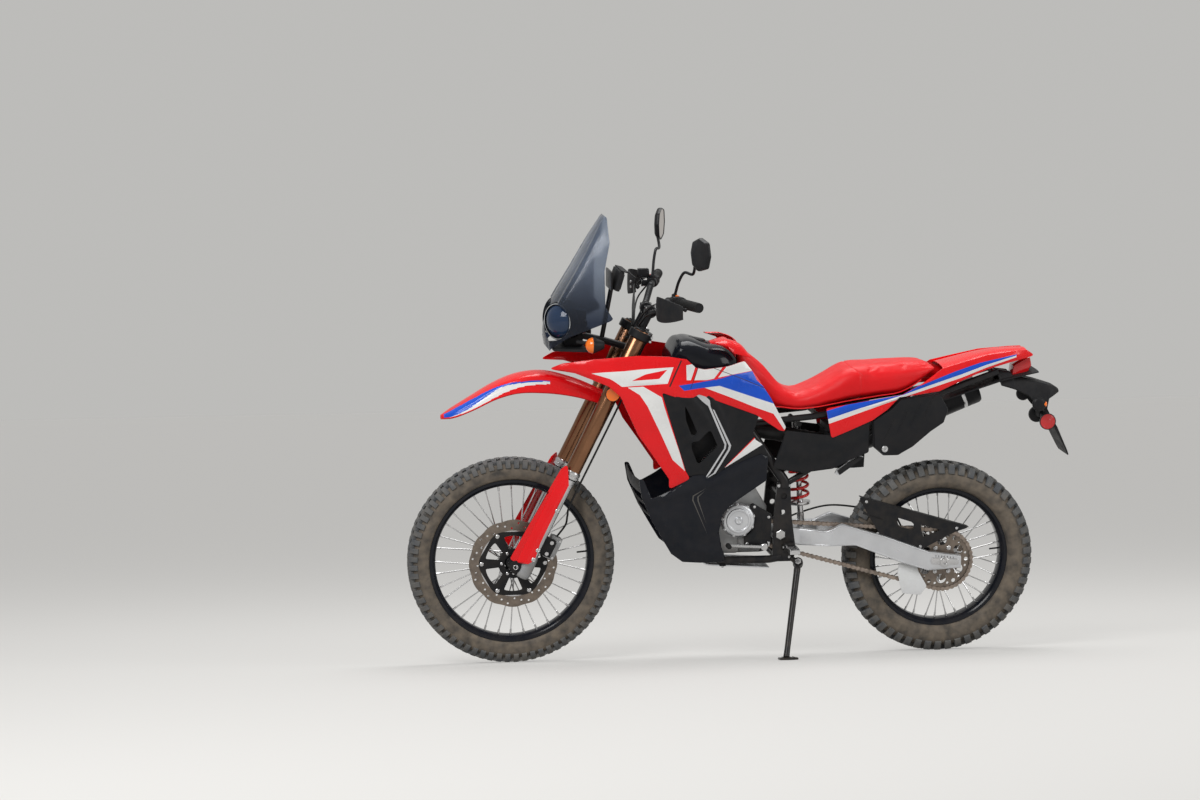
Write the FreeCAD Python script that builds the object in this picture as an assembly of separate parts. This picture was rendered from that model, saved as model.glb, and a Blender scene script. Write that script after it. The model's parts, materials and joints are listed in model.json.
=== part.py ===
import FreeCAD, Part
import math
import os

# A dual sport motorcycle parked on its side stand, in millimetres.
# It is drawn upright: x runs rearward from the front axle, y to the rider's right, z up from the tyres' base.
# At export it leans to the left about the ground line, and its origin moves to the middle of its floor space.

# Driving dimensions
WHEELBASE = 1455.0
LEAN = 10.0
RAKE = 26.0
AXLE_LEAD = 35.0
CLAMP_OFFSET = 28.0
LEG_SPACING = 200.0
ORIGIN_X = 772.0
ORIGIN_Y = -240.0
FIT_GAP = 0.08
SEAT_GAP = 0.3
SKIN = 4.0

# Wheels: outer radius, half widths, tyre depth, lugs in the middle row (a shoulder row has twice as many)
FRONT_TYRE_R = 347.0
FRONT_TYRE_HALF = 40.0
FRONT_TYRE_DEPTH = 80.3
FRONT_RIM_R = FRONT_TYRE_R - FRONT_TYRE_DEPTH
FRONT_RIM_HALF = 27.0
FRONT_LUGS = 20
REAR_TYRE_R = 325.0
REAR_TYRE_HALF = 57.0
REAR_TYRE_DEPTH = 96.4
REAR_RIM_R = REAR_TYRE_R - REAR_TYRE_DEPTH
REAR_RIM_HALF = 33.0
REAR_LUGS = 16
TREAD_HALF = 22.0
LUG_HEIGHT = 9.0
LUG_SHARE = 0.66
FLANGE = 10.0
RIM_DEPTH = 12.0
SPOKES = 36
SPOKE_R = 1.9
AXLE_R = 8.5
AXLE_BORE_R = 5.5
REAR_AXLE_R = 10.0
REAR_AXLE_BORE_R = 6.5
DISC_Y = 60.0
DISC_R = 148.0
REAR_DISC_Y = 68.0
REAR_DISC_R = 110.0
CHAIN_Y = -74.0
CHAIN_PITCH = 15.875
REAR_TEETH = 40
FRONT_TEETH = 14
DRIVE_X = 815.0
DRIVE_Z = 440.0
PIVOT_X = 895.0
PIVOT_Z = 430.0

# Fork: distances along the legs from the axle's level
OUTER_TUBE_R = 27.0
INNER_TUBE_R = 21.5
OUTER_TUBE_START = 343.0
LEG_TOP = 886.0
LOWER_CLAMP_S = 705.0
LOWER_CLAMP_T = 36.0
UPPER_CLAMP_S = 871.0
UPPER_CLAMP_T = 26.0
CLAMP_RING = 10.0
HOSE_R = 3.5
STEM_R = 15.0
HEAD_TUBE_R = 26.0

# Handlebar
BAR_R = 11.0
BAR_X = 457.0
BAR_Z = 1182.0
BAR_HALF = 405.0
GRIP_Z = 1240.0
GRIP_R = 16.5

# Side stand
STAND_PIVOT = (950.0, -130.0, 340.0)
STAND_FOOT = (880.0, -305.0)
STAND_FOLD = (0.985, -0.10, 0.14)
STAND_TUBE_R = 11.0
STAND_PIN_R = 6.0


def vec(x, y, z):
    return FreeCAD.Vector(x, y, z)


Y_AXIS = vec(0, 1, 0)
Z_AXIS = vec(0, 0, 1)
X_AXIS = vec(1, 0, 0)
UP = vec(math.sin(math.radians(RAKE)), 0, math.cos(math.radians(RAKE)))
BACK = vec(math.cos(math.radians(RAKE)), 0, -math.sin(math.radians(RAKE)))
FRONT_AXLE = vec(0, 0, FRONT_TYRE_R)
REAR_AXLE = vec(WHEELBASE, 0, REAR_TYRE_R)
HEAD = FRONT_AXLE + BACK * (AXLE_LEAD + CLAMP_OFFSET)


def corner_edges(points, radius, closed):
    """Straight edges through the points, with a tangent arc at each corner."""
    count = len(points)
    first = 0 if closed else 1
    last = count if closed else count - 1
    starts = dict()
    arcs = dict()
    for i in range(first, last):
        here = points[i]
        to_last = points[i - 1] - here
        to_next = points[(i + 1) % count] - here
        reach = 0.45 * min(to_last.Length, to_next.Length)
        half = to_last.getAngle(to_next) / 2
        if radius <= 0 or half > math.pi / 2 - 0.02:
            starts[i] = (here, here)
            continue
        cut = min(radius / math.tan(half), reach)
        bend = cut * math.tan(half)
        one = here + to_last.normalize() * cut
        two = here + to_next.normalize() * cut
        middle = (one + two) * 0.5 - here
        centre = here + middle.normalize() * (bend / math.sin(half))
        crown = centre + (here - centre).normalize() * bend
        starts[i] = (one, two)
        arcs[i] = Part.Arc(one, crown, two).toShape()
    edges = []
    for i in range(count if closed else count - 1):
        after = (i + 1) % count
        begin = starts[i][1] if i in starts else points[i]
        end = starts[after][0] if after in starts else points[after]
        edges.append(Part.makeLine(begin, end))
        if after in arcs:
            edges.append(arcs[after])
    return edges


def side_prism(outline, y_low, y_high, radius=0.0):
    """A solid whose side view is the outline of (x, z) points."""
    points = [vec(x, y_low, z) for x, z in outline]
    face = Part.Face(Part.Wire(corner_edges(points, radius, True)))
    return face.extrude(vec(0, y_high - y_low, 0))


def plan_prism(outline, z_low, z_high, radius=0.0):
    """A solid whose plan view is the outline of (x, y) points."""
    points = [vec(x, y, z_low) for x, y in outline]
    face = Part.Face(Part.Wire(corner_edges(points, radius, True)))
    return face.extrude(vec(0, 0, z_high - z_low))


def front_prism(outline, x_low, x_high, radius=0.0):
    """A solid whose front view is the outline of (y, z) points."""
    points = [vec(x_low, y, z) for y, z in outline]
    face = Part.Face(Part.Wire(corner_edges(points, radius, True)))
    return face.extrude(vec(x_high - x_low, 0, 0))


def tube(points, radius, bend=60.0):
    """A round bar of straight runs, each a cylinder, joined by tangent arcs, each part of a ring."""
    places = [vec(*p) for p in points]
    pieces = []
    for edge in corner_edges(places, bend, False):
        start = edge.valueAt(edge.FirstParameter)
        heading = edge.tangentAt(edge.FirstParameter)
        if isinstance(edge.Curve, Part.Circle):
            ring = Part.Face(Part.Wire([Part.makeCircle(radius, start, heading)]))
            turn = math.degrees(edge.LastParameter - edge.FirstParameter)
            pieces.append(ring.revolve(edge.Curve.Center, edge.Curve.Axis, turn))
        else:
            pieces.append(Part.makeCylinder(radius, edge.Length, start, heading))
    return pieces[0].multiFuse(pieces[1:])


def rod(start, end, radius):
    """A round bar between two places."""
    run = end - start
    return Part.makeCylinder(radius, run.Length, start, run)


def along_y(x, z, y_low, y_high, radius):
    """A round bar across the motorcycle."""
    return Part.makeCylinder(radius, y_high - y_low, vec(x, y_low, z), Y_AXIS)


def block(x, y, z):
    """A box from three (low, high) pairs."""
    size = (x[1] - x[0], y[1] - y[0], z[1] - z[0])
    return Part.makeBox(size[0], size[1], size[2], vec(x[0], y[0], z[0]))


def turned(profile, centre):
    """A ring from (radius, y) points, turned about an axle."""
    points = [vec(centre.x, y, centre.z + r) for r, y in profile]
    face = Part.Face(Part.makePolygon(points + points[:1]))
    return face.revolve(centre, Y_AXIS, 360)


def mirrored(shape):
    """The same shape on the other side."""
    return shape.mirror(vec(0, 0, 0), Y_AXIS)


def both(shape):
    """The shape and its mirror image, as two solids."""
    return Part.makeCompound([shape, mirrored(shape)])


def fused(shapes):
    """One solid from several."""
    return shapes[0].multiFuse(shapes[1:]).removeSplitter()


def largest(shape):
    """The one solid that matters of a cut shape."""
    return max(shape.Solids, key=lambda solid: solid.Volume)


def skin(stations, low, high):
    """A wall lofted through stations of (x, half widths at the levels), between two depths below them."""
    wires = []
    for x, widths in stations:
        outer = [vec(x, w - low, z) for w, z in zip(widths, BODY_LEVELS)]
        inner = [vec(x, w - high, z) for w, z in zip(widths, BODY_LEVELS)]
        ring = outer + inner[::-1]
        wires.append(Part.makePolygon(ring + ring[:1]))
    return Part.makeLoft(wires, True, True)


# The body's half width, at each of these levels, for stations along the length
BODY_LEVELS = (280, 560, 800, 930, 1040, 1140)
BODY_STATIONS = (
    (90, (70, 80, 85, 95, 98, 90)),
    (250, (90, 120, 140, 158, 155, 140)),
    (400, (110, 150, 172, 182, 172, 150)),
    (560, (112, 160, 180, 186, 170, 135)),
    (700, (108, 148, 162, 160, 140, 105)),
    (820, (105, 126, 136, 134, 115, 90)),
    (930, (102, 116, 124, 120, 108, 85)),
    (1100, (100, 112, 120, 122, 118, 90)),
    (1300, (90, 104, 112, 116, 112, 85)),
    (1450, (70, 85, 92, 96, 92, 70)),
    (1600, (50, 62, 70, 74, 70, 55)),
    (1780, (28, 36, 42, 46, 42, 30)),
)

# Outlines of the body's panels as seen from the side, as (x, z)
SHROUD = (
    (108, 1006), (153, 1026), (253, 1043), (400, 1055), (500, 1050), (560, 1040), (590, 1012), (620, 1005),
    (700, 1010), (760, 1025), (800, 975), (850, 900), (903, 800), (900, 785), (880, 790), (800, 845), (700, 885),
    (600, 925), (560, 905), (500, 925), (474, 935), (500, 850), (560, 665), (575, 640), (505, 605), (505, 640),
    (450, 720), (400, 790), (340, 920), (300, 955), (250, 975), (193, 996),
)
FAIRING = (
    (470, 938), (560, 925), (600, 937), (700, 897), (800, 857), (812, 845), (790, 780), (800, 760), (830, 740),
    (845, 692), (820, 704), (700, 664), (640, 629), (620, 644), (575, 648), (530, 660), (500, 740),
)
FAIRING_VENT = ((535, 890), (600, 880), (655, 760), (600, 700), (555, 690), (530, 760))
COWL = (
    (405, 640), (415, 580), (450, 500), (490, 430), (520, 380), (560, 350), (620, 345), (705, 345), (700, 375),
    (690, 400), (680, 450), (690, 510), (720, 545), (800, 595), (840, 620), (845, 700), (820, 712), (700, 672),
    (640, 637), (620, 652), (585, 650), (508, 600), (450, 571), (420, 640),
)
SIDE_COVER = (
    (862, 660), (960, 640), (1068, 652), (1128, 680), (1190, 705), (1190, 818), (1130, 793), (1060, 765),
    (905, 786),
)
TAIL_COVER = (
    (1040, 858), (1165, 878), (1300, 898), (1370, 933), (1440, 981), (1500, 996), (1600, 1020), (1700, 1030),
    (1740, 1032), (1770, 1012), (1700, 996), (1600, 972), (1500, 934), (1430, 905), (1350, 896), (1290, 890),
    (1250, 850), (1200, 815), (1130, 785), (1060, 757),
)


def half_width(x, z):
    """The body's half width at a place, between the stations and the levels."""
    for (x_a, row_a), (x_b, row_b) in zip(BODY_STATIONS, BODY_STATIONS[1:]):
        if x_a <= x <= x_b:
            along = (x - x_a) / (x_b - x_a)
            row = [a + (b - a) * along for a, b in zip(row_a, row_b)]
            break
    for i in range(len(BODY_LEVELS) - 1):
        if BODY_LEVELS[i] <= z <= BODY_LEVELS[i + 1]:
            rise = (z - BODY_LEVELS[i]) / (BODY_LEVELS[i + 1] - BODY_LEVELS[i])
            return row[i] + (row[i + 1] - row[i]) * rise
    return row[-1]


def panel(outline, low, high, radius=6.0):
    """A right-hand body panel: the skin at two depths, inside its side outline."""
    wall = skin(BODY_STATIONS, low, high)
    return wall.common(side_prism(outline, 0, 400, radius))


def leg_point(distance, y=0.0, back=0.0):
    """A place on a fork leg's plane: a distance up the leg, and back from its centre line."""
    return FRONT_AXLE + BACK * (AXLE_LEAD + back) + UP * distance + vec(0, y, 0)


def head_point(distance, y=0.0, back=0.0):
    """A place measured up the steering axis."""
    return HEAD + BACK * back + UP * distance + vec(0, y, 0)


def lug_row(axle, section, count, phase):
    """Tread lugs around a tyre: the (radius, y) section turned through part of each pitch."""
    pitch = 360.0 / count
    points = [vec(axle.x, y, axle.z + r) for r, y in section]
    lug = Part.Face(Part.makePolygon(points + points[:1])).revolve(axle, Y_AXIS, LUG_SHARE * pitch)
    lugs = []
    for i in range(count):
        block_lug = lug.copy()
        block_lug.rotate(axle, Y_AXIS, (i + phase - LUG_SHARE / 2) * pitch)
        lugs.append(block_lug)
    return lugs


def tyre(axle, radius, half, seat_r, rim_half, count):
    """A knobbed tyre, open towards the rim: its carcass, a middle row of lugs and a row on each shoulder."""
    bead = seat_r + SEAT_GAP
    lip = seat_r + FLANGE + 2
    inside = rim_half - 4 - SEAT_GAP
    base = radius - LUG_HEIGHT
    right = [
        (bead, inside), (lip, inside), (lip + 10, half - 8), (lip + 28, half - 1.5), (radius - 26, half - 2),
        (base, TREAD_HALF),
    ]
    wall = [(radius - 24, TREAD_HALF - 4), (lip + 22, half - 9), (bead, inside - 8)]
    outer = right + [(r, -y) for r, y in right[::-1]]
    inner = [(r, -y) for r, y in wall[::-1]] + wall
    middle = [(radius, -TREAD_HALF), (radius, TREAD_HALF), (base - 2, TREAD_HALF), (base - 2, -TREAD_HALF)]
    edge = TREAD_HALF + 4
    shoulder = [(radius - 14, half), (radius - 2, edge), (radius - 15, edge), (radius - 34, half - 4),
                (radius - 32, half)]
    lugs = lug_row(axle, middle, count, 0)
    for side in (1, -1):
        lugs += lug_row(axle, [(r, side * y) for r, y in shoulder], 2 * count, 0.5)
    return turned(outer + inner, axle).multiFuse(lugs)


def rim(axle, seat_r, half):
    """A spoked wheel's rim: two flanges and a dropped well."""
    right = [(seat_r - RIM_DEPTH + 2, half - 6), (seat_r - 3, half), (seat_r + FLANGE, half),
             (seat_r + FLANGE, half - 4), (seat_r, half - 4)]
    deep = seat_r - RIM_DEPTH
    return turned([(deep, -half + 12), (deep, half - 12)] + right + [(r, -y) for r, y in right[::-1]], axle)


def spoke(axle, start, end):
    """A six-sided spoke between two (radius, angle, y) places."""
    ends = []
    for r, angle, y in (start, end):
        ends.append(vec(axle.x + r * math.cos(angle), y, axle.z + r * math.sin(angle)))
    run = ends[1] - ends[0]
    turns = [k * math.pi / 3 for k in range(7)]
    section = Part.makePolygon([vec(SPOKE_R * math.cos(turn), SPOKE_R * math.sin(turn), 0) for turn in turns])
    bar = Part.Face(section).extrude(vec(0, 0, run.Length))
    bar.Placement = FreeCAD.Placement(ends[0], FreeCAD.Rotation(Z_AXIS, run))
    return bar


def hub(axle, barrel, flange_r, flange_y, ends, bore, rim_r, rim_y):
    """A hub with two spoke flanges, its end seats and its laced spokes."""
    right = [(bore, ends), (bore + 12, ends), (bore + 12, flange_y + 4), (flange_r, flange_y + 4),
             (flange_r, flange_y - 4), (barrel, flange_y - 10)]
    body = turned(right + [(r, -y) for r, y in right[::-1]], axle)
    bars = []
    for i in range(SPOKES):
        side = 1 if i % 2 else -1
        lean = 0.62 if i % 4 < 2 else -0.62
        angle = 2 * math.pi * i / SPOKES
        depth = flange_y + (3 if lean > 0 else -3)
        start = (flange_r - 5, angle - lean, side * depth)
        bars.append(spoke(axle, start, (rim_r - SEAT_GAP, angle, side * rim_y)))
    return fused([body] + bars)


def disc(axle, y, radius, inner, hub_r, thickness, lobes):
    """A brake disc with a waved edge and a drilled carrier."""
    plate = along_y(axle.x, axle.z, y - thickness / 2, y + thickness / 2, radius)
    cuts = [along_y(axle.x, axle.z, y - thickness, y + thickness, hub_r)]
    middle = (inner + hub_r) / 2
    for i in range(lobes):
        angle = 2 * math.pi * i / lobes
        out = (radius + 44) * vec(math.cos(angle), 0, math.sin(angle))
        cuts.append(along_y(axle.x + out.x, axle.z + out.z, y - 9, y + 9, 50))
    for i in range(6):
        angle = math.pi * i / 3
        out = middle * vec(math.cos(angle), 0, math.sin(angle))
        cuts.append(along_y(axle.x + out.x, axle.z + out.z, y - 9, y + 9, 0.27 * (inner - hub_r)))
    return plate.cut(Part.makeCompound(cuts))


def gear(x, z, y, pitch_r, teeth, thickness, bore):
    """A chain sprocket with pointed teeth."""
    points = []
    for i in range(teeth):
        for step, r in ((0.0, pitch_r - 4.5), (0.3, pitch_r - 3), (0.42, pitch_r + 4), (0.58, pitch_r + 4),
                        (0.7, pitch_r - 3)):
            angle = 2 * math.pi * (i + step) / teeth
            points.append(vec(x + r * math.cos(angle), y - thickness / 2, z + r * math.sin(angle)))
    face = Part.Face(Part.makePolygon(points + points[:1]))
    wheel = face.extrude(vec(0, thickness, 0))
    return wheel.cut(along_y(x, z, y - thickness, y + thickness, bore))


def chain_pitch_radius(teeth):
    return CHAIN_PITCH / (2 * math.sin(math.pi / teeth))


def wrap(inset):
    """The chain's side outline as a solid, its edge this far inside the pitch line."""
    big = chain_pitch_radius(REAR_TEETH) - inset
    small = chain_pitch_radius(FRONT_TEETH) - inset
    run = vec(REAR_AXLE.x - DRIVE_X, 0, REAR_AXLE.z - DRIVE_Z)
    heading = math.atan2(run.z, run.x)
    splay = math.acos((small - big) / run.Length)
    points = []
    for sign in (1, -1):
        angle = heading + sign * splay
        lift = vec(math.cos(angle), 0, math.sin(angle))
        points.append((vec(DRIVE_X, 0, DRIVE_Z) + lift * small, vec(REAR_AXLE.x, 0, REAR_AXLE.z) + lift * big))
    out = vec(math.cos(heading), 0, math.sin(heading))
    edges = [
        Part.makeLine(points[0][0], points[0][1]),
        Part.Arc(points[0][1], vec(REAR_AXLE.x, 0, REAR_AXLE.z) + out * big, points[1][1]).toShape(),
        Part.makeLine(points[1][1], points[1][0]),
        Part.Arc(points[1][0], vec(DRIVE_X, 0, DRIVE_Z) - out * small, points[0][0]).toShape(),
    ]
    return Part.Wire(edges), points


def chain_pin(x, z, radius):
    """A six-sided pin across the chain."""
    corners = [(x + radius * math.cos(math.radians(60 * i)), z + radius * math.sin(math.radians(60 * i)))
               for i in range(6)]
    return side_prism(corners, CHAIN_Y - 6, CHAIN_Y + 6)


def chain():
    """The drive chain as one fixed loop: two rows of side plates joined by pins, with gaps for the teeth."""
    outer, ends = wrap(-7.5)
    inner, ends = wrap(7.5)
    plates = []
    for low, high in ((-8.5, -4.5), (4.5, 8.5)):
        shell = Part.Face(outer).extrude(vec(0, high - low, 0))
        shell = shell.cut(Part.Face(inner).extrude(vec(0, high - low, 0)))
        plates.append(shell.translated(vec(0, CHAIN_Y + low, 0)))
    pins = []
    for start, end in ends:
        count = int((end - start).Length / CHAIN_PITCH)
        step = (end - start) * (1.0 / count)
        for i in range(4, count - 5, 2):
            place = start + step * i
            pins.append(chain_pin(place.x, place.z, 5))
    small = chain_pitch_radius(FRONT_TEETH)
    for i in range(FRONT_TEETH // 4 + 1, 3 * FRONT_TEETH // 4):
        angle = 2 * math.pi * i / FRONT_TEETH
        pins.append(chain_pin(DRIVE_X + small * math.cos(angle), DRIVE_Z + small * math.sin(angle), 4.2))
    return fused(plates + pins)


def front_wheel_parts():
    flange_y = 31.0
    centre = FRONT_AXLE
    spoke_end = FRONT_RIM_R - RIM_DEPTH
    return {
        "front_tyre": tyre(centre, FRONT_TYRE_R, FRONT_TYRE_HALF, FRONT_RIM_R, FRONT_RIM_HALF, FRONT_LUGS),
        "front_rim": rim(centre, FRONT_RIM_R, FRONT_RIM_HALF),
        "front_hub": hub(centre, 22, 34, flange_y, DISC_Y - 2 - SEAT_GAP, AXLE_R + FIT_GAP, spoke_end, 7),
        "front_disc": disc(centre, -DISC_Y, DISC_R, 100, AXLE_R + 4, 4, 12),
    }


def rear_wheel_parts():
    centre = REAR_AXLE
    ends = REAR_DISC_Y - 2 - SEAT_GAP
    spoke_end = REAR_RIM_R - RIM_DEPTH
    pitch_r = chain_pitch_radius(REAR_TEETH)
    sprocket = gear(centre.x, centre.z, CHAIN_Y, pitch_r, REAR_TEETH, 6, REAR_AXLE_R + 4)
    holes = [along_y(centre.x + 66 * math.cos(a), centre.z + 66 * math.sin(a), CHAIN_Y - 5, CHAIN_Y + 5, 17)
             for a in [2 * math.pi * (i + 0.5) / 6 for i in range(6)]]
    spacer = along_y(centre.x, centre.z, CHAIN_Y + 3, -ends - SEAT_GAP, 32)
    spacer = spacer.cut(along_y(centre.x, centre.z, CHAIN_Y, 0, REAR_AXLE_R + 4))
    return {
        "rear_tyre": tyre(centre, REAR_TYRE_R, REAR_TYRE_HALF, REAR_RIM_R, REAR_RIM_HALF, REAR_LUGS),
        "rear_rim": rim(centre, REAR_RIM_R, REAR_RIM_HALF),
        "rear_hub": hub(centre, 28, 44, 36, ends, REAR_AXLE_R + FIT_GAP, spoke_end, 8),
        "rear_sprocket": sprocket.cut(Part.makeCompound(holes)).fuse(spacer),
        "rear_disc": disc(centre, REAR_DISC_Y, REAR_DISC_R, 74, REAR_AXLE_R + 4, 4, 10),
    }


def clamp(distance, thickness, radius):
    """A fork clamp: two split rings and the bridge that carries the stem."""
    low = distance - thickness / 2
    side = LEG_SPACING / 2
    ring = Part.makeCylinder(radius + CLAMP_RING, thickness, leg_point(low, side), UP)
    bridge_points = [leg_point(low, side, -14), leg_point(low, side, 14), head_point(low, 22, 20),
                     head_point(low, -22, 20), leg_point(low, -side, 14), leg_point(low, -side, -14)]
    bridge = Part.Face(Part.makePolygon(bridge_points + bridge_points[:1])).extrude(UP * thickness)
    body = fused([bridge, ring, mirrored(ring)])
    bore = Part.makeCylinder(radius + FIT_GAP, 3 * thickness, leg_point(low - thickness, side), UP)
    return body.cut(both(bore))


def steering_parts():
    side = LEG_SPACING / 2
    outer = Part.makeCylinder(OUTER_TUBE_R, LEG_TOP - OUTER_TUBE_START, leg_point(OUTER_TUBE_START, side), UP)
    socket = Part.makeCylinder(INNER_TUBE_R + FIT_GAP, 60, leg_point(OUTER_TUBE_START - 1, side), UP)
    collar = Part.makeCylinder(OUTER_TUBE_R + 3, 22, leg_point(OUTER_TUBE_START, side), UP)
    outer = outer.fuse(collar).cut(socket)
    inner = Part.makeCylinder(INNER_TUBE_R, OUTER_TUBE_START + 40, leg_point(0, side), UP)
    foot = Part.makeCylinder(OUTER_TUBE_R, 86, leg_point(-26, side), UP)
    lug = along_y(0, FRONT_AXLE.z, side - 26, side + 22, 21)
    web = Part.makeBox(AXLE_LEAD, 34, 46)
    web.Placement = FreeCAD.Placement(leg_point(-23, side - 17, -AXLE_LEAD), FreeCAD.Rotation(Y_AXIS, RAKE))
    hole = along_y(0, FRONT_AXLE.z, 0, 200, AXLE_R + FIT_GAP)
    inner = fused([inner, foot, lug, web]).cut(hole)
    axle = along_y(0, FRONT_AXLE.z, -side - 26, side + 26, AXLE_R)
    axle = axle.cut(along_y(0, FRONT_AXLE.z, -200, 200, AXLE_BORE_R))
    lower = clamp(LOWER_CLAMP_S, LOWER_CLAMP_T, OUTER_TUBE_R)
    upper = clamp(UPPER_CLAMP_S, UPPER_CLAMP_T, OUTER_TUBE_R)
    stem = Part.makeCylinder(STEM_R, UPPER_CLAMP_S - LOWER_CLAMP_S, head_point(LOWER_CLAMP_S), UP)
    nut = Part.makeCylinder(17, 12, head_point(UPPER_CLAMP_S + UPPER_CLAMP_T / 2), UP)
    risers = []
    for y in (-44, 44):
        foot_place = head_point(UPPER_CLAMP_S + UPPER_CLAMP_T / 2 - 4, y, -20)
        risers.append(rod(foot_place, vec(BAR_X, y, BAR_Z), 13))
        risers.append(along_y(BAR_X, BAR_Z, y - 15, y + 15, BAR_R + 9))
    clamps = fused([lower, upper, stem, nut] + risers)
    clamps = clamps.cut(along_y(BAR_X, BAR_Z, -80, 80, BAR_R + FIT_GAP))
    half_bar = [(BAR_X, 0, BAR_Z), (BAR_X, 78, BAR_Z), (BAR_X + 40, 190, GRIP_Z)]
    half_bar.append((BAR_X + 100, BAR_HALF, GRIP_Z + 6))
    bar = tube([(x, -y, z) for x, y, z in half_bar[:0:-1]] + half_bar[1:], BAR_R, 70)
    bar_end = vec(*half_bar[3])
    bar_knee = vec(*half_bar[2])
    heading = (bar_end - bar_knee).normalize()
    grip_start = bar_end - heading * 128
    grip = rod(grip_start, bar_end, GRIP_R).cut(rod(bar_knee, bar_end + heading * 20, BAR_R + SEAT_GAP))
    end_cap = rod(bar_end + heading * SEAT_GAP, bar_end + heading * 14, GRIP_R)
    switch_start = grip_start - heading * 46
    switch = rod(switch_start, grip_start - heading * 1, 21)
    perch = rod(switch_start - heading * 26, switch_start + heading * 2, 17)
    lever_root = switch_start + vec(-34, 0, -4)
    lever_path = (lever_root + vec(30, -8, 2), lever_root, lever_root + heading * 60 + vec(-14, 0, 0),
                  lever_root + heading * 165 + vec(-4, 0, -4))
    lever = tube([tuple(place) for place in lever_path], 5.5, 20)
    controls = fused([switch, perch, lever]).cut(rod(bar_knee, bar_end, BAR_R + SEAT_GAP))
    tank = block((BAR_X + 2, BAR_X + 43), (236, 264), (GRIP_Z + 13, GRIP_Z + 44))
    controls_right = fused([controls, tank]).cut(rod(bar_knee, bar_end, BAR_R + SEAT_GAP))
    guard_hollow = Part.makeCylinder(136, 90, vec(BAR_X + 118, 300, GRIP_Z - 50), Z_AXIS)
    guard_ring = Part.makeCylinder(140, 78, vec(BAR_X + 118, 300, GRIP_Z - 48), Z_AXIS).cut(guard_hollow)
    guard = guard_ring.common(block((BAR_X - 60, BAR_X + 66), (225, 500), (0, 2000)))
    arm = rod(vec(BAR_X, 228, GRIP_Z - 18), vec(BAR_X + 43, 225, GRIP_Z - 11), 5)
    guards = largest(guard.fuse(arm.cut(controls_right)))
    mirror_foot = switch_start - heading * 13 + vec(0, 0, 14)
    stalk_path = (mirror_foot, mirror_foot + vec(6, 12, 34), mirror_foot + vec(22, 60, 90), vec(558, 372, 1378))
    stalk = tube([tuple(place) for place in stalk_path], 5, 25)
    head_outline = ((345, 1420), (357, 1458), (398, 1474), (446, 1462), (458, 1418), (444, 1376), (392, 1362),
                    (356, 1378))
    shell = front_prism(head_outline, 546, 568, 12)
    mirror = largest(stalk.fuse(shell).cut(controls_right))
    shield = Part.makeCylinder(41, 340, leg_point(20, side), UP)
    shield = shield.cut(Part.makeCylinder(37, 340, leg_point(20, side), UP))
    guard_outline = ((-20, 372), (62, 372), (78, 420), (175, 620), (172, 690), (110, 600))
    shield = shield.common(side_prism(guard_outline, side - 18, 300, 10))
    shield = shield.cut(web).cut(foot)
    pad = Part.makeCylinder(7, 41 - OUTER_TUBE_R - 1, leg_point(50, side + OUTER_TUBE_R + SEAT_GAP), Y_AXIS)
    shield = shield.fuse(pad)
    body = Part.makeBox(46, 50, 84, vec(0, 0, 0))
    body.Placement = FreeCAD.Placement(leg_point(62, -DISC_Y - 27, 34), FreeCAD.Rotation(Y_AXIS, RAKE))
    slot = along_y(0, FRONT_AXLE.z, -DISC_Y - 6, -DISC_Y + 6, DISC_R + 7)
    mount = Part.makeBox(30, 12, 70, vec(0, 0, 0))
    mount.Placement = FreeCAD.Placement(leg_point(68, -side - 6, 12), FreeCAD.Rotation(Y_AXIS, RAKE))
    link = Part.makeBox(16, 30, 60, vec(0, 0, 0))
    link.Placement = FreeCAD.Placement(leg_point(70, -side - 6, 42), FreeCAD.Rotation(Y_AXIS, RAKE))
    caliper = fused([body.cut(slot), link, mount])
    caliper = caliper.cut(Part.makeCylinder(INNER_TUBE_R + SEAT_GAP, 900, leg_point(-50, -side), UP))
    caliper = caliper.cut(mirrored(foot))
    hose_end = LOWER_CLAMP_S - LOWER_CLAMP_T / 2 - SEAT_GAP
    hose = tube([tuple(leg_point(s, y, back)) for s, y, back in (
        (140, -62, 57), (190, -64, 66), (225, -92, 52), (270, -side, 42), (hose_end, -side, 42))], HOSE_R, 24)
    caliper = caliper.fuse(hose)
    reflector = Part.makeCylinder(25, 8, leg_point(658, side + OUTER_TUBE_R + 3), Y_AXIS)
    strap = Part.makeCylinder(8, 5, leg_point(658, side + OUTER_TUBE_R - 0.5), Y_AXIS)
    leg = Part.makeCylinder(OUTER_TUBE_R + SEAT_GAP, 400, leg_point(500, side), UP)
    reflector = reflector.fuse(strap).cut(leg)
    return {
        "triple_clamps": clamps,
        "fork_outer_tubes": both(outer),
        "fork_inner_tubes": both(inner),
        "front_axle": axle,
        "fork_guards": both(shield),
        "front_caliper": caliper,
        "front_mudguard": front_mudguard(),
        "handlebar": bar,
        "grips": both(grip),
        "hand_controls": Part.makeCompound([controls_right, mirrored(controls)]),
        "handguards": both(guards),
        "mirrors": both(mirror),
        "fork_reflectors": both(reflector),
    }


# The front mudguard's sections: x, crown z, shoulder (y, z), edge (y, z)
MUDGUARD_SECTIONS = (
    (-236, 842, 22, 838, 30, 832),
    (-195, 868, 40, 860, 50, 842),
    (-145, 898, 48, 888, 60, 862),
    (-50, 952, 52, 942, 66, 906),
    (0, 972, 54, 962, 68, 920),
    (100, 986, 54, 974, 68, 922),
    (200, 962, 52, 950, 66, 908),
    (330, 905, 46, 895, 58, 868),
)


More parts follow.
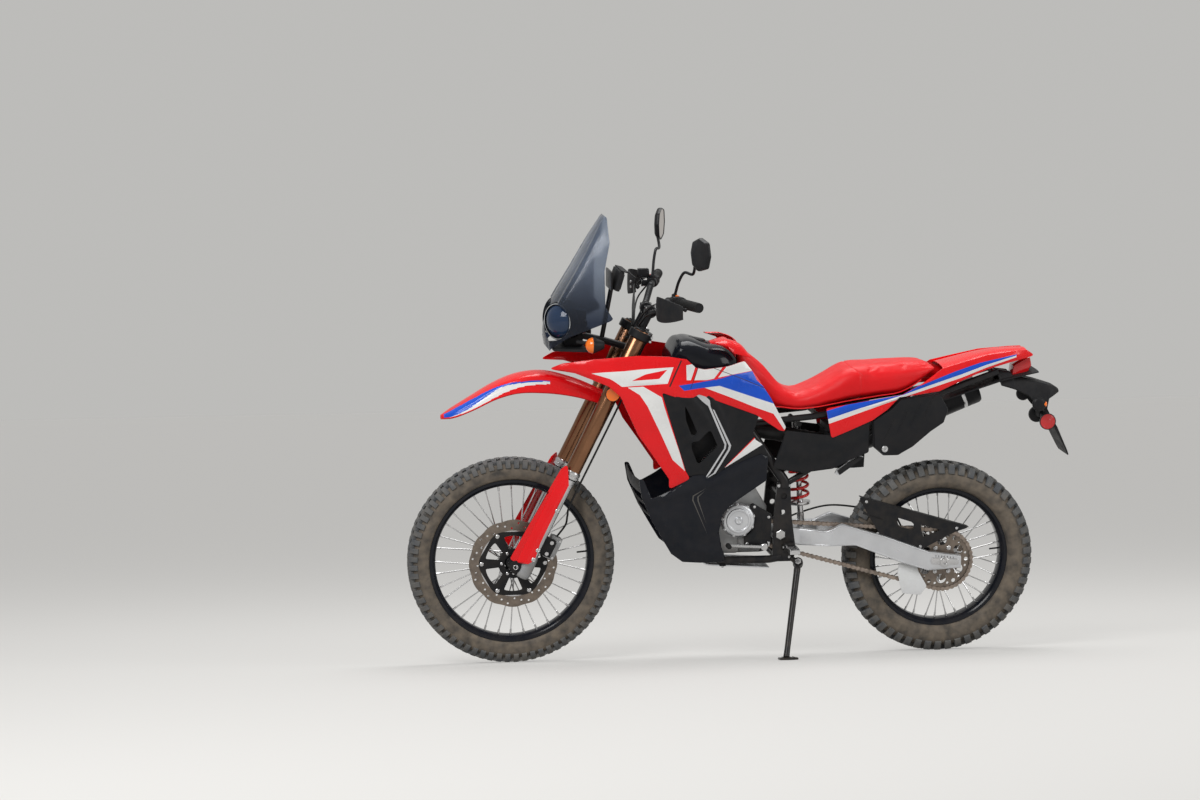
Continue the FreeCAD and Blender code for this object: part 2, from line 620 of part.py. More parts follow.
def front_mudguard():
    """The high front mudguard: a lofted arch, carried by the lower clamp."""
    wires = []
    for x, crown, shoulder, shoulder_z, edge, edge_z in MUDGUARD_SECTIONS:
        outer = [(edge, edge_z), (shoulder, shoulder_z), (0, crown), (-shoulder, shoulder_z), (-edge, edge_z)]
        inner = [(-edge + SKIN, edge_z), (-shoulder + SKIN, shoulder_z - SKIN), (0, crown - SKIN),
                 (shoulder - SKIN, shoulder_z - SKIN), (edge - SKIN, edge_z)]
        points = [vec(x, y, z) for y, z in outer + inner]
        wires.append(Part.makePolygon(points + points[:1]))
    shell = Part.makeLoft(wires, True, True)
    under = head_point(LOWER_CLAMP_S - LOWER_CLAMP_T / 2 - SEAT_GAP)
    posts = [rod(under + BACK * back - UP * 62 + vec(0, y, 0), under + BACK * back + vec(0, y, 0), 9)
             for back, y in ((-24, 30), (-24, -30))]
    arch = fused([shell] + posts)
    legs = Part.makeCylinder(OUTER_TUBE_R + 1, 900, leg_point(100, LEG_SPACING / 2), UP)
    return arch.cut(both(legs))


# Places of the frame's tubes, right-hand side
SPAR = ((428, 12, 992), (600, 72, 915), (775, 96, 800), (908, 92, 610), (908, 92, 590))
CRADLE = ((590, 14, 645), (625, 70, 520), (662, 88, 345), (860, 90, 345), (900, 92, 352))


def main_frame():
    """Head tube, twin spars, down tube, cradle and the pivot plates with the side stand's bracket."""
    low = LOWER_CLAMP_S + LOWER_CLAMP_T / 2 + 1
    high = UPPER_CLAMP_S - UPPER_CLAMP_T / 2 - 1
    head = Part.makeCylinder(HEAD_TUBE_R, high - low, head_point(low), UP)
    down = tube([tuple(head_point(low + 34, 0, 14)), (470, 0, 860), (575, 0, 700), (598, 0, 630)], 19, 80)
    plate_outline = ((870, 338), (940, 338), (948, 380), (934, 480), (926, 610), (884, 610), (872, 480))
    plate = side_prism(plate_outline, 86, 98, 8)
    parts = [head, down]
    for sign in (1, -1):
        for path, radius in ((SPAR, 17), (CRADLE, 13)):
            parts.append(tube([(x, sign * y, z) for x, y, z in path], radius, 60))
        parts.append(plate if sign > 0 else mirrored(plate))
    cross = along_y(905, 560, -90, 90, 13)
    lower_cross = along_y(885, 350, -90, 90, 11)
    gusset = side_prism(((430, 985), (560, 915), (600, 880), (560, 800), (500, 850), (440, 930)), -7, 7, 10)
    parts += [cross, lower_cross, gusset]
    frame = fused(parts)
    frame = frame.cut(Part.makeCylinder(STEM_R + FIT_GAP, 400, head_point(low - 50), UP))
    frame = frame.cut(along_y(PIVOT_X, PIVOT_Z, -200, 200, 10.1))
    return frame.fuse(stand_bracket())


def stand_vectors():
    """The stand's pivot, its leg's run to the floor, and the axis about which it folds back and up."""
    pivot = vec(*STAND_PIVOT)
    lean = math.radians(LEAN)
    lift = TREAD_HALF * math.sin(lean)
    floor = (-lift - STAND_FOOT[1] * math.sin(lean)) / math.cos(lean)
    foot = vec(STAND_FOOT[0], STAND_FOOT[1], floor)
    fold = vec(*STAND_FOLD).normalize()
    axis = (foot - pivot).cross(fold).normalize()
    return pivot, foot, axis


def stand_bracket():
    """The plate and pin on which the side stand turns."""
    pivot, foot, axis = stand_vectors()
    pin = Part.makeCylinder(STAND_PIN_R, 34, pivot - axis * 20, axis)
    head = Part.makeCylinder(STAND_PIN_R + 5, 6, pivot + axis * 8, axis)
    flange = Part.makeCylinder(17, 10, pivot - axis * 17.5, axis)
    arm = rod(vec(930, -92, 352), pivot - axis * 14, 9)
    arm = arm.cut(Part.makeCylinder(60, 60, pivot - axis * 7.5, axis))
    return fused([pin, head, flange, arm])


def side_stand():
    """The side stand's leg, its pivot lug and its foot, level with the ground when it leans."""
    pivot, foot, axis = stand_vectors()
    lug = Part.makeCylinder(16, 14, pivot - axis * 7, axis)
    run = (foot - pivot).normalize()
    up = vec(0, math.sin(math.radians(LEAN)), math.cos(math.radians(LEAN)))
    end = foot + up * 9
    tongue = Part.makeBox(42, 24, 14, vec(0, -12, -7))
    tongue.Placement = FreeCAD.Placement(pivot, FreeCAD.Rotation(run, axis.cross(run), axis, "XZY"))
    tongue = tongue.cut(Part.makeCylinder(15, 60, pivot - axis * 30, axis))
    leg = rod(pivot + run * 26, end, STAND_TUBE_R)
    sole = Part.makeBox(64, 46, 9, vec(-26, -26, 0))
    sole.Placement = FreeCAD.Placement(foot, FreeCAD.Rotation(Z_AXIS, up))
    below = Part.makeBox(400, 400, 100, vec(-200, -200, -100))
    below.Placement = FreeCAD.Placement(foot, FreeCAD.Rotation(Z_AXIS, up))
    stand = fused([lug, tongue, leg, sole]).cut(below)
    return stand.cut(Part.makeCylinder(STAND_PIN_R + FIT_GAP, 60, pivot - axis * 30, axis))


# Rear parts as seen from the side, as (x, z)
TOOL_BOX = (
    (1200, 812), (1262, 852), (1294, 884), (1350, 890), (1430, 899), (1460, 845), (1445, 800), (1400, 770),
    (1340, 720), (1290, 692), (1240, 692), (1205, 722),
)
UNDER_TAIL = (
    (1190, 780), (1300, 812), (1420, 862), (1660, 938), (1780, 962), (1782, 958), (1660, 933), (1422, 857),
    (1302, 807), (1192, 775),
)
WING = (
    (1640, 962), (1655, 918), (1700, 905), (1750, 880), (1790, 832), (1815, 835), (1820, 870), (1860, 893),
    (1840, 908), (1780, 925), (1700, 940), (1690, 955),
)

# The bracket of a folded pillion peg, seen from the side
PEG_BRACKET = (
    (1112, 712), (1142, 730), (1158, 692), (1180, 690), (1092, 624), (1076, 630), (1084, 646), (1124, 672),
)


def chassis_parts():
    frame = main_frame()
    rails = []
    for sign in (1, -1):
        upper = [(770, 90, 806), (1000, 84, 826), (1400, 78, 884), (1640, 52, 960)]
        strut = [(912, 90, 600), (1150, 84, 740), (1375, 78, 872)]
        rails.append(tube([(x, sign * y, z) for x, y, z in upper], 11, 80))
        rails.append(tube([(x, sign * y, z) for x, y, z in strut], 10, 80))
    for x, z, depth in ((1110, 838, SKIN), (1031, 670, 2 * SKIN + SEAT_GAP)):
        reach = half_width(x, z) - depth - SEAT_GAP
        rails += [along_y(x, z, 80, reach, 8), along_y(x, z, -reach, -80, 8)]
    rails += [along_y(1380, 884, -78, 78, 9), along_y(1630, 957, -54, 54, 9), along_y(1020, 829, -84, 84, 9)]
    peg_bracket = side_prism(PEG_BRACKET, 88, 104, 4)
    subframe = fused(rails + [peg_bracket, mirrored(peg_bracket)]).cut(frame)
    subframe = largest(subframe)
    case_outline = (
        (655, 425), (700, 365), (830, 363), (850, 400), (855, 520), (812, 590), (715, 605), (665, 560),
        (642, 490),
    )
    case = side_prism(case_outline, -72, 72, 16)
    case = case.cut(block((762, 900), (-80, -60), (385, 499)))
    barrel = side_prism(((665, 560), (790, 590), (763, 735), (640, 716)), -58, 58, 6)
    head = side_prism(((632, 702), (770, 722), (758, 815), (720, 832), (640, 818), (624, 780)), -66, 66, 14)
    gearshaft = along_y(DRIVE_X, DRIVE_Z, CHAIN_Y - 10, -50, 13)
    drive = gear(DRIVE_X, DRIVE_Z, CHAIN_Y, chain_pitch_radius(FRONT_TEETH), FRONT_TEETH, 6, 8)
    engine = fused([case, barrel, head, gearshaft, drive]).cut(frame)
    left_cover = along_y(750, 483, -112, -72.3, 56).cut(block((764, 900), (-87, -60), (388, 494)))
    ring = along_y(750, 483, -118, -112, 40)
    right_cover = along_y(755, 470, 72.3, 108, 78).fuse(along_y(715, 538, 72.3, 92, 28))
    covers = Part.makeCompound([left_cover.fuse(ring), right_cover.cut(frame)])
    sprocket_cover = side_prism(((770, 390), (864, 390), (866, 500), (800, 540), (770, 500)), -99, -87, 10)
    sprocket_cover = sprocket_cover.cut(along_y(750, 483, -130, 0, 56.3))
    radiator = block((478, 512), (28, 138), (700, 900)).fuse(block((476, 500), (5, 30), (838, 852)))
    radiator = largest(mirrored(radiator).cut(frame))
    shroud = panel(SHROUD, 0, SKIN)
    tank = fuel_tank(frame, subframe).cut(both(shroud))
    seat = seat_pad()
    fairing = panel(FAIRING, SKIN + SEAT_GAP, 2 * SKIN + SEAT_GAP).cut(side_prism(FAIRING_VENT, 0, 400, 14))
    cowl = panel(COWL, 0, SKIN)
    cowl = cowl.cut(shroud)
    side_cover = panel(SIDE_COVER, SKIN + SEAT_GAP, 2 * SKIN + SEAT_GAP)
    tail = tail_cover()
    skid = skid_plate()
    parts = {
        "main_frame": frame,
        "rear_subframe": subframe,
        "engine": engine,
        "engine_covers": Part.makeCompound([covers, sprocket_cover]),
        "radiator": radiator,
        "fuel_tank": tank,
        "seat": seat,
        "shrouds": both(shroud),
        "side_fairings": both(fairing),
        "lower_cowls": both(cowl),
        "skid_plate": skid,
        "side_covers": both(side_cover),
        "tail_covers": both(tail),
    }
    return parts


def fuel_tank(frame, subframe):
    """The tank, with bosses that carry the shrouds."""
    shape = side_prism(((520, 1000), (534, 1080), (570, 1092), (735, 1046), (742, 1000), (742, 850), (700, 868),
                        (600, 940)), -118, 118, 14)
    for sign in (1, -1):
        bevel = front_prism([(sign * 60, 1120), (sign * 140, 1120), (sign * 140, 960)], 400, 800)
        shape = shape.cut(bevel)
    bosses = []
    for x, z in ((560, 985), (690, 955)):
        reach = half_width(x, z) - SKIN - SEAT_GAP
        bosses.append(along_y(x, z, -reach, reach, 9))
    shape = fused([shape] + bosses)
    return shape.cut(frame).cut(subframe)


# The seat's sections: x, half width, top z, bottom z
SEAT_SECTIONS = (
    (748, 52, 1092, 1000),
    (765, 66, 1066, 940),
    (842, 82, 990, 862),
    (900, 96, 926, 852),
    (940, 104, 908, 848),
    (1010, 116, 925, 854),
    (1065, 119, 953, 863),
    (1115, 119, 982, 872),
    (1215, 115, 993, 887),
    (1300, 108, 997, 900),
    (1368, 94, 998, 935),
    (1425, 76, 992, 980),
)


def seat_pad():
    """The two-level seat, lofted through crowned sections."""
    wires = []
    for x, half, top, bottom in SEAT_SECTIONS:
        depth = top - bottom
        points = [vec(x, y, z) for y, z in (
            (-half, bottom), (half, bottom), (half, top - 0.35 * depth), (0.72 * half, top - 0.05 * depth),
            (-0.72 * half, top - 0.05 * depth), (-half, top - 0.35 * depth))]
        wires.append(Part.makePolygon(points + points[:1]))
    return Part.makeLoft(wires, True, True)


def tail_cover():
    """A tail cover: its side wall, and the deck behind the seat as far as the middle."""
    wall = panel(TAIL_COVER, 0, SKIN)
    wires = []
    for x, top in ((1446, 982), (1500, 996), (1600, 1020), (1700, 1030), (1745, 1030)):
        half = half_width(x, top) - 1
        above = ((SEAT_GAP / 2, top + 4), (0.7 * half, top + 2), (half, top - 10))
        below = ((half - SKIN, top - 14), (0.7 * half, top - 3), (SEAT_GAP / 2, top - 1))
        points = [vec(x, y, z) for y, z in above + below]
        wires.append(Part.makePolygon(points + points[:1]))
    deck = Part.makeLoft(wires, True, True)
    return wall.fuse(deck)


def skid_plate():
    """The plate under the engine, with upturned front and sides."""
    outline = ((600, 395), (640, 334), (860, 318), (860, 314), (636, 329), (594, 392))
    plate = side_prism(outline, -92, 92)
    tabs = [block((690, 712), (y - 8, y + 8), (326, 345 - 13.3)) for y in (-88, 88)]
    return fused([plate] + tabs)


REFLECTOR_X = 1812.0
REFLECTOR_Z = 790.0
REFLECTOR_R = 28.0


def along_arm(share, past=0.0):
    """A place along the swingarm: a share of the way from the pivot to the rear axle, and a length past it."""
    return PIVOT_X + share * (WHEELBASE - PIVOT_X) + past


# The swingarm's left and right edges seen from above: share of the run, length past it, y inside, y outside
ARM_PLAN = ((0, -27, 58, 84), (0.116, 0, 58, 84), (0.295, 0, 88, 116), (1, 60, 92, 118))

# Its edges seen from the side: share of the run, length past it, z
ARM_TOP = ((0, -27, 430), (0, 0, 457), (0.116, 0, 446), (0.277, 0, 438), (0.373, 0, 464), (0.634, 0, 418),
           (0.902, 0, 362), (1, 58, 345))
ARM_BELOW = ((1, 58, 303), (0.902, 0, 296), (0.723, 0, 328), (0.455, 0, 388), (0.116, 0, 388), (0, 0, 403))

# The chain guard's wall and openings, and the lower chain guide, behind the swingarm's front: share of the run, z
GUARD = ((0.473, 553), (1.17, 437), (1.077, 424), (0.868, 366), (0.616, 415), (0.554, 470))
GUARD_OPENINGS = (((0.709, 478), (0.816, 458), (0.816, 432), (0.723, 446)),
                  ((0.855, 452), (0.973, 432), (0.973, 428), (0.873, 408)))
GUIDE = ((0.732, 322), (0.723, 285), (0.755, 215), (0.866, 208), (0.905, 238), (0.852, 290), (0.845, 306))


def chain_guards(swingarm):
    """The guard over the chain, a pierced wall with a flange along its top, and the guide under the swingarm."""
    outline = [(along_arm(share), z) for share, z in GUARD]
    wall = side_prism(outline, -96, -92, 6)
    for opening in GUARD_OPENINGS:
        wall = wall.cut(side_prism([(along_arm(share), z) for share, z in opening], -100, -80, 4))
    (front_x, front_z), (rear_x, rear_z) = outline[:2]
    flange = side_prism(((front_x + 8, front_z - 2), (rear_x - 8, rear_z + 3), (rear_x - 12, rear_z - 1),
                         (front_x + 6, front_z - 6)), -96, -63)
    guide = side_prism([(along_arm(share), z) for share, z in GUIDE], -93, -88.3, 8)
    return Part.makeCompound([largest(fused([wall, flange]).cut(swingarm)), guide])


def rear_parts(frame, subframe, engine):
    arm_plan = [(along_arm(share, past), inside) for share, past, inside, outside in ARM_PLAN]
    arm_plan += [(along_arm(share, past), outside) for share, past, inside, outside in ARM_PLAN[::-1]]
    arm_side = [(along_arm(share, past), z) for share, past, z in ARM_TOP + ARM_BELOW]
    arm = plan_prism(arm_plan, 250, 520).common(side_prism(arm_side, 0, 200, 10))
    pivot = along_y(PIVOT_X, PIVOT_Z, -84, 84, 27)
    bridge = block((PIVOT_X + 50, PIVOT_X + 95), (-70, 70), (392, 440))
    swingarm = fused([arm, mirrored(arm), pivot, bridge])
    swingarm = swingarm.cut(along_y(PIVOT_X, PIVOT_Z, -200, 200, 10.1))
    swingarm = swingarm.cut(along_y(REAR_AXLE.x, REAR_AXLE.z, -200, 200, REAR_AXLE_R + FIT_GAP))
    axle = along_y(REAR_AXLE.x, REAR_AXLE.z, -126, 126, REAR_AXLE_R)
    axle = axle.cut(along_y(REAR_AXLE.x, REAR_AXLE.z, -200, 200, REAR_AXLE_BORE_R))
    pivot_bolt = along_y(PIVOT_X, PIVOT_Z, -104, 104, 10)
    nut = along_y(PIVOT_X, PIVOT_Z, 98.3, 106, 17)
    nuts = fused([nut, mirrored(nut), pivot_bolt])
    shock = fused([rod(vec(985, 0, 440.3), vec(985, 0, 470), 12), rod(vec(985, 0, 465), vec(962, 0, 760), 26),
                   rod(vec(975, 0, 520), vec(966, 0, 720), 36), rod(vec(962, 0, 740), vec(958, 0, 812), 14)])
    cross = along_y(958, 800, -78, 78, 9)
    shock = fused([shock, cross]).cut(subframe).cut(frame)
    shock = largest(shock)
    caliper = block((REAR_AXLE.x - 103, REAR_AXLE.x - 55), (44, 95), (REAR_AXLE.z + 35, REAR_AXLE.z + 87))
    caliper = caliper.cut(along_y(REAR_AXLE.x, REAR_AXLE.z, REAR_DISC_Y - 6, REAR_DISC_Y + 6, REAR_DISC_R + 6))
    caliper = caliper.cut(swingarm)
    peg = block((908, 944), (110, 200), (382, 396))
    hinge = block((902, 944), (98.3, 124), (372, 406))
    pegs = fused([peg, hinge])
    left_lever = tube([(838, -112, 392), (760, -118, 398), (715, -122, 402), (712, -150, 402)], 6, 14)
    shaft = along_y(838, 392, -116, -99.3, 9)
    right_path = [(892, 112, 372), (830, 118, 368), (770, 124, 392), (735, 124, 396), (733, 150, 396)]
    right_lever = tube(right_path, 7, 14)
    right_boss = along_y(892, 372, 98.3, 118, 10)
    levers = Part.makeCompound([left_lever.fuse(shaft), right_lever.fuse(right_boss)])
    airbox = block((1052, 1190 - SEAT_GAP), (-68, 68), (640, 800)).cut(subframe)
    tool_box = side_prism(TOOL_BOX, -118, -92, 12).cut(subframe)
    under = side_prism(UNDER_TAIL, -62, 62)
    wing = side_prism(WING, -60, 60, 6)
    under_tail = under.cut(wing).cut(subframe)
    under_tail = largest(under_tail)
    inner_edge = ((1600, 900), (1700, 899), (1748, 874), (1786, 829), (1700, 780), (1600, 800))
    hollow = side_prism(inner_edge, -55, 55)
    bracket = side_prism(((1790, 850), (1812, 850), (1892, 672), (1887, 670)), -70, 70, 1)
    reflector = along_y(REFLECTOR_X, REFLECTOR_Z, 66, 76, REFLECTOR_R)
    mudguard = fused([wing.cut(hollow), bracket, reflector, mirrored(reflector)]).cut(subframe)
    lamp = side_prism(((1696, 940), (1700, 975), (1758, 1008), (1764, 975), (1748, 950)), -30, 30, 4)
    lamp = largest(lamp.cut(under_tail).cut(mudguard))
    arms = along_y(1776, 860, 52, 98, 7)
    signal = along_y(1772, 856, 98, 118, 24)
    rear_signal = largest(fused([arms, signal]).cut(mudguard))
    pipe = tube([(640, 30, 770), (566, 52, 760), (556, 70, 660), (640, 97, 587), (790, 97, 583), (885, 130, 592),
                 (1010, 138, 630), (1120, 146, 672), (1200, 150, 704)], 17, 50)
    can = rod(vec(1208, 152, 706), vec(1620, 154, 872), 50)
    neck = rod(vec(1172, 149, 692), vec(1215, 152, 709), 22)
    can = can.fuse(neck)
    exhaust = largest(pipe.cut(can).cut(frame).cut(engine))
    tab = block((1385, 1401), (78, 110), (800, 870))
    can = can.fuse(tab).cut(subframe)
    can = largest(can)
    return {
        "swingarm": swingarm,
        "swingarm_pivot": nuts,
        "rear_axle": axle,
        "rear_shock": shock,
        "chain": chain(),
        "chain_guards": chain_guards(swingarm),
        "rear_caliper": caliper,
        "foot_pegs": both(pegs),
        "foot_levers": levers,
        "airbox": airbox,
        "tool_box": tool_box,
        "under_tail": under_tail,
        "rear_mudguard": mudguard,
        "tail_lamp": lamp,
        "rear_signals": both(rear_signal),
        "exhaust_pipe": exhaust,
        "muffler": can,
    }


# The windscreen's levels: z, nose x, shoulder (x, y), rear edge (x, y)
SCREEN_LEVELS = (
    (1060, 112, 125, 88, 190, 120),
    (1115, 106, 122, 98, 250, 132),
    (1170, 112, 130, 104, 318, 138),
    (1215, 134, 152, 104, 304, 132),
    (1330, 202, 214, 92, 302, 118),
    (1420, 252, 262, 76, 326, 98),
    (1500, 298, 303, 40, 322, 56),
)
# The headlamps: where the lens meets its ring, how far it turns outward, its radius, dome and depth
LAMP_X = 150.0
LAMP_Y = 62.0
LAMP_Z = 1158.0
LAMP_TURN = 38.0
LAMP_R = 58.0
LAMP_DOME = 30.0
LAMP_DEPTH = 12.0
LAMP_RING = 4.0
LAMP_BOWL = 52.0

# A front signal: the middle of its lens ring, its radius, dome, body length and the body's rear radius
SIGNAL_PLACE = (250, 152, 1090)
SIGNAL_R = 27.0
SIGNAL_DOME = 26.0
SIGNAL_BODY = 38.0
SIGNAL_TAIL_R = 12.0


def domed(place, ahead, radius, dome, depth):
    """A round lens: a cap standing ahead of its ring's plane, and a short barrel behind it."""
    ball_r = (radius * radius + dome * dome) / (2 * dome)
    ball = Part.makeSphere(ball_r, place - ahead * (ball_r - dome))
    cap = ball.common(Part.makeCylinder(radius, dome + 1, place, ahead))
    return cap.fuse(Part.makeCylinder(radius, depth, place - ahead * depth, ahead)).removeSplitter()


def headlamp(side):
    """One headlamp, for the left (-1) or the right (1): its lens, its bowl and the hole through the screen."""
    turn = math.radians(LAMP_TURN)
    ahead = vec(-math.cos(turn), side * math.sin(turn), 0)
    place = vec(LAMP_X, side * LAMP_Y, LAMP_Z)
    lens = domed(place, ahead, LAMP_R, LAMP_DOME, LAMP_DEPTH)
    bowl = Part.makeCylinder(LAMP_R + LAMP_RING, LAMP_BOWL + LAMP_RING, place - ahead * LAMP_BOWL, ahead)
    seat = Part.makeCylinder(LAMP_R + SEAT_GAP, 40, place - ahead * LAMP_DEPTH, ahead)
    hole = Part.makeCylinder(LAMP_R + LAMP_RING + 0.6, 130, place - ahead * 20, ahead)
    return lens, bowl.cut(seat), hole


def front_signal(screen, housing):
    """A front signal: a lens that faces forward, the body behind it and the arm from the screen."""
    place = vec(*SIGNAL_PLACE)
    body = Part.makeCone(SIGNAL_R, SIGNAL_TAIL_R, SIGNAL_BODY, place, X_AXIS)
    arm = rod(vec(206, 100, SIGNAL_PLACE[2] + 4), place + X_AXIS * 16, 7)
    lens = domed(place, X_AXIS * -1, SIGNAL_R, SIGNAL_DOME, 1)
    return largest(fused([body, arm, lens]).cut(screen).cut(housing))


def front_parts(frame):
    wires = []
    for z, nose, shoulder_x, shoulder, rear_x, rear in SCREEN_LEVELS:
        outer = [(rear_x, -rear), (shoulder_x, -shoulder), (nose, 0), (shoulder_x, shoulder), (rear_x, rear)]
        inner = [(rear_x, rear - SKIN), (shoulder_x + SKIN, shoulder - SKIN), (nose + SKIN, 0),
                 (shoulder_x + SKIN, -shoulder + SKIN), (rear_x, -rear + SKIN)]
        points = [vec(x, y, z) for x, y in outer + inner]
        wires.append(Part.makePolygon(points + points[:1]))
    screen = Part.makeLoft(wires, True, True)
    lenses, bowls, holes = zip(*[headlamp(side) for side in (-1, 1)])
    screen = screen.cut(Part.makeCompound(holes))
    housing = block((196, 236), (-92, 92), (1112, 1206))
    nose = plan_prism(((130, -84), (240, -118), (240, 118), (130, 84)), 1061, 1070, 8)
    keel = block((170, 235), (-40, 40), (1070, 1113))
    stem = head_point(UPPER_CLAMP_S - 62, 0, -HEAD_TUBE_R - SEAT_GAP)
    stay = fused([rod(stem, vec(300, 0, 1085), 12), rod(vec(305, 0, 1083), vec(236.3, 0, 1100), 12),
                  rod(vec(300, 0, 1080), vec(334, 0, 1262), 8), block((322, 330), (-60, 60), (1256, 1320))])
    stay = stay.cut(Part.makeCylinder(HEAD_TUBE_R + SEAT_GAP, 300, head_point(UPPER_CLAMP_S - 160), UP))
    housing = fused([housing, keel, nose] + list(bowls)).cut(stay)
    for lens in lenses:
        housing = housing.cut(lens)
    panel_box = side_prism(((330.3, 1250), (352, 1246), (372, 1318), (340, 1326), (330.3, 1322)), -72, 72, 4)
    screen_stays = []
    for sign in (-1, 1):
        screen_stays.append(block((228, 236), sorted((sign * 90, sign * 126)), (1150, 1166)))
    housing = fused([housing] + screen_stays).cut(screen)
    housing = largest(housing)
    signal = front_signal(screen, housing)
    stay = stay.cut(panel_box)
    return {
        "windscreen": screen,
        "headlamp_housing": housing,
        "headlamp_lenses": Part.makeCompound(lenses),
        "fairing_stay": stay,
        "instrument_panel": panel_box,
        "front_signals": both(signal),
    }


def parked(shape):
    """The upright shape, leaned onto its side stand and moved to the row's origin."""
    lift = TREAD_HALF * math.sin(math.radians(LEAN))
    leaning = shape.copy()
    leaning.rotate(vec(0, 0, 0), X_AXIS, LEAN)
    leaning.translate(vec(-ORIGIN_X, -ORIGIN_Y, lift))
    return leaning


def main():
    os.makedirs("parts", exist_ok=True)
    parts = chassis_parts()
    parts.update(rear_parts(parts["main_frame"], parts["rear_subframe"], parts["engine"]))
    parts.update(front_parts(parts["main_frame"]))
    parts.update(steering_parts())
    parts["side_stand"] = side_stand()
    parts.update(front_wheel_parts())
    parts.update(rear_wheel_parts())
    for name, shape in parts.items():
        parked(shape).exportStep("parts/" + name + ".step")


if __name__ == "__main__":
    main()
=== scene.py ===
"""The looks of a dual sport motorcycle parked on its side stand.

Every piece is worked out in the motorcycle's own upright millimetres: x runs rearward from the front axle,
y to its right and z up from the tyres' base. A piece's mesh is then leaned and moved into the row frame.
"""

import json
import logging
import math
from collections.abc import Callable
from dataclasses import dataclass
from enum import Enum

import bmesh
import bpy
import numpy as np
from mathutils import Matrix, Vector
from mathutils.geometry import delaunay_2d_cdt

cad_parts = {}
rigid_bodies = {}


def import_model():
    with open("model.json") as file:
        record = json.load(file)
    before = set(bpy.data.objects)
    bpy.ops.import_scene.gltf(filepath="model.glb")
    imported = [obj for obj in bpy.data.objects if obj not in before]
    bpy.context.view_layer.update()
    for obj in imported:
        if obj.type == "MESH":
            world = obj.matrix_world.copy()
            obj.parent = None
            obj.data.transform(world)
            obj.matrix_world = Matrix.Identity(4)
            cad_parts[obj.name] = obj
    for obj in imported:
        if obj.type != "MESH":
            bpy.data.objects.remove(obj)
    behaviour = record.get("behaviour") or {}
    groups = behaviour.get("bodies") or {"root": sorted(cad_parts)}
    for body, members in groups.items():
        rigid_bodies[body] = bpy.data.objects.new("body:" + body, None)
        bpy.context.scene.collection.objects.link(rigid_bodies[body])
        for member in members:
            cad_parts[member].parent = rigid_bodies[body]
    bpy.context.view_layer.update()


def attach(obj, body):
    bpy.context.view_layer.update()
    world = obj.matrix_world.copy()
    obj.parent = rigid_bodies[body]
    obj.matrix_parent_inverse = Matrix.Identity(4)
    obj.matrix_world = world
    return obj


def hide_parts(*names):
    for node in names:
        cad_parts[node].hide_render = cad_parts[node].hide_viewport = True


log = logging.getLogger("motorcycle")

LEAN = math.radians(10.0)
RAKE = math.radians(26.0)
TREAD_HALF = 22.0
ORIGIN = np.array([-772.0, 240.0, TREAD_HALF * math.sin(LEAN)])
MM = 0.001
X_AXIS, Y_AXIS, Z_AXIS = np.eye(3)
UP = np.array([math.sin(RAKE), 0.0, math.cos(RAKE)])
BACK = np.array([math.cos(RAKE), 0.0, -math.sin(RAKE)])
FRONT_AXLE = np.array([0.0, 0.0, 347.0])
REAR_AXLE = np.array([1455.0, 0.0, 325.0])
FORK_AXES = (BACK, Y_AXIS, UP)
OTHER_SIDE = np.array([1.0, -1.0, 1.0])
BOTH_SIDES = (np.ones(3), OTHER_SIDE)
AXLE_LEAD = 35.0
CLAMP_OFFSET = 28.0
LEG_Y = 100.0
SMOOTH_ANGLE = math.radians(34)
BEVEL_ANGLE = math.radians(40)
MERGE_DISTANCE = 2e-6
TINY = 1e-9
COAT_ROUGHNESS = 0.06
BUMP_DEPTH = 0.4 * MM
DUST = (0.42, 0.33, 0.23)
Points = np.ndarray
Colour = tuple[float, float, float] | bpy.types.NodeSocket


class Body(Enum):
    """The bodies that pieces ride on."""

    ROOT = "root"
    STEERING = "steering"
    FRONT_WHEEL = "front_wheel"
    REAR_WHEEL = "rear_wheel"
    STAND = "stand"


def leaned(points: Points) -> Points:
    """Turns upright millimetres by the lean about the ground line and moves them to the row frame.

    Args:
        points: Upright places in millimetres, one row each.

    Returns:
        The same places in metres in the row frame.
    """
    c, s = math.cos(LEAN), math.sin(LEAN)
    turn = np.array([[1, 0, 0], [0, c, -s], [0, s, c]])
    return (np.asarray(points, float).reshape(-1, 3) @ turn.T + ORIGIN) * MM


def xyz(x: float, y: float, z: float) -> Points:
    """A place or a direction from its three numbers."""
    return np.array([x, y, z], float)


def spread(x: Points | float, y: Points | float, z: Points | float) -> Points:
    """Places from coordinates of unlike shapes, each stretched to the shape that all of them share."""
    return np.stack(np.broadcast_arrays(x, y, z), -1)


def standing(spots: Points, y: Points | float) -> Points:
    """Side-view places carried to a place across the motorcycle."""
    return spread(spots[:, 0], y, spots[:, 1])


def drawn(*rows: tuple[float, float]) -> Points:
    """Side-view places as an array."""
    return np.array(rows, float)


def full_turn(count: int) -> Points:
    """Even angles round a whole turn."""
    return np.linspace(0, 2 * np.pi, count, endpoint=False)


def polar(radius: Points | float, angle: Points) -> Points:
    """Flat places by their distance and angle from a middle, one row each."""
    return np.stack([radius * np.cos(angle), radius * np.sin(angle)], 1)


def wheel_place(radius: float, angle: float, y: float = 0.0) -> Points:
    """A place by its distance and angle about an axis that runs across the motorcycle."""
    return xyz(radius * math.cos(angle), y, radius * math.sin(angle))


def powered(v: Points, power: float) -> Points:
    """A power of each number's size, with the number's own sign: it turns a circle into a rounded box."""
    return np.sign(v) * np.abs(v) ** power


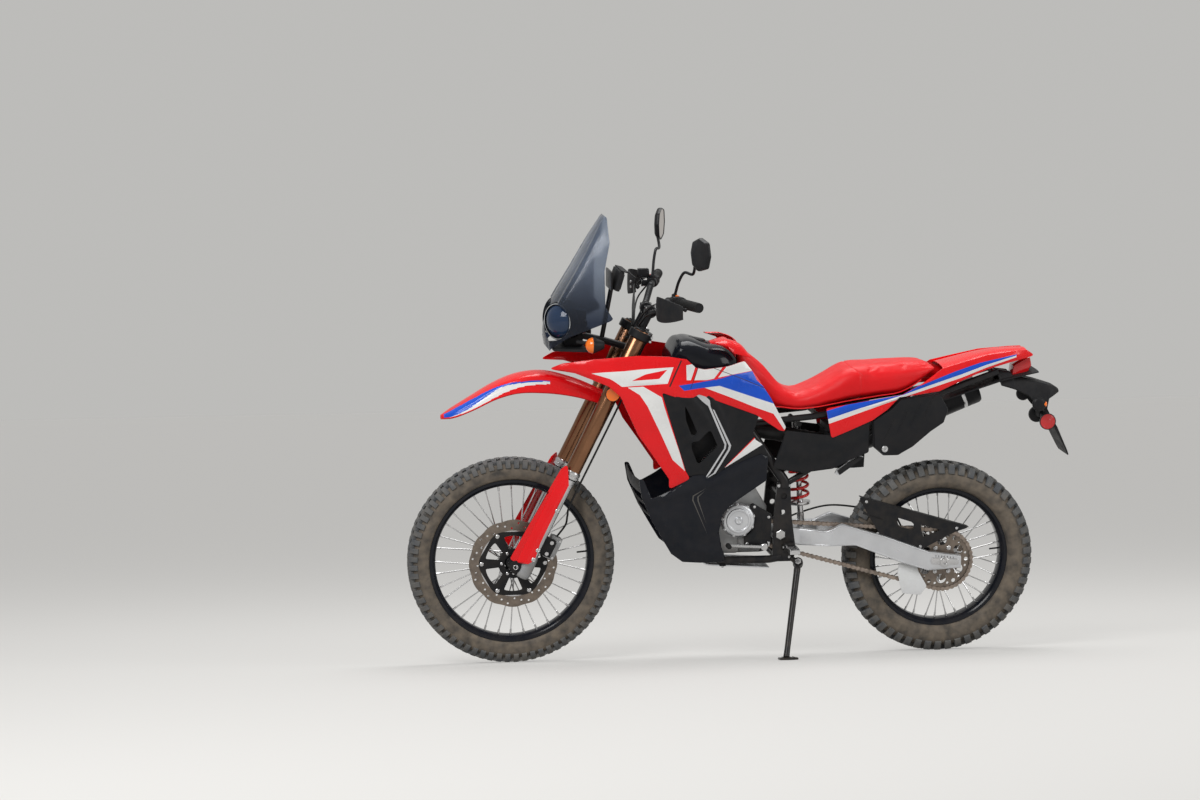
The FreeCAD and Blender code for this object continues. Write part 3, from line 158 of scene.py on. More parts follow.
def cubic(ends: tuple[Points, Points], slopes: tuple[Points, Points], gap: Points, t: Points) -> Points:
    """The cubic between two values that leaves each of them with its slope.

    Args:
        ends: The values at the span's start and end.
        slopes: The slopes there.
        gap: The span's length.
        t: How far along the span to read, from 0 to 1.

    Returns:
        The values read.
    """
    rise = (3 - 2 * t) * t**2
    rounding = gap * slopes[0] * t * (1 - t) ** 2
    return ends[0] * (1 - rise) + ends[1] * rise + rounding - gap * slopes[1] * t**2 * (1 - t)


def unit(v: Points) -> Points:
    """Scales vectors, one row each, to length one."""
    v = np.asarray(v, float)
    return v / np.maximum(np.linalg.norm(v, axis=-1, keepdims=True), 1e-12)


def across(axis: Points) -> tuple[Points, Points]:
    """Two unit vectors at right angles to an axis and to each other.

    Args:
        axis: The axis.

    Returns:
        The two vectors.
    """
    axis = unit(axis)
    helper = X_AXIS if abs(axis[0]) < 0.8 else Z_AXIS
    one = unit(np.cross(axis, helper))
    return one, np.cross(axis, one)


def leg_point(distance: float, y: float = 0.0, back: float = 0.0) -> Points:
    """A place on a fork leg's plane: up the leg, across, and back from its centre line."""
    return FRONT_AXLE + BACK * (AXLE_LEAD + back) + UP * distance + Y_AXIS * y


def head_point(distance: float, y: float = 0.0, back: float = 0.0) -> Points:
    """A place measured up the steering axis."""
    return leg_point(distance, y, back + CLAMP_OFFSET)


def spline(points: Points, per: int = 8) -> Points:
    """A smooth line through places: each span is the cubic whose slopes come from its two neighbours.

    Args:
        points: The places, one row each.
        per: Steps per span.

    Returns:
        The line's places.
    """
    p = np.asarray(points, float)
    p = np.vstack([2 * p[:1] - p[1:2], p, 2 * p[-1:] - p[-2:-1]])
    t = (np.arange(per) / per)[None, :, None]
    a, b, c, d = (p[k : len(p) - 3 + k, None, :] for k in range(4))
    line = 0.5 * (2 * b + (c - a) * t + (2 * a - 5 * b + 4 * c - d) * t**2 + (3 * b - a - 3 * c + d) * t**3)
    return np.vstack([line.reshape(-1, p.shape[1]), p[-2:-1]])


def rounded(outline: Points, radius: float, steps: int = 4) -> Points:
    """An outline with bent corners: each is a parabola between the places a cut away on its two sides.

    Args:
        outline: Corners of a closed outline, one row each.
        radius: The bend's radius.
        steps: Spans per bend.

    Returns:
        The bent outline.
    """
    p = np.asarray(outline, float)
    before, after = np.roll(p, 1, 0) - p, np.roll(p, -1, 0) - p
    short = np.minimum(np.linalg.norm(before, axis=1), np.linalg.norm(after, axis=1))
    cosine = np.clip((unit(before) * unit(after)).sum(1), -0.999, 0.999)
    cut = np.minimum(radius / np.tan(np.arccos(cosine) / 2), 0.45 * short)[:, None]
    one, two = (p + unit(before) * cut)[:, None], (p + unit(after) * cut)[:, None]
    t = np.linspace(0, 1, steps + 1)[None, :, None]
    return ((1 - t) ** 2 * one + 2 * t * (1 - t) * p[:, None] + t**2 * two).reshape(-1, p.shape[1])


def strip(width: float, *rows: tuple[float, float]) -> Points:
    """The outline of a thin band along a flat line.

    Args:
        width: The band's width.
        rows: Places of the line.

    Returns:
        The outline's corners.
    """
    line = np.array(rows, float)
    run = unit(np.gradient(line, axis=0))
    side = np.stack([-run[:, 1], run[:, 0]], 1) * width / 2
    return np.vstack([line + side, (line - side)[::-1]])


def drum(inner: float, outer: float, low: float, high: float) -> list[tuple[float, float]]:
    """The profile of a plain drum or collar, as a lathe takes it."""
    return [(inner, low), (outer, low), (outer, high), (inner, high)]


def circle(u: float, v: float, radius: float, steps: int = 24) -> Points:
    """A round outline about a centre."""
    return [u, v] + polar(radius, full_turn(steps))


def inside(points: Points, outline: Points) -> Points:
    """Which places lie in an outline: those whose sideways ray crosses it an odd number of times.

    Args:
        points: Flat places, one row each.
        outline: Corners of a closed outline.

    Returns:
        One truth value per place.
    """
    a, b = outline, np.roll(outline, -1, 0)
    u, v = points[:, :1], points[:, 1:]
    spans = (a[:, 1] > v) != (b[:, 1] > v)
    rise = np.where(b[:, 1] == a[:, 1], TINY, b[:, 1] - a[:, 1])
    crossing = u < (b[:, 0] - a[:, 0]) * (v - a[:, 1]) / rise + a[:, 0]
    return (spans & crossing).sum(1) % 2 == 1


def near_line(points: Points, line: Points) -> Points:
    """The distance from each flat place to a line of straight spans."""
    a, b = line[:-1], line[1:]
    run = b - a
    t = ((points[:, None] - a) * run).sum(2) / np.maximum((run**2).sum(1), TINY)
    foot = a + np.clip(t, 0, 1)[..., None] * run
    return np.linalg.norm(points[:, None] - foot, axis=2).min(1)


def smooth_rows(xs: Points, rows: Points, x: Points) -> Points:
    """Reads a table between its rows: a cubic per span whose slopes are the table's own differences.

    Args:
        xs: Where the rows stand.
        rows: The table, one row per place in xs.
        x: Where to read it.

    Returns:
        One row of the table per place in x.
    """
    xs, rows = np.asarray(xs, float), np.asarray(rows, float)
    x = np.clip(np.asarray(x, float), xs[0], xs[-1])
    slope = np.gradient(rows, xs, axis=0)
    i = np.clip(np.searchsorted(xs, x) - 1, 0, len(xs) - 2)
    shape = (-1,) + (1,) * (rows.ndim - 1)
    gap = (xs[i + 1] - xs[i]).reshape(shape)
    t = (x - xs[i]).reshape(shape) / gap
    return cubic((rows[i], rows[i + 1]), (slope[i], slope[i + 1]), gap, t)


def grid_faces(rows: int, columns: int, wrap_rows: bool, wrap_columns: bool) -> Points:
    """The quads of a grid of points numbered row by row."""
    i, j = np.meshgrid(np.arange(rows if wrap_rows else rows - 1),
                       np.arange(columns if wrap_columns else columns - 1), indexing="ij")
    below, beside = (i + 1) % rows, (j + 1) % columns
    corners = (i * columns + j, i * columns + beside, below * columns + beside, below * columns + j)
    return np.stack(corners, -1).reshape(-1, 4)


@dataclass(frozen=True)
class Finish:
    """A surface's colour, gloss, grain and dust, as node values on the motorcycle's own millimetres."""

    name: str
    colour: tuple[float, float, float]
    roughness: float = 0.4
    metallic: float = 0.0
    second: tuple[float, float, float] | None = None
    patch: float = 0.012
    grain: float = 0.0
    grain_size: float = 0.8
    stretch: tuple[float, float, float] = (1.0, 1.0, 1.0)
    coat: float = 0.0
    dust: float = 0.0
    dust_top: float = 700.0
    painted_glow: float = 0.0
    clear: float = 0.0
    ior: float = 1.45
    shine: float = 0.5

    def material(self) -> bpy.types.Material:
        """The finish as a material, made once.

        Returns:
            The material.
        """
        made = bpy.data.materials.get(f"look_{self.name}")
        return made if made else self.paint()

    def paint(self) -> bpy.types.Material:
        """Builds the nodes: two colours mixed by noise, dust by height, grain as bump.

        Returns:
            The new material.
        """
        made = bpy.data.materials.new(f"look_{self.name}")
        made.use_nodes = True
        tree = made.node_tree
        shader = tree.nodes["Principled BSDF"]
        place = bike_place(tree)
        colour = self.blend_colours(tree, place)
        tree.links.new(colour, shader.inputs["Base Color"])
        shader.inputs["Metallic"].default_value = self.metallic
        shader.inputs["Coat Weight"].default_value = self.coat
        shader.inputs["Coat Roughness"].default_value = COAT_ROUGHNESS
        shader.inputs["IOR"].default_value = self.ior
        shader.inputs["Specular IOR Level"].default_value = self.shine
        shader.inputs["Transmission Weight"].default_value = self.clear
        # Painted glow: a faint emission that brightens lenses, including the reflectors and a switch button,
        # which are no lamps.
        if self.painted_glow:
            shader.inputs["Emission Color"].default_value = (*self.colour, 1)
            shader.inputs["Emission Strength"].default_value = self.painted_glow
        wear = noise(tree, place, self.patch * 3.1, 6)
        rough = ranged(tree, wear, 0.3, 0.75, self.roughness * 0.8, min(1.0, self.roughness * 1.22))
        tree.links.new(rough, shader.inputs["Roughness"])
        if self.grain:
            bump = tree.nodes.new("ShaderNodeBump")
            bump.inputs["Strength"].default_value = self.grain
            bump.inputs["Distance"].default_value = BUMP_DEPTH
            tree.links.new(noise(tree, place, self.grain_size, 3, self.stretch), bump.inputs["Height"])
            tree.links.new(bump.outputs["Normal"], shader.inputs["Normal"])
        return made

    def blend_colours(self, tree: bpy.types.NodeTree, place: bpy.types.NodeSocket) -> bpy.types.NodeSocket:
        """The base colour: patches of a second shade, then dust that thickens towards the ground."""
        second = self.second or tuple(0.86 * c for c in self.colour)
        patches = ranged(tree, noise(tree, place, self.patch, 5), 0.35, 0.7, 0.0, 1.0)
        colour = mixed(tree, patches, self.colour, second)
        if self.dust:
            split = tree.nodes.new("ShaderNodeSeparateXYZ")
            tree.links.new(place, split.inputs[0])
            low = ranged(tree, split.outputs["Z"], 0.0, self.dust_top, self.dust, self.dust * 0.25)
            spots = ranged(tree, noise(tree, place, 0.035, 8), 0.35, 0.72, 0.0, 1.0)
            colour = mixed(tree, reckoned(tree, "MULTIPLY", low, spots), colour, DUST)
        return colour


def bike_place(tree: bpy.types.NodeTree) -> bpy.types.NodeSocket:
    """Object coordinates turned back upright, in millimetres."""
    place = tree.nodes.new("ShaderNodeTexCoord")
    turn = tree.nodes.new("ShaderNodeMapping")
    turn.vector_type = "TEXTURE"
    turn.inputs["Location"].default_value = ORIGIN * MM
    turn.inputs["Rotation"].default_value = (LEAN, 0, 0)
    turn.inputs["Scale"].default_value = (MM, MM, MM)
    tree.links.new(place.outputs["Object"], turn.inputs["Vector"])
    return turn.outputs["Vector"]


def noise(
    tree: bpy.types.NodeTree,
    place: bpy.types.NodeSocket,
    scale: float,
    detail: float,
    stretch: tuple[float, float, float] = (1.0, 1.0, 1.0),
) -> bpy.types.NodeSocket:
    """A noise value at a place, its scale per millimetre.

    Args:
        tree: The node tree.
        place: The coordinates.
        scale: Cells per millimetre.
        detail: Octaves.
        stretch: How the cells are drawn out along each axis.

    Returns:
        The value's socket.
    """
    if stretch != (1.0, 1.0, 1.0):
        draw = tree.nodes.new("ShaderNodeMapping")
        draw.inputs["Scale"].default_value = stretch
        tree.links.new(place, draw.inputs["Vector"])
        place = draw.outputs["Vector"]
    made = tree.nodes.new("ShaderNodeTexNoise")
    made.inputs["Scale"].default_value = scale
    made.inputs["Detail"].default_value = detail
    tree.links.new(place, made.inputs["Vector"])
    return made.outputs["Fac"]


def ranged(
    tree: bpy.types.NodeTree,
    value: bpy.types.NodeSocket,
    low: float,
    high: float,
    to_low: float,
    to_high: float,
) -> bpy.types.NodeSocket:
    """A value carried from one range to another and kept inside it."""
    made = tree.nodes.new("ShaderNodeMapRange")
    for name, number in (("From Min", low), ("From Max", high), ("To Min", to_low), ("To Max", to_high)):
        made.inputs[name].default_value = number
    tree.links.new(value, made.inputs["Value"])
    return made.outputs["Result"]


def reckoned(
    tree: bpy.types.NodeTree,
    operation: str,
    one: bpy.types.NodeSocket | float,
    two: bpy.types.NodeSocket | float,
) -> bpy.types.NodeSocket:
    """One sum on two values, each a socket or a number."""
    made = tree.nodes.new("ShaderNodeMath")
    made.operation = operation
    for socket, value in zip(made.inputs, (one, two)):
        if isinstance(value, float):
            socket.default_value = value
        else:
            tree.links.new(value, socket)
    return made.outputs[0]


def mixed(
    tree: bpy.types.NodeTree, share: bpy.types.NodeSocket, one: Colour, two: Colour
) -> bpy.types.NodeSocket:
    """Two colours, each a socket or three numbers, mixed by a share."""
    made = tree.nodes.new("ShaderNodeMix")
    made.data_type = "RGBA"
    tree.links.new(share, made.inputs["Factor"])
    for name, colour in (("A", one), ("B", two)):
        socket = [s for s in made.inputs if s.name == name and s.type == "RGBA"][0]
        if isinstance(colour, tuple):
            socket.default_value = (*colour, 1)
        else:
            tree.links.new(colour, socket)
    return [s for s in made.outputs if s.type == "RGBA"][0]


@dataclass(frozen=True)
class ShadedScreenTint(Finish):
    """Smoked screen plastic with painted shade and light: dark low down, paler towards its top."""

    def blend_colours(self, tree: bpy.types.NodeTree, place: bpy.types.NodeSocket) -> bpy.types.NodeSocket:
        """Painted shade low down and painted light high up: dark blue-grey below, paler with height, with
        faint dust.
        """
        split = tree.nodes.new("ShaderNodeSeparateXYZ")
        tree.links.new(place, split.inputs[0])
        # Painted shade and light: the colour runs from dark at the bottom to pale at the top by height alone.
        height = ranged(tree, split.outputs["Z"], 1160.0, 1330.0, 0.0, 1.0)
        colour = mixed(tree, height, self.second, self.colour)
        spots = ranged(tree, noise(tree, place, 0.05, 8), 0.6, 0.8, 0.0, 0.10)
        return mixed(tree, spots, colour, DUST)


RED = Finish("red_gloss", (0.80, 0.004, 0.008), 0.26, second=(0.74, 0.004, 0.007), coat=0.25, shine=0.3,
             grain=0.03, grain_size=0.15)
WHITE = Finish("white_stripe", (0.80, 0.80, 0.79), 0.26, second=(0.74, 0.74, 0.73), coat=0.3)
BLUE = Finish("blue_stripe", (0.006, 0.085, 0.60), 0.26, second=(0.006, 0.075, 0.54), coat=0.2, shine=0.25)
GLOSS_BLACK = Finish("black_gloss", (0.006, 0.008, 0.013), 0.16, second=(0.010, 0.011, 0.016), coat=0.12,
                     shine=0.16, dust=0.03)
SATIN_BLACK = Finish("black_satin", (0.011, 0.012, 0.014), 0.38, second=(0.015, 0.015, 0.017), dust=0.05,
                     grain=0.1, shine=0.16)
MATT_BLACK = Finish("black_moulded", (0.013, 0.014, 0.016), 0.55, second=(0.018, 0.018, 0.020), dust=0.07,
                    grain=0.5, grain_size=1.2, shine=0.14)
PAINTED_STEEL = Finish("black_painted_steel", (0.012, 0.012, 0.014), 0.34, dust=0.08, coat=0.1, shine=0.2)
RUBBER = Finish("tyre_sidewall", (0.135, 0.115, 0.095), 0.85, second=(0.06, 0.055, 0.05), patch=0.03,
                dust=0.25, dust_top=2400.0, grain=0.5, grain_size=0.6, shine=0.3)
TREAD = Finish("tread_rubber", (0.070, 0.077, 0.086), 0.65, second=(0.115, 0.115, 0.112), patch=0.03,
               dust=0.15, dust_top=1400.0, grain=0.4, grain_size=0.7, shine=0.4)
GRIP = Finish("grip_rubber", (0.012, 0.012, 0.012), 0.75, grain=0.6, grain_size=0.9, shine=0.3)
SILVER = Finish("silver_alloy", (0.62, 0.63, 0.65), 0.34, 0.85, second=(0.53, 0.54, 0.56), grain=0.1,
                grain_size=0.5, dust=0.1, dust_top=600.0)
CAST = Finish("cast_alloy", (0.36, 0.37, 0.38), 0.5, 0.75, second=(0.27, 0.275, 0.28), grain=0.5,
              grain_size=0.9, dust=0.25)
STEEL = Finish("bright_steel", (0.58, 0.58, 0.59), 0.26, 1.0, second=(0.46, 0.46, 0.46), grain=0.08,
               grain_size=0.5, dust=0.1)
DISC = Finish("brake_disc", (0.20, 0.165, 0.14), 0.42, 0.7, second=(0.13, 0.108, 0.092), patch=0.05,
              dust=0.25, dust_top=900.0)
BRONZE = Finish("bronze_tube", (0.24, 0.115, 0.06), 0.24, 0.9, second=(0.20, 0.095, 0.05), grain=0.05,
                stretch=(1.0, 1.0, 0.1), dust=0.05)
CHAIN_STEEL = Finish("chain_steel", (0.34, 0.28, 0.24), 0.42, 0.85, second=(0.18, 0.15, 0.13), patch=0.05,
                     dust=0.3)
SPRING = Finish("spring_paint", (0.62, 0.010, 0.010), 0.35, coat=0.3)
# The faint emission of these lenses is a painted glow; the reflectors and the button that share these
# finishes are no lamps.
AMBER = Finish("amber_plastic", (0.95, 0.20, 0.004), 0.16, second=(0.85, 0.15, 0.004), coat=0.5, painted_glow=0.05)
RED_LENS = Finish("red_plastic", (0.55, 0.006, 0.008), 0.15, second=(0.45, 0.005, 0.007), coat=0.6, painted_glow=0.03)
BRIGHT = Finish("lamp_reflector", (0.75, 0.77, 0.8), 0.12, 1.0)
# The screen's run from dark low down to pale at the top is painted shade and light.
SCREEN_TINT_SHADED = ShadedScreenTint("smoked_screen_painted_shade", (0.30, 0.35, 0.44), 0.17, second=(0.035, 0.05, 0.09), clear=0.85,
                         ior=1.3, shine=0.3)
LAMP_GLASS = Finish("lamp_dome", (0.035, 0.07, 0.15), 0.04, clear=0.45, ior=1.4, second=(0.03, 0.06, 0.13),
                    shine=0.4)
MIRROR = Finish("mirror_face", (0.62, 0.56, 0.52), 0.03, 1.0, second=(0.62, 0.56, 0.52))
VINYL = Finish("seat_red", (0.72, 0.006, 0.010), 0.42, second=(0.66, 0.006, 0.009), grain=0.25,
               grain_size=0.7, shine=0.35)
HOSE = Finish("hose_black", (0.010, 0.010, 0.010), 0.5, shine=0.35)
SEAM = Finish("panel_seam", (0.03, 0.004, 0.005), 0.5)
COWL_LINE = Finish("cowl_line", (0.10, 0.095, 0.085), 0.4, second=(0.08, 0.075, 0.07))
LAMP_BEZEL = Finish("lamp_bezel", (0.004, 0.005, 0.007), 0.25, shine=0.12)
LAMP_BOWL = Finish("lamp_bowl", (0.03, 0.05, 0.10), 0.18, second=(0.02, 0.035, 0.08), coat=0.5)
GUIDE_WHITE = Finish("guide_white", (0.78, 0.79, 0.80), 0.45, second=(0.72, 0.73, 0.73), dust=0.06)
PLATE = Finish("blank_plate", (0.42, 0.42, 0.41), 0.45, second=(0.36, 0.36, 0.35), dust=0.4)
DIAL = Finish("dial_face", (0.05, 0.06, 0.06), 0.25, coat=0.5)


class MeshBag:
    """Gathers surfaces in upright millimetres and makes them one piece."""

    def __init__(self) -> None:
        """Starts empty."""
        self.points: list[Points] = []
        self.faces: list[list[int]] = []
        self.marks: list[int] = []
        self.finishes: list[Finish] = []
        self.count = 0

    def add(self, points: Points, faces: Points | list, finish: Finish) -> None:
        """Adds points and the faces between them.

        Args:
            points: The points, one row each.
            faces: Rows of point numbers.
            finish: The faces' finish.
        """
        if finish not in self.finishes:
            self.finishes.append(finish)
        rows = [(np.asarray(f) + self.count).tolist()
                for f in (faces if isinstance(faces, list) else [faces])]
        flat = [face for block in rows for face in (block if isinstance(block[0], list) else [block])]
        self.faces += flat
        self.marks += [self.finishes.index(finish)] * len(flat)
        points = np.asarray(points, float).reshape(-1, 3)
        self.points.append(points)
        self.count += len(points)

    def surface(
        self,
        grid: Points,
        finish: Finish,
        wrap_rows: bool = False,
        wrap_columns: bool = False,
        caps: bool = False,
    ) -> None:
        """Adds a grid of points as quads, its first and last rows capped if asked."""
        rows, columns = grid.shape[:2]
        faces = [grid_faces(rows, columns, wrap_rows, wrap_columns)]
        if caps:
            faces += [np.arange(columns)[::-1], np.arange(columns) + (rows - 1) * columns]
        self.add(grid, faces, finish)

    def shell(self, outer: Points, inner: Points, finish: Finish) -> None:
        """Adds the wall between two like grids of points, closed all round."""
        self.surface(np.concatenate([outer, inner[:, ::-1]], 1), finish, wrap_columns=True, caps=True)

    def lathe(
        self,
        profile: list[tuple[float, float]] | Points,
        finish: Finish,
        centre: Points,
        axis: Points = Y_AXIS,
        steps: int = 48,
        closed: bool = False,
    ) -> None:
        """Turns a profile about an axis: radius times the circle's directions, plus the way along the axis.

        Args:
            profile: Rows of (radius, distance along the axis).
            finish: The faces' finish.
            centre: A place on the axis.
            axis: The axis.
            steps: Spans round the axis.
            closed: Whether the profile returns to its start.
        """
        p = np.asarray(profile, float)
        one, two = across(axis)
        a = full_turn(steps)
        ring = np.cos(a)[:, None] * one + np.sin(a)[:, None] * two
        grid = np.asarray(centre) + p[None, :, :1] * ring[:, None] + p[None, :, 1:] * unit(axis)
        self.surface(grid, finish, wrap_rows=True, wrap_columns=closed)

    def pipe(
        self, path: Points, radius: float | Points, finish: Finish, sides: int = 12, helper: Points = Y_AXIS
    ) -> None:
        """Carries a circle along a path, its directions taken from the path's slope and a helper direction.

        Args:
            path: The places of the path, one row each.
            radius: One radius, or one per place.
            finish: The faces' finish.
            sides: Sides of the circle.
            helper: A direction that the path never takes.
        """
        path = np.asarray(path, float)
        slope = unit(np.gradient(path, axis=0))
        one = unit(np.cross(slope, helper))
        two = np.cross(slope, one)
        a = full_turn(sides)
        reach = np.broadcast_to(np.asarray(radius, float), (len(path),))[:, None, None]
        ring = np.cos(a)[None, :, None] * one[:, None] + np.sin(a)[None, :, None] * two[:, None]
        self.surface(path[:, None] + reach * ring, finish, wrap_columns=True, caps=True)

    def block(
        self,
        centre: Points,
        size: tuple[float, float, float],
        finish: Finish,
        bend: float = 2.0,
        axes: tuple[Points, Points, Points] = (X_AXIS, Y_AXIS, Z_AXIS),
        steps: int = 6,
    ) -> None:
        """A block with rounded edges: a cube's skin pulled in to a smaller box, then pushed out by the bend.

        Args:
            centre: Its middle.
            size: Its three lengths.
            finish: The faces' finish.
            bend: The edges' radius.
            axes: The directions of its lengths.
            steps: Spans along each edge.
        """
        half = np.asarray(size, float) / 2
        bend = min(bend, half.min() * 0.98)
        side = np.concatenate([[-1.0], np.linspace(-1, 1, steps - 1)[1:-1] * 0.999, [1.0]])
        u, v = np.meshgrid(side, side, indexing="ij")
        faces = []
        for k in range(3):
            for sign in (-1, 1):
                face = np.stack([np.full_like(u, sign), u * sign, v], -1)
                faces.append(np.roll(face, k, axis=-1))
        skin = np.stack(faces)
        edge = 1 - bend / half
        snapped = np.where(np.abs(skin) > 0.998, np.sign(skin), skin * edge)
        inner = np.clip(snapped * half, -(half - bend), half - bend)
        place = inner + bend * unit(snapped * half - inner)
        turned = place @ np.stack([np.asarray(a, float) for a in axes]) + np.asarray(centre)
        for face in turned:
            self.surface(face, finish)

    def sheet(
        self,
        outline: Points,
        place: Callable[[Points], tuple[Points, Points]],
        finish: Finish,
        holes: list[Points] | None = None,
        marks: list[tuple[Points, Finish]] | None = None,
        spacing: float = 12.0,
    ) -> None:
        """A plate cut to a flat outline, with holes and coloured fields, then bent to its place.

        The outline, holes and fields are edges of a triangulation over evenly spaced points. Triangles
        outside the outline or in a hole are dropped. The two faces and the wall between them close
        the plate.

        Args:
            outline: The flat outline.
            place: Gives the outer and inner faces' places from flat places.
            finish: The plate's finish.
            holes: Outlines that are cut out.
            marks: Outlines with a finish of their own.
            spacing: Distance between inner points.
        """
        holes, marks = holes or [], marks or []
        low, high = outline.min(0), outline.max(0)
        u, v = np.meshgrid(np.arange(low[0], high[0], spacing), np.arange(low[1], high[1], spacing),
                           indexing="ij")
        u = u + (np.arange(u.shape[1]) % 2 * 0.5 * spacing)[None, :]
        inner = np.stack([u.ravel(), v.ravel()], 1)
        inner = inner[inside(inner, outline)]
        loops = [outline] + holes + [m[0] for m in marks]
        away = np.min([near_line(inner, np.vstack([loop, loop[:1]])) for loop in loops], axis=0)
        clear = away > 0.45 * spacing
        points, edges = [], []
        for loop in loops:
            start = sum(len(p) for p in points)
            number = np.arange(len(loop))
            edges += np.stack([start + number, start + (number + 1) % len(loop)], 1).tolist()
            points.append(loop)
        points.append(inner[clear])
        flat = [Vector(p) for p in np.vstack(points).tolist()]
        made = delaunay_2d_cdt(flat, edges, [], 0, 1e-4)
        spots = np.array([tuple(p) for p in made[0]])
        triangles = np.array(made[2])
        middle = spots[triangles].mean(1)
        kept = inside(middle, outline)
        for hole in holes:
            kept &= ~inside(middle, hole)
        triangles, middle = triangles[kept], middle[kept]
        used = np.unique(triangles)
        number = np.zeros(len(spots), int)
        number[used] = np.arange(len(used))
        triangles = number[triangles]
        front, behind = place(spots[used])
        total = len(used)
        sides = np.vstack([triangles[:, [0, 1]], triangles[:, [1, 2]], triangles[:, [2, 0]]])
        index, times = np.unique(np.sort(sides, 1), axis=0, return_index=True, return_counts=True)[1:]
        rim = sides[index[times == 1]]
        wall = np.stack([rim[:, 1], rim[:, 0], rim[:, 0] + total, rim[:, 1] + total], 1)
        field = np.full(len(triangles), -1)
        for k, (shape, _) in enumerate(marks):
            field[inside(middle, shape)] = k
        start = self.count
        self.add(np.vstack([front, behind]), [wall, triangles[:, ::-1] + total], finish)
        for k, paint in enumerate([finish] + [m[1] for m in marks]):
            chosen = triangles[field == k - 1]
            if len(chosen):
                self.add(np.zeros((0, 3)), chosen - (self.count - start), paint)

    def plate(
        self,
        outline: Points,
        low: float,
        high: float,
        finish: Finish,
        holes: list[Points] | None = None,
        spacing: float = 60.0,
    ) -> None:
        """A flat plate in the side view, between two places across the motorcycle."""
        def place(flat: Points) -> tuple[Points, Points]:
            """Both faces, straight across."""
            return standing(flat, low), standing(flat, high)
        self.sheet(np.asarray(outline, float), place, finish, holes, spacing=spacing)

    def copies(self, points: Points, faces: Points, finish: Finish, frames: Points, places: Points) -> None:
        """Adds the same small mesh many times, each turned by its frame and moved to its place.

        Args:
            points: The small mesh's points.
            faces: Its faces.
            finish: Its finish.
            frames: One three by three turn per copy, its rows the copy's axes.
            places: One place per copy.
        """
        all_points = np.einsum("pk,nkj->npj", points, frames) + places[:, None]
        shifts = (np.arange(len(places)) * len(points))[:, None, None]
        self.add(all_points.reshape(-1, 3), (np.asarray(faces)[None] + shifts).reshape(-1, len(faces[0])),
                 finish)

    def mirror(self) -> None:
        """Adds the other side's copy of all that is in the bag."""
        points = np.vstack(self.points) * OTHER_SIDE
        self.points.append(points)
        self.faces += [[i + self.count for i in face[::-1]] for face in self.faces]
        self.marks += self.marks
        self.count += len(points)

    def build(
        self, name: str, body: Body, nodes: tuple[str, ...] = (), slot: str = "", bevel: float = 0.0
    ) -> bpy.types.Object:
        """Makes the piece, with smooth faces, outward normals and its place in its mesh.

        Args:
            name: The piece's name.
            body: The body that it rides on.
            nodes: The frame's nodes that it stands for.
            slot: Not used.
            bevel: Width of the bevel on its sharp edges, in millimetres.

        Returns:
            The new object.
        """
        mesh = bpy.data.meshes.new(name)
        mesh.from_pydata(leaned(np.vstack(self.points)).tolist(), [], self.faces)
        for finish in self.finishes:
            mesh.materials.append(finish.material())
        mesh.polygons.foreach_set("material_index", self.marks)
        work = bmesh.new()
        work.from_mesh(mesh)
        bmesh.ops.remove_doubles(work, verts=work.verts, dist=MERGE_DISTANCE)
        bmesh.ops.recalc_face_normals(work, faces=work.faces)
        work.to_mesh(mesh)
        work.free()
        mesh.polygons.foreach_set("use_smooth", np.ones(len(mesh.polygons), bool))
        mesh.set_sharp_from_angle(angle=SMOOTH_ANGLE)
        made = bpy.data.objects.new(name, mesh)
        bpy.context.scene.collection.objects.link(made)
        if bevel:
            edge = made.modifiers.new("edge", "BEVEL")
            edge.width = bevel * MM
            edge.segments = 2
            edge.limit_method = "ANGLE"
            edge.angle_limit = BEVEL_ANGLE
            edge.use_clamp_overlap = True
        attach(made, body.value)
        if nodes:
            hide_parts(*nodes)
        log.info("%s: %d faces on %s", name, len(mesh.polygons), body.value)
        return made


def ribbed_arm(bag: MeshBag, path: Points, depth: float) -> None:
    """A rubber arm along a path: its radius ripples by a depth."""
    line = spline(path, 8)
    bag.pipe(line, 6.4 + depth * np.cos(np.arange(len(line)) * np.pi), MATT_BLACK, 16, Z_AXIS)


def dome_profile(reach: float, radius: float, base: float, height: float, steps: int) -> Points:
    """A lens's rounded profile, from its rim in to its middle.

    Args:
        reach: The rim's distance from the axis.
        radius: Where the curve would meet the base.
        base: The base's place along the axis.
        height: The middle's height over the base.
        steps: How many places.

    Returns:
        Rows of (radius, distance along the axis).
    """
    r = np.linspace(0, reach, steps)[::-1]
    return np.stack([r, base + height * np.sqrt(1 - (r / radius) ** 2)], 1)


def turned_frames(angles: Points) -> Points:
    """Turns about the wheels' axle: rows are outward, across and onward directions.

    Args:
        angles: One angle per copy.

    Returns:
        One three by three turn per angle.
    """
    c, s, zero = np.cos(angles), np.sin(angles), np.zeros_like(angles)
    outward = np.stack([c, zero, s], 1)
    sideways = np.tile(Y_AXIS, (len(angles), 1))
    onward = np.stack([-s, zero, c], 1)
    return np.stack([outward, sideways, onward], 1)


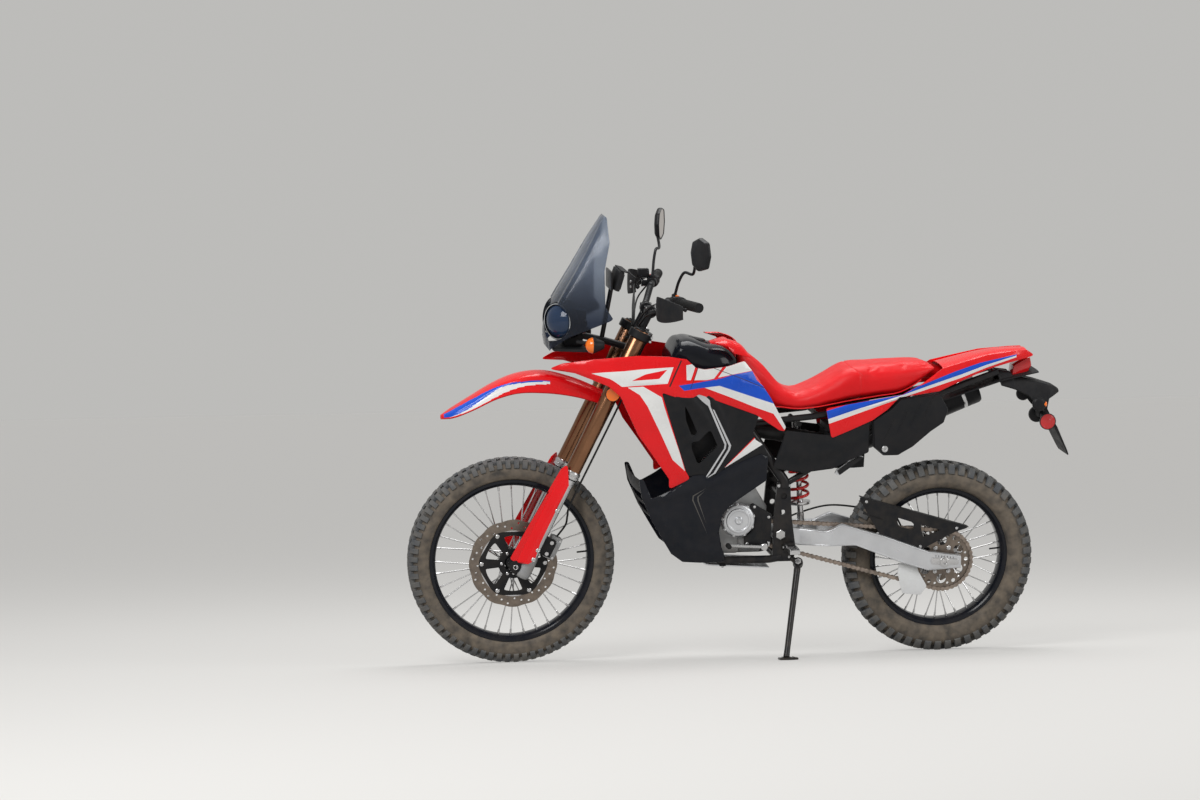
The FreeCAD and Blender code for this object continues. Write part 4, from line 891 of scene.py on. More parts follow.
@dataclass
class Wheel:
    """A spoked wheel: knobbed tyre, rim, hub with laced spokes, and drilled disc."""

    name: str
    body: Body
    axle: Points
    tyre_radius: float
    tyre_half: float
    rim_radius: float
    rim_half: float
    rows: tuple[tuple[float, float, float, float, float, float, int], ...]
    hub_barrel: float
    flange_radius: float
    flange_y: float
    end_y: float
    bore: float
    spoke_y: float
    disc_y: float
    disc_radius: float
    disc_inner: float
    carrier_radius: float
    lobes: int
    knob_height: float = 10.0
    spokes: int = 36
    spoke_radius: float = 2.2
    spoke_lean: float = 0.62
    flange_height: float = 10.0
    rim_depth: float = 12.0

    def build(self) -> None:
        """Makes all the wheel's pieces."""
        self.tyre()
        self.rim()
        self.hub()
        self.disc()

    def carcass(self) -> Points:
        """The tyre's closed section: an elliptic crown, flanks drawn in to the beads, and a flat inside.

        Returns:
            Rows of (radius, distance across).
        """
        half = self.tyre_half - 4
        crown = self.tyre_radius - self.knob_height
        bead = self.rim_radius + self.flange_height - 1
        middle = bead + 0.48 * (crown - bead)
        a = np.linspace(-90, 90, 25)
        top = np.stack([middle + (crown - middle) * np.cos(np.radians(a)) ** 0.8,
                        half * np.sin(np.radians(a))], 1)
        b = np.radians(np.linspace(8, 90, 9))
        rim_y = self.rim_half - 5
        flank = np.stack([middle - (middle - bead) * np.sin(b), rim_y + (half - rim_y) * np.cos(b) ** 0.8], 1)
        flank[2:6, 1] += (0.8, 0.0, 0.4, 0.8)
        seat = np.array([[self.rim_radius + 0.6, rim_y - 1.0]])
        right = np.vstack([flank, seat])
        return np.vstack([top, right, right[::-1] * [1, -1]])

    def knobs(self, bag: MeshBag) -> None:
        """The tread: tapered blocks by rows of (y, drop, width, length, lean, phase, count)."""
        base = np.array([[-1, -1], [-1, 1], [1, 1], [1, -1]], float)
        for row_y, drop, width, length, lean_deg, phase, count in self.rows:
            tip = self.tyre_radius - drop
            taper = np.concatenate([base * 1.12, base, base * 0.86])
            rise = np.repeat([-self.knob_height - 5, -1.2, 0.0], 4)
            block = np.stack([rise, taper[:, 0] * width / 2, taper[:, 1] * length / 2], 1)
            faces = [[3, 2, 1, 0], [8, 9, 10, 11]]
            for low in (0, 4):
                faces += [[low + k, low + (k + 1) % 4, low + 4 + (k + 1) % 4, low + 4 + k] for k in range(4)]
            for sign in (-1, 1) if row_y else (1,):
                angles = 2 * np.pi * (np.arange(count) + phase) / count
                frames = turned_frames(angles)
                lean = math.radians(lean_deg) * sign
                out = frames[:, 0] * math.cos(lean) + frames[:, 1] * math.sin(lean)
                side = -frames[:, 0] * math.sin(lean) + frames[:, 1] * math.cos(lean)
                places = self.axle + frames[:, 0] * tip + frames[:, 1] * row_y * sign
                bag.copies(block, np.array(faces), TREAD, np.stack([out, side, frames[:, 2]], 1), places)

    def tyre(self) -> None:
        """The tyre, its flanks dusty."""
        bag = MeshBag()
        bag.lathe(self.carcass(), RUBBER, self.axle, steps=144, closed=True)
        self.knobs(bag)
        bag.build(f"{self.name}_knobbed_tyre", self.body, (f"{self.name}_tyre",), "tyre_rubber")

    def rim(self) -> None:
        """The rim's section carried round, with its spoke nipples."""
        seat, half, deep = self.rim_radius, self.rim_half, self.rim_radius - self.rim_depth
        right = np.array([(deep, half - 13), (deep + 2, half - 8), (seat - 4, half - 3.5),
                          (seat - 1, half - 0.8), (seat + 4, half - 0.2),
                          (seat + self.flange_height - 1.5, half), (seat + self.flange_height, half - 1.2),
                          (seat + self.flange_height - 0.6, half - 3), (seat + 2, half - 4),
                          (seat - 1, half - 5), (deep + 5, half - 14)])
        left = right[::-1] * [1, -1]
        bag = MeshBag()
        bag.lathe(np.vstack([left[1:], right[:-1], [(deep + 5, half - 14)], [(deep + 5, -half + 14)]]),
                  GLOSS_BLACK, self.axle, steps=144, closed=True)
        start, end = self.spoke_ends()
        run = unit(end - start)
        for path in np.stack([end - run * 16, end - run * 14, end + run * 3], 1):
            bag.pipe(path, (2.2, 3.4, 3.6), STEEL, 6)
        outward = turned_frames(np.array([math.pi / self.spokes]))[0, 0]
        valve = self.axle + outward * (deep + 2)
        bag.pipe([valve, valve - outward * 34], 3.0, SATIN_BLACK, 8)
        bag.build(f"{self.name}_spoked_rim", self.body, (f"{self.name}_rim",), "black_alloy")

    def spoke_ends(self) -> tuple[Points, Points]:
        """Both ends of every spoke, laced as the frame's hub has them.

        Returns:
            The places at the flanges and those at the rim.
        """
        i = np.arange(self.spokes)
        side = np.where(i % 2, 1, -1)
        lean = np.where(i % 4 < 2, self.spoke_lean, -self.spoke_lean)
        angle = 2 * np.pi * i / self.spokes
        depth = self.flange_y + np.where(lean > 0, 3, -3)
        inner, outer = self.flange_radius - 5, self.rim_radius - self.rim_depth - 0.3
        start = np.stack([inner * np.cos(angle - lean), side * depth, inner * np.sin(angle - lean)], 1)
        end = np.stack([outer * np.cos(angle), side * self.spoke_y, outer * np.sin(angle)], 1)
        return self.axle + start, self.axle + end

    def hub(self) -> None:
        """The hub's turned body and the spokes with their bent heads."""
        flange, wide = self.flange_radius, self.flange_y
        right = np.array([(self.hub_barrel, 0), (self.hub_barrel, wide - 16), (self.hub_barrel + 4, wide - 9),
                          (flange - 5, wide - 5.5), (flange, wide - 4), (flange + 0.8, wide),
                          (flange, wide + 4), (flange - 6, wide + 5), (self.bore + 14, wide + 7),
                          (self.bore + 12, self.end_y - 2), (self.bore + 10.5, self.end_y),
                          (self.bore, self.end_y)])
        bag = MeshBag()
        bag.lathe(np.vstack([right[:0:-1] * [1, -1], right]), SATIN_BLACK, self.axle, steps=64, closed=True)
        start, end = self.spoke_ends()
        for one, two in zip(start, end):
            bag.pipe([one, two], self.spoke_radius, STEEL, 8)
        heads = np.repeat(start[:, None], 2, 1) + np.array([[0, -7, 0], [0, 7, 0]])
        for path in heads:
            bag.pipe(path, 3.2, STEEL, 8, Z_AXIS)
        bag.build(f"{self.name}_laced_hub", self.body, (f"{self.name}_hub",), "silver_alloy")

    def disc(self) -> None:
        """The brake disc: a waved, drilled band on a dark carrier with windows and buttons."""
        bag = MeshBag()
        a = full_turn(24 * self.lobes)
        reach = self.disc_radius - 3.2 * (0.5 - 0.5 * np.cos(self.lobes * a)) ** 1.5
        centre = self.axle[[0, 2]]
        outline = centre + polar(reach, a)
        dip = self.disc_inner - 4 + 3.0 * np.cos(6 * a[::2])
        holes = [centre + polar(dip, a[::2])]
        band = self.disc_radius - self.disc_inner
        for i in range(self.lobes * 3):
            angle = 2 * math.pi * (i + 0.25) / (self.lobes * 3)
            r = self.disc_inner + band * (0.28, 0.5, 0.72)[i % 3]
            holes.append(circle(centre[0] + r * math.cos(angle), centre[1] + r * math.sin(angle), 3.6, 10))
        bag.plate(outline, self.disc_y - 2, self.disc_y + 2, DISC, holes, 40)
        bag.lathe(drum(self.disc_inner - 1.5, self.disc_inner + 3.5, -2.3, 2.3), STEEL,
                  self.axle + Y_AXIS * self.disc_y, Y_AXIS, 96, closed=True)
        arms = full_turn(120)
        edge = self.disc_inner + 3 + 4.0 * np.cos(6 * arms)
        windows = [circle(centre[0], centre[1], self.carrier_radius, 32)]
        for i in range(6):
            middle, swing = math.pi * (i + 0.5) / 3, 0.34
            t = np.linspace(-swing, swing, 7)
            inner, outer = self.carrier_radius + 20, self.disc_inner - 14
            arc = np.concatenate([polar(outer, middle + t), polar(inner, middle - t * 0.8)])
            windows.append(centre + rounded(arc, 5, 2))
        carrier = centre + polar(edge, arms)
        bag.plate(carrier, self.disc_y - 3.4, self.disc_y + 1.6, SATIN_BLACK, windows, 40)
        sign = math.copysign(1, self.disc_y)
        for ring, size in ((self.disc_inner - 2, 7.0), (self.carrier_radius + 9, 5.0)):
            for angle in 2 * np.pi * np.arange(6) / 6:
                place = self.axle + wheel_place(ring, angle, self.disc_y)
                bag.lathe([(0, -4), (size, -4), (size, 4.2), (size - 1.5, 5.2), (size * 0.45, 5.2),
                           (size * 0.4, 3.6), (0, 3.6)], STEEL, place, Y_AXIS * sign, 16)
        bag.build(f"{self.name}_drilled_disc", self.body, (f"{self.name}_disc",), "bright_steel", 0.4)


FRONT_WHEEL = Wheel(
    "front", Body.FRONT_WHEEL, FRONT_AXLE, tyre_radius=347.0, tyre_half=40.0, rim_radius=266.7, rim_half=27.0,
    rows=((8.5, 0.4, 15.0, 16.0, 4, 0.0, 72), (23.0, 3.4, 13.0, 15.0, 22, 0.0, 72),
          (34.5, 15.0, 30.0, 17.0, 66, 0.5, 72)),
    hub_barrel=22, flange_radius=34, flange_y=31, end_y=57.7, bore=8.58, spoke_y=7,
    disc_y=-60, disc_radius=148, disc_inner=108, carrier_radius=30, lobes=12,
)
REAR_WHEEL = Wheel(
    "rear", Body.REAR_WHEEL, REAR_AXLE, tyre_radius=325.0, tyre_half=57.0, rim_radius=228.6, rim_half=33.0,
    rows=((0.0, 0.0, 24.0, 19.0, 0, 0.0, 54), (20.0, 1.2, 14.0, 18.0, 8, 0.0, 54),
          (37.0, 6.0, 17.0, 20.0, 26, 0.5, 54), (50.0, 18.5, 32.0, 21.0, 66, 0.5, 54)),
    hub_barrel=28, flange_radius=44, flange_y=36, end_y=65.7, bore=10.08, spoke_y=8,
    disc_y=68, disc_radius=110, disc_inner=82, carrier_radius=30, lobes=10, knob_height=12.0,
)


@dataclass
class Drive:
    """The chain with every link, and the sprockets' teeth."""

    pitch: float = 15.875
    rear_teeth: int = 40
    front_teeth: int = 14
    chain_y: float = -74.0
    drive: tuple[float, float] = (815.0, 440.0)
    plate_high: float = 7.0
    plate_thick: float = 1.7

    def radius(self, teeth: int) -> float:
        """The pitch circle's radius for a number of teeth."""
        return self.pitch / (2 * math.sin(math.pi / teeth))

    def pitch_line(self) -> Points:
        """The loop that the pins lie on: two straight runs joined by an arc round each sprocket.

        Returns:
            Flat places a pitch apart.
        """
        small, big = self.radius(self.front_teeth), self.radius(self.rear_teeth)
        one, two = np.array(self.drive), REAR_AXLE[[0, 2]]
        run = two - one
        heading = math.atan2(run[1], run[0])
        splay = math.acos((small - big) / np.linalg.norm(run))
        back = np.linspace(heading + splay, heading - splay, 60)
        fore = np.linspace(heading - splay, heading + splay - 2 * math.pi, 40)
        loop = np.vstack([two + polar(big, back), one + polar(small, fore)])
        loop = np.vstack([loop, loop[:1]])
        along = np.concatenate([[0], np.cumsum(np.linalg.norm(np.diff(loop, axis=0), axis=1))])
        count = 2 * int(along[-1] / self.pitch / 2)
        stops = np.linspace(0, along[-1], count, endpoint=False)
        return np.stack([np.interp(stops, along, loop[:, k]) for k in range(2)], 1)

    def chain(self) -> None:
        """Every link: waisted side plates outside and inside by turns, rollers and riveted pins."""
        pins = self.pitch_line()
        ahead = np.roll(pins, -1, 0) - pins
        run = unit(standing(ahead, 0.0))
        middle = standing(pins + ahead / 2, self.chain_y)
        frames = np.stack([run, np.tile(Y_AXIS, (len(pins), 1)), np.cross(run, Y_AXIS)], 1)
        a = np.linspace(-2.2, 2.2, 6)
        end = np.stack([self.pitch / 2 + self.plate_high * np.cos(a * 0.75),
                        self.plate_high * np.sin(a * 0.75)], 1)
        waist = np.array([[0, 0.62 * self.plate_high]])
        half = np.vstack([end, waist])
        plate = np.vstack([half, -half])
        bag = MeshBag()
        for low, chosen in ((6.7, slice(0, None, 2)), (4.5, slice(1, None, 2))):
            for sign in (-1, 1):
                face = standing(plate, sign * low)
                outer = face + xyz(0, sign * self.plate_thick, 0)
                self.drums(bag, np.vstack([face, outer]), frames[chosen], middle[chosen])
        a = full_turn(10)
        for radius, reach in ((5.0, 4.4), (2.6, 8.45)):
            rings = [standing(polar(radius, a), y) for y in (-reach, reach)]
            self.drums(bag, np.vstack(rings), frames, standing(pins, self.chain_y))
        bag.build("roller_chain", Body.ROOT, ("chain",), "bright_steel")

    @staticmethod
    def drums(bag: MeshBag, rings: Points, frames: Points, places: Points) -> None:
        """Adds copies of a closed drum.

        Args:
            bag: Where they go.
            rings: The drum's two rings, one after the other.
            frames: One turn per copy.
            places: One place per copy.
        """
        count = len(rings) // 2
        ring = np.arange(count)
        walls = np.stack([ring, (ring + 1) % count, (ring + 1) % count + count, ring + count], 1)
        for faces in (walls, [ring.tolist()], [(ring[::-1] + count).tolist()]):
            bag.copies(rings, faces, CHAIN_STEEL, frames, places)

    def teeth(self, centre: Points, teeth: int) -> Points:
        """A sprocket's outline: a rounded valley at each roller and a short tooth between.

        Args:
            centre: The sprocket's middle in the side view.
            teeth: How many teeth.

        Returns:
            The outline's places.
        """
        steps = np.array([0.0, 0.16, 0.3, 0.42, 0.5, 0.58, 0.7, 0.84])
        rise = np.array([-4.6, -3.6, -0.8, 3.2, 4.2, 3.2, -0.8, -3.6])
        angle = 2 * np.pi * (np.arange(teeth)[:, None] + steps).ravel() / teeth
        reach = self.radius(teeth) + np.tile(rise, teeth)
        return centre + polar(reach, angle)

    def rear_sprocket(self) -> None:
        """The rear sprocket with its lightening holes, bolts and spacer."""
        centre = REAR_AXLE[[0, 2]]
        holes = [circle(*centre, 14.0, 32)]
        for i in range(6):
            for r, turn, size in ((66, 0.5, 17.0), (84, 0.0, 7.0), (84, 0.25, 4.5), (84, 0.75, 4.5)):
                angle = 2 * math.pi * (i + turn) / 6
                spot = wheel_place(r, angle)
                holes.append(circle(centre[0] + spot[0], centre[1] + spot[2], size, 20))
        bag = MeshBag()
        bag.plate(self.teeth(centre, self.rear_teeth), self.chain_y - 3, self.chain_y + 3, DISC, holes, 30)
        for i in range(6):
            angle = 2 * math.pi * i / 6
            place = REAR_AXLE + wheel_place(46, angle, self.chain_y)
            bag.lathe([(0, 0), (8, 0), (8, 6.5), (6.5, 7.5), (4.6, 7.5), (4.6, 10), (3.8, 11), (0, 11)],
                      STEEL, place, -Y_AXIS, 6)
        bag.lathe(drum(14, 32, 3, 8.2), SATIN_BLACK, REAR_AXLE + Y_AXIS * self.chain_y, steps=48, closed=True)
        bag.build("rear_toothed_sprocket", Body.REAR_WHEEL, ("rear_sprocket",), "silver_alloy", 0.5)

    def build(self) -> None:
        """Makes the chain and its rear sprocket."""
        self.chain()
        self.rear_sprocket()


BODY_LEVELS = np.array([280, 560, 800, 930, 1040, 1140], float)
BODY_X = np.array([90, 250, 400, 560, 700, 820, 930, 1100, 1300, 1450, 1600, 1780], float)
BODY_WIDTHS = np.array([
    (70, 80, 85, 95, 98, 90), (90, 120, 140, 158, 155, 140), (110, 150, 172, 182, 172, 150),
    (112, 160, 180, 186, 170, 135), (108, 148, 162, 160, 140, 105), (105, 126, 136, 134, 115, 90),
    (102, 116, 124, 120, 108, 85), (100, 112, 120, 122, 118, 90), (90, 104, 112, 116, 112, 85),
    (70, 85, 92, 96, 92, 70), (50, 62, 70, 74, 70, 55), (28, 36, 42, 46, 42, 30),
], float)


def body_width(flat: Points) -> Points:
    """The body's half width at side-view places: the table read smoothly along x, then along z.

    Args:
        flat: Rows of (x, z).

    Returns:
        One half width per row.
    """
    rows = smooth_rows(BODY_X, BODY_WIDTHS, flat[:, 0])
    z = np.clip(flat[:, 1], BODY_LEVELS[0], BODY_LEVELS[-1])
    i = np.clip(np.searchsorted(BODY_LEVELS, z) - 1, 0, len(BODY_LEVELS) - 2)
    slope = np.gradient(rows, BODY_LEVELS, axis=1)
    pick = np.arange(len(z))
    gap = BODY_LEVELS[i + 1] - BODY_LEVELS[i]
    t = (z - BODY_LEVELS[i]) / gap
    return cubic((rows[pick, i], rows[pick, i + 1]), (slope[pick, i], slope[pick, i + 1]), gap, t)


@dataclass
class Crease:
    """A line along which a panel stands out or in: the rise fades as a bell away from the line."""

    line: tuple[tuple[float, float], ...]
    rise: float
    reach: float

    def lift(self, flat: Points) -> Points:
        """The rise at side-view places."""
        return self.rise * np.exp(-((near_line(flat, np.array(self.line, float)) / self.reach) ** 2))


@dataclass
class Panel:
    """A moulded panel of the body: an outline on the body's smooth side, with fields, holes and creases."""

    name: str
    node: str
    slot: str
    finish: Finish
    outline: tuple[tuple[float, float], ...]
    depth: float = 0.0
    thick: float = 3.5
    bend: float = 8.0
    holes: tuple[Points, ...] = ()
    fields: tuple[tuple[Points, Finish], ...] = ()
    creases: tuple[Crease, ...] = ()
    edge_roll: float = 5.0

    def place(self, flat: Points) -> tuple[Points, Points]:
        """Both faces of the right panel: the body's half width less the depth, creased, its rim rolled in.

        Args:
            flat: Side-view places.

        Returns:
            The outer and the inner face's places.
        """
        rim = rounded(np.array(self.outline, float), self.bend)
        rim = np.vstack([rim, rim[:1]])
        away = np.clip(near_line(flat, rim) / self.edge_roll, 0, 1)
        y = body_width(flat) - self.depth - 1.6 * (1 - away) ** 2
        for crease in self.creases:
            y = y + crease.lift(flat) * away
        return standing(flat, y), standing(flat, y - self.thick)

    def lay(self, bag: MeshBag) -> None:
        """Adds the right-hand panel to a bag."""
        outline = rounded(np.array(self.outline, float), self.bend)
        bag.sheet(outline, self.place, self.finish, list(self.holes), list(self.fields), spacing=9.0)


SHROUD = (
    (108, 1006), (153, 1026), (253, 1043), (400, 1055), (500, 1050), (560, 1040), (590, 1012), (620, 1005),
    (700, 1010), (760, 1025), (800, 975), (850, 900), (903, 800), (900, 785), (880, 790), (800, 845),
    (700, 885), (600, 925), (560, 905), (500, 925), (474, 935), (500, 850), (560, 665), (575, 640),
    (505, 605), (505, 640), (450, 720), (400, 790), (340, 920), (300, 955), (250, 975), (193, 996),
)
FAIRING = (
    (470, 938), (560, 925), (600, 937), (700, 897), (800, 857), (812, 845), (790, 780), (800, 760),
    (830, 740), (845, 692), (820, 704), (700, 664), (640, 629), (620, 644), (575, 648), (530, 660),
    (500, 740),
)
FAIRING_VENT = ((640, 806), (668, 746), (601, 686), (580, 738), (576, 765), (601, 768))
FAIRING_SLOT = ((551, 893), (570, 856), (596, 798), (588, 786), (576, 790), (557, 838))
FAIRING_SCOOP = (
    (530, 912), (570, 908), (606, 868), (638, 818), (636, 790), (604, 770), (572, 770), (562, 784),
    (534, 886),
)
COWL = (
    (405, 640), (415, 580), (450, 500), (490, 430), (520, 380), (560, 350), (620, 345), (705, 345),
    (700, 375), (690, 400), (680, 450), (690, 510), (720, 545), (800, 595), (840, 620), (845, 700),
    (820, 712), (700, 672), (640, 637), (620, 652), (585, 650), (508, 600), (450, 571), (420, 640),
)
SIDE_COVER = (
    (862, 660), (960, 640), (1068, 652), (1128, 680), (1190, 705), (1190, 818), (1130, 793), (1060, 765),
    (905, 786),
)
TAIL_COVER = (
    (1040, 858), (1165, 878), (1300, 898), (1370, 933), (1440, 981), (1500, 996), (1600, 1020), (1700, 1030),
    (1740, 1032), (1770, 1012), (1700, 996), (1600, 972), (1500, 934), (1430, 905), (1350, 896), (1290, 890),
    (1250, 850), (1200, 815), (1130, 785), (1060, 757),
)


@dataclass
class Bodywork:
    """The red, black and striped panels of both sides, and what closes the gaps between them."""

    def panels(self) -> list[Panel]:
        """The panels, each with its stripes and creases.

        Returns:
            The panels.
        """
        return [self.shroud(), self.fairing(), self.cowl(), self.side_cover(), self.tail_cover()]

    @staticmethod
    def shroud() -> Panel:
        """The red shroud with its white and blue fields, thin bands and seams."""
        leg_stripe = drawn((362, 952), (413, 955), (474, 919), (483, 887), (507, 817), (538, 729), (557, 667),
                           (514, 707), (472, 798), (427, 890), (402, 927))
        blue_field = drawn((530, 957), (678, 974), (717, 983), (787, 991), (802, 960), (900, 870), (905, 800),
                           (860, 880), (794, 904), (670, 950), (611, 946), (549, 939))
        white_under = drawn((612, 949), (670, 950), (794, 904), (860, 880), (905, 800), (898, 790),
                            (860, 846), (798, 870), (705, 911))
        front_white = drawn((244, 998), (282, 1002), (351, 1006), (406, 1011), (514, 1017), (493, 964),
                            (344, 954), (316, 974), (303, 981))
        rear_white = drawn((557, 1022), (761, 1046), (790, 993), (717, 984), (627, 971), (557, 974))
        red_wedge = drawn((375, 974), (420, 995), (493, 1009), (465, 980))
        whites = [(outline, WHITE) for outline in (leg_stripe, front_white, rear_white, white_under)]
        bands = (
            (strip(11, (575, 968), (588, 1000), (598, 1027)), RED),
            (strip(9, (655, 972), (690, 1010), (712, 1040)), RED),
            (strip(5, (500, 954), (520, 996), (541, 1038)), SEAM),
            (strip(2, (570, 946), (587, 986), (603, 1027)), SEAM),
            (strip(2, (606, 1026), (735, 975), (868, 916)), SEAM),
        )
        creases = (
            Crease(((150, 1008), (300, 1000), (470, 960), (600, 965), (760, 960)), 3.5, 22),
            Crease(((430, 900), (540, 660)), 2.5, 18),
        )
        return Panel("side_shroud", "shrouds", "red_plastic", RED, SHROUD, bend=10, creases=creases,
                     fields=(*whites, (blue_field, BLUE), (red_wedge, RED), *bands))

    @staticmethod
    def fairing() -> Panel:
        """The black fairing with its vents, its hooked pale lines and the striped corner."""
        inner_hook = drawn((583, 929), (621, 918), (637, 903), (640, 882), (697, 754), (695, 738), (643, 656),
                           (621, 631), (636, 656), (689, 738), (691, 751), (632, 884), (612, 900))
        outer_hook = drawn((647, 873), (653, 870), (713, 748), (709, 732), (661, 656), (621, 631), (654, 657),
                           (702, 734), (705, 747))
        red_corner = drawn((690, 671), (797, 770), (805, 762))
        white_corner = drawn((692, 671), (797, 765), (824, 743))
        creases = (
            Crease(((632, 925), (676, 850), (712, 748), (650, 640)), 5, 12),
            Crease((*FAIRING_SCOOP, FAIRING_SCOOP[0]), 6, 12),
            Crease(((800, 770), (730, 740), (735, 880)), -3, 12),
        )
        return Panel("side_fairing", "side_fairings", "black_plastic", SATIN_BLACK, FAIRING, 4.3,
                     holes=(rounded(FAIRING_VENT, 10), rounded(FAIRING_SLOT, 5)), creases=creases,
                     fields=((inner_hook, SILVER), (outer_hook, SILVER), (red_corner, RED),
                             (white_corner, WHITE)))

    @staticmethod
    def cowl() -> Panel:
        """The gloss black cowl beside the down tube, with two faint hooked lines."""
        long_line = drawn((632, 608), (585, 582), (584, 566), (642, 440), (588, 567), (589, 580))
        short_line = drawn((626, 597), (601, 578), (602, 563), (634, 484), (606, 564), (605, 577))
        creases = (
            Crease(((440, 570), (600, 610), (700, 640), (830, 680)), 4, 20),
            Crease(((470, 520), (560, 400), (690, 372)), 3, 18),
        )
        return Panel("lower_cowl", "lower_cowls", "black_plastic", GLOSS_BLACK, COWL, bend=12,
                     creases=creases, fields=((long_line, COWL_LINE), (short_line, COWL_LINE)))

    @staticmethod
    def side_cover() -> Panel:
        """The plain black cover under the seat."""
        crease = Crease(((880, 720), (1000, 700), (1180, 760)), 4, 22)
        return Panel("side_cover", "side_covers", "black_plastic", SATIN_BLACK, SIDE_COVER, 4.3, bend=10,
                     creases=(crease,))

    @staticmethod
    def tail_cover() -> Panel:
        """The red tail cover with a blue and a white stripe along its foot."""
        blue = drawn((1035, 848), (1089, 864), (1173, 885), (1297, 907), (1370, 930), (1482, 970),
                     (1572, 996), (1704, 1019), (1702, 1015), (1595, 988), (1505, 959), (1392, 926),
                     (1302, 898), (1145, 854), (1035, 818))
        white = drawn((1035, 818), (1145, 854), (1302, 898), (1392, 926), (1505, 959), (1595, 988),
                      (1702, 1015), (1702, 1009), (1595, 978), (1505, 947), (1381, 912), (1314, 893),
                      (1145, 838), (1035, 801))
        crease = Crease(((1060, 850), (1250, 885), (1400, 945), (1700, 1016)), 3, 14)
        return Panel("tail_cover", "tail_covers", "red_plastic", RED, TAIL_COVER, creases=(crease,),
                     fields=((blue, BLUE), (white, WHITE)))

    def build(self) -> None:
        """Makes each pair of panels, some with a piece that closes a gap."""
        closers = {"tail_cover": self.deck, "side_fairing": self.shaded_vent_wall, "lower_cowl": self.lip}
        for panel in self.panels():
            bag = MeshBag()
            panel.lay(bag)
            if panel.name in closers:
                closers[panel.name](bag)
            bag.mirror()
            bag.build(panel.name + "_pair", Body.ROOT, (panel.node,), panel.slot, 1.0)

    def deck(self, bag: MeshBag) -> None:
        """The right half of the tail's top: an arch from the middle out to the cover's upper edge."""
        x = np.linspace(1446, 1742, 40)
        top = smooth_rows([1446, 1500, 1600, 1700, 1745], [982, 996, 1020, 1030, 1030], x)
        half = body_width(np.stack([x, top], 1)) - 1.2
        s = np.linspace(0, 1, 12)
        y = 0.2 + (half[:, None] - 0.2) * s
        z = top[:, None] + 3.6 - 13 * s**3
        outer = spread(x[:, None], y, z)
        bag.shell(outer, outer - Z_AXIS * 3, RED)

    def lip(self, bag: MeshBag) -> None:
        """The right half of the cowl's bowed front lip, with the two bars under it that guard the duct; in
        black they also fill the shaded gap between the cowls as painted shade.
        """
        # Painted shade: these black pieces fill the shaded gap between the fronts of the two cowls.
        for low, high, out in ((588, 634, 12), (548, 556, 8), (508, 516, 8)):
            z = np.linspace(low, high, 7)
            x = np.interp(z, (500, 571, 640), (452, 421, 409))
            half = body_width(np.stack([x, z], 1)) - 1.5
            s = np.linspace(0, 1, 20)
            y = 0.1 + (half[:, None] - 0.1) * s
            ahead = x[:, None] + 2 - out * (1 - s**2) - 3 * np.sin(np.pi * (z[:, None] - low) / (high - low))
            outer = spread(ahead, y, z[:, None])[::-1]
            bag.shell(outer, outer + X_AXIS * 4, MATT_BLACK)

    def shaded_vent_wall(self, bag: MeshBag) -> None:
        """The duct behind the air outlets: a black wall inside the panel that closes the view, partly painted
        shade for the shaded inside.
        """
        # Painted shade: a black wall where the outlets would show only the shaded inside.
        wall = rounded([(520, 900), (600, 900), (690, 760), (600, 672), (560, 700), (520, 800)], 12)
        bag.plate(wall, 112, 115, MATT_BLACK)


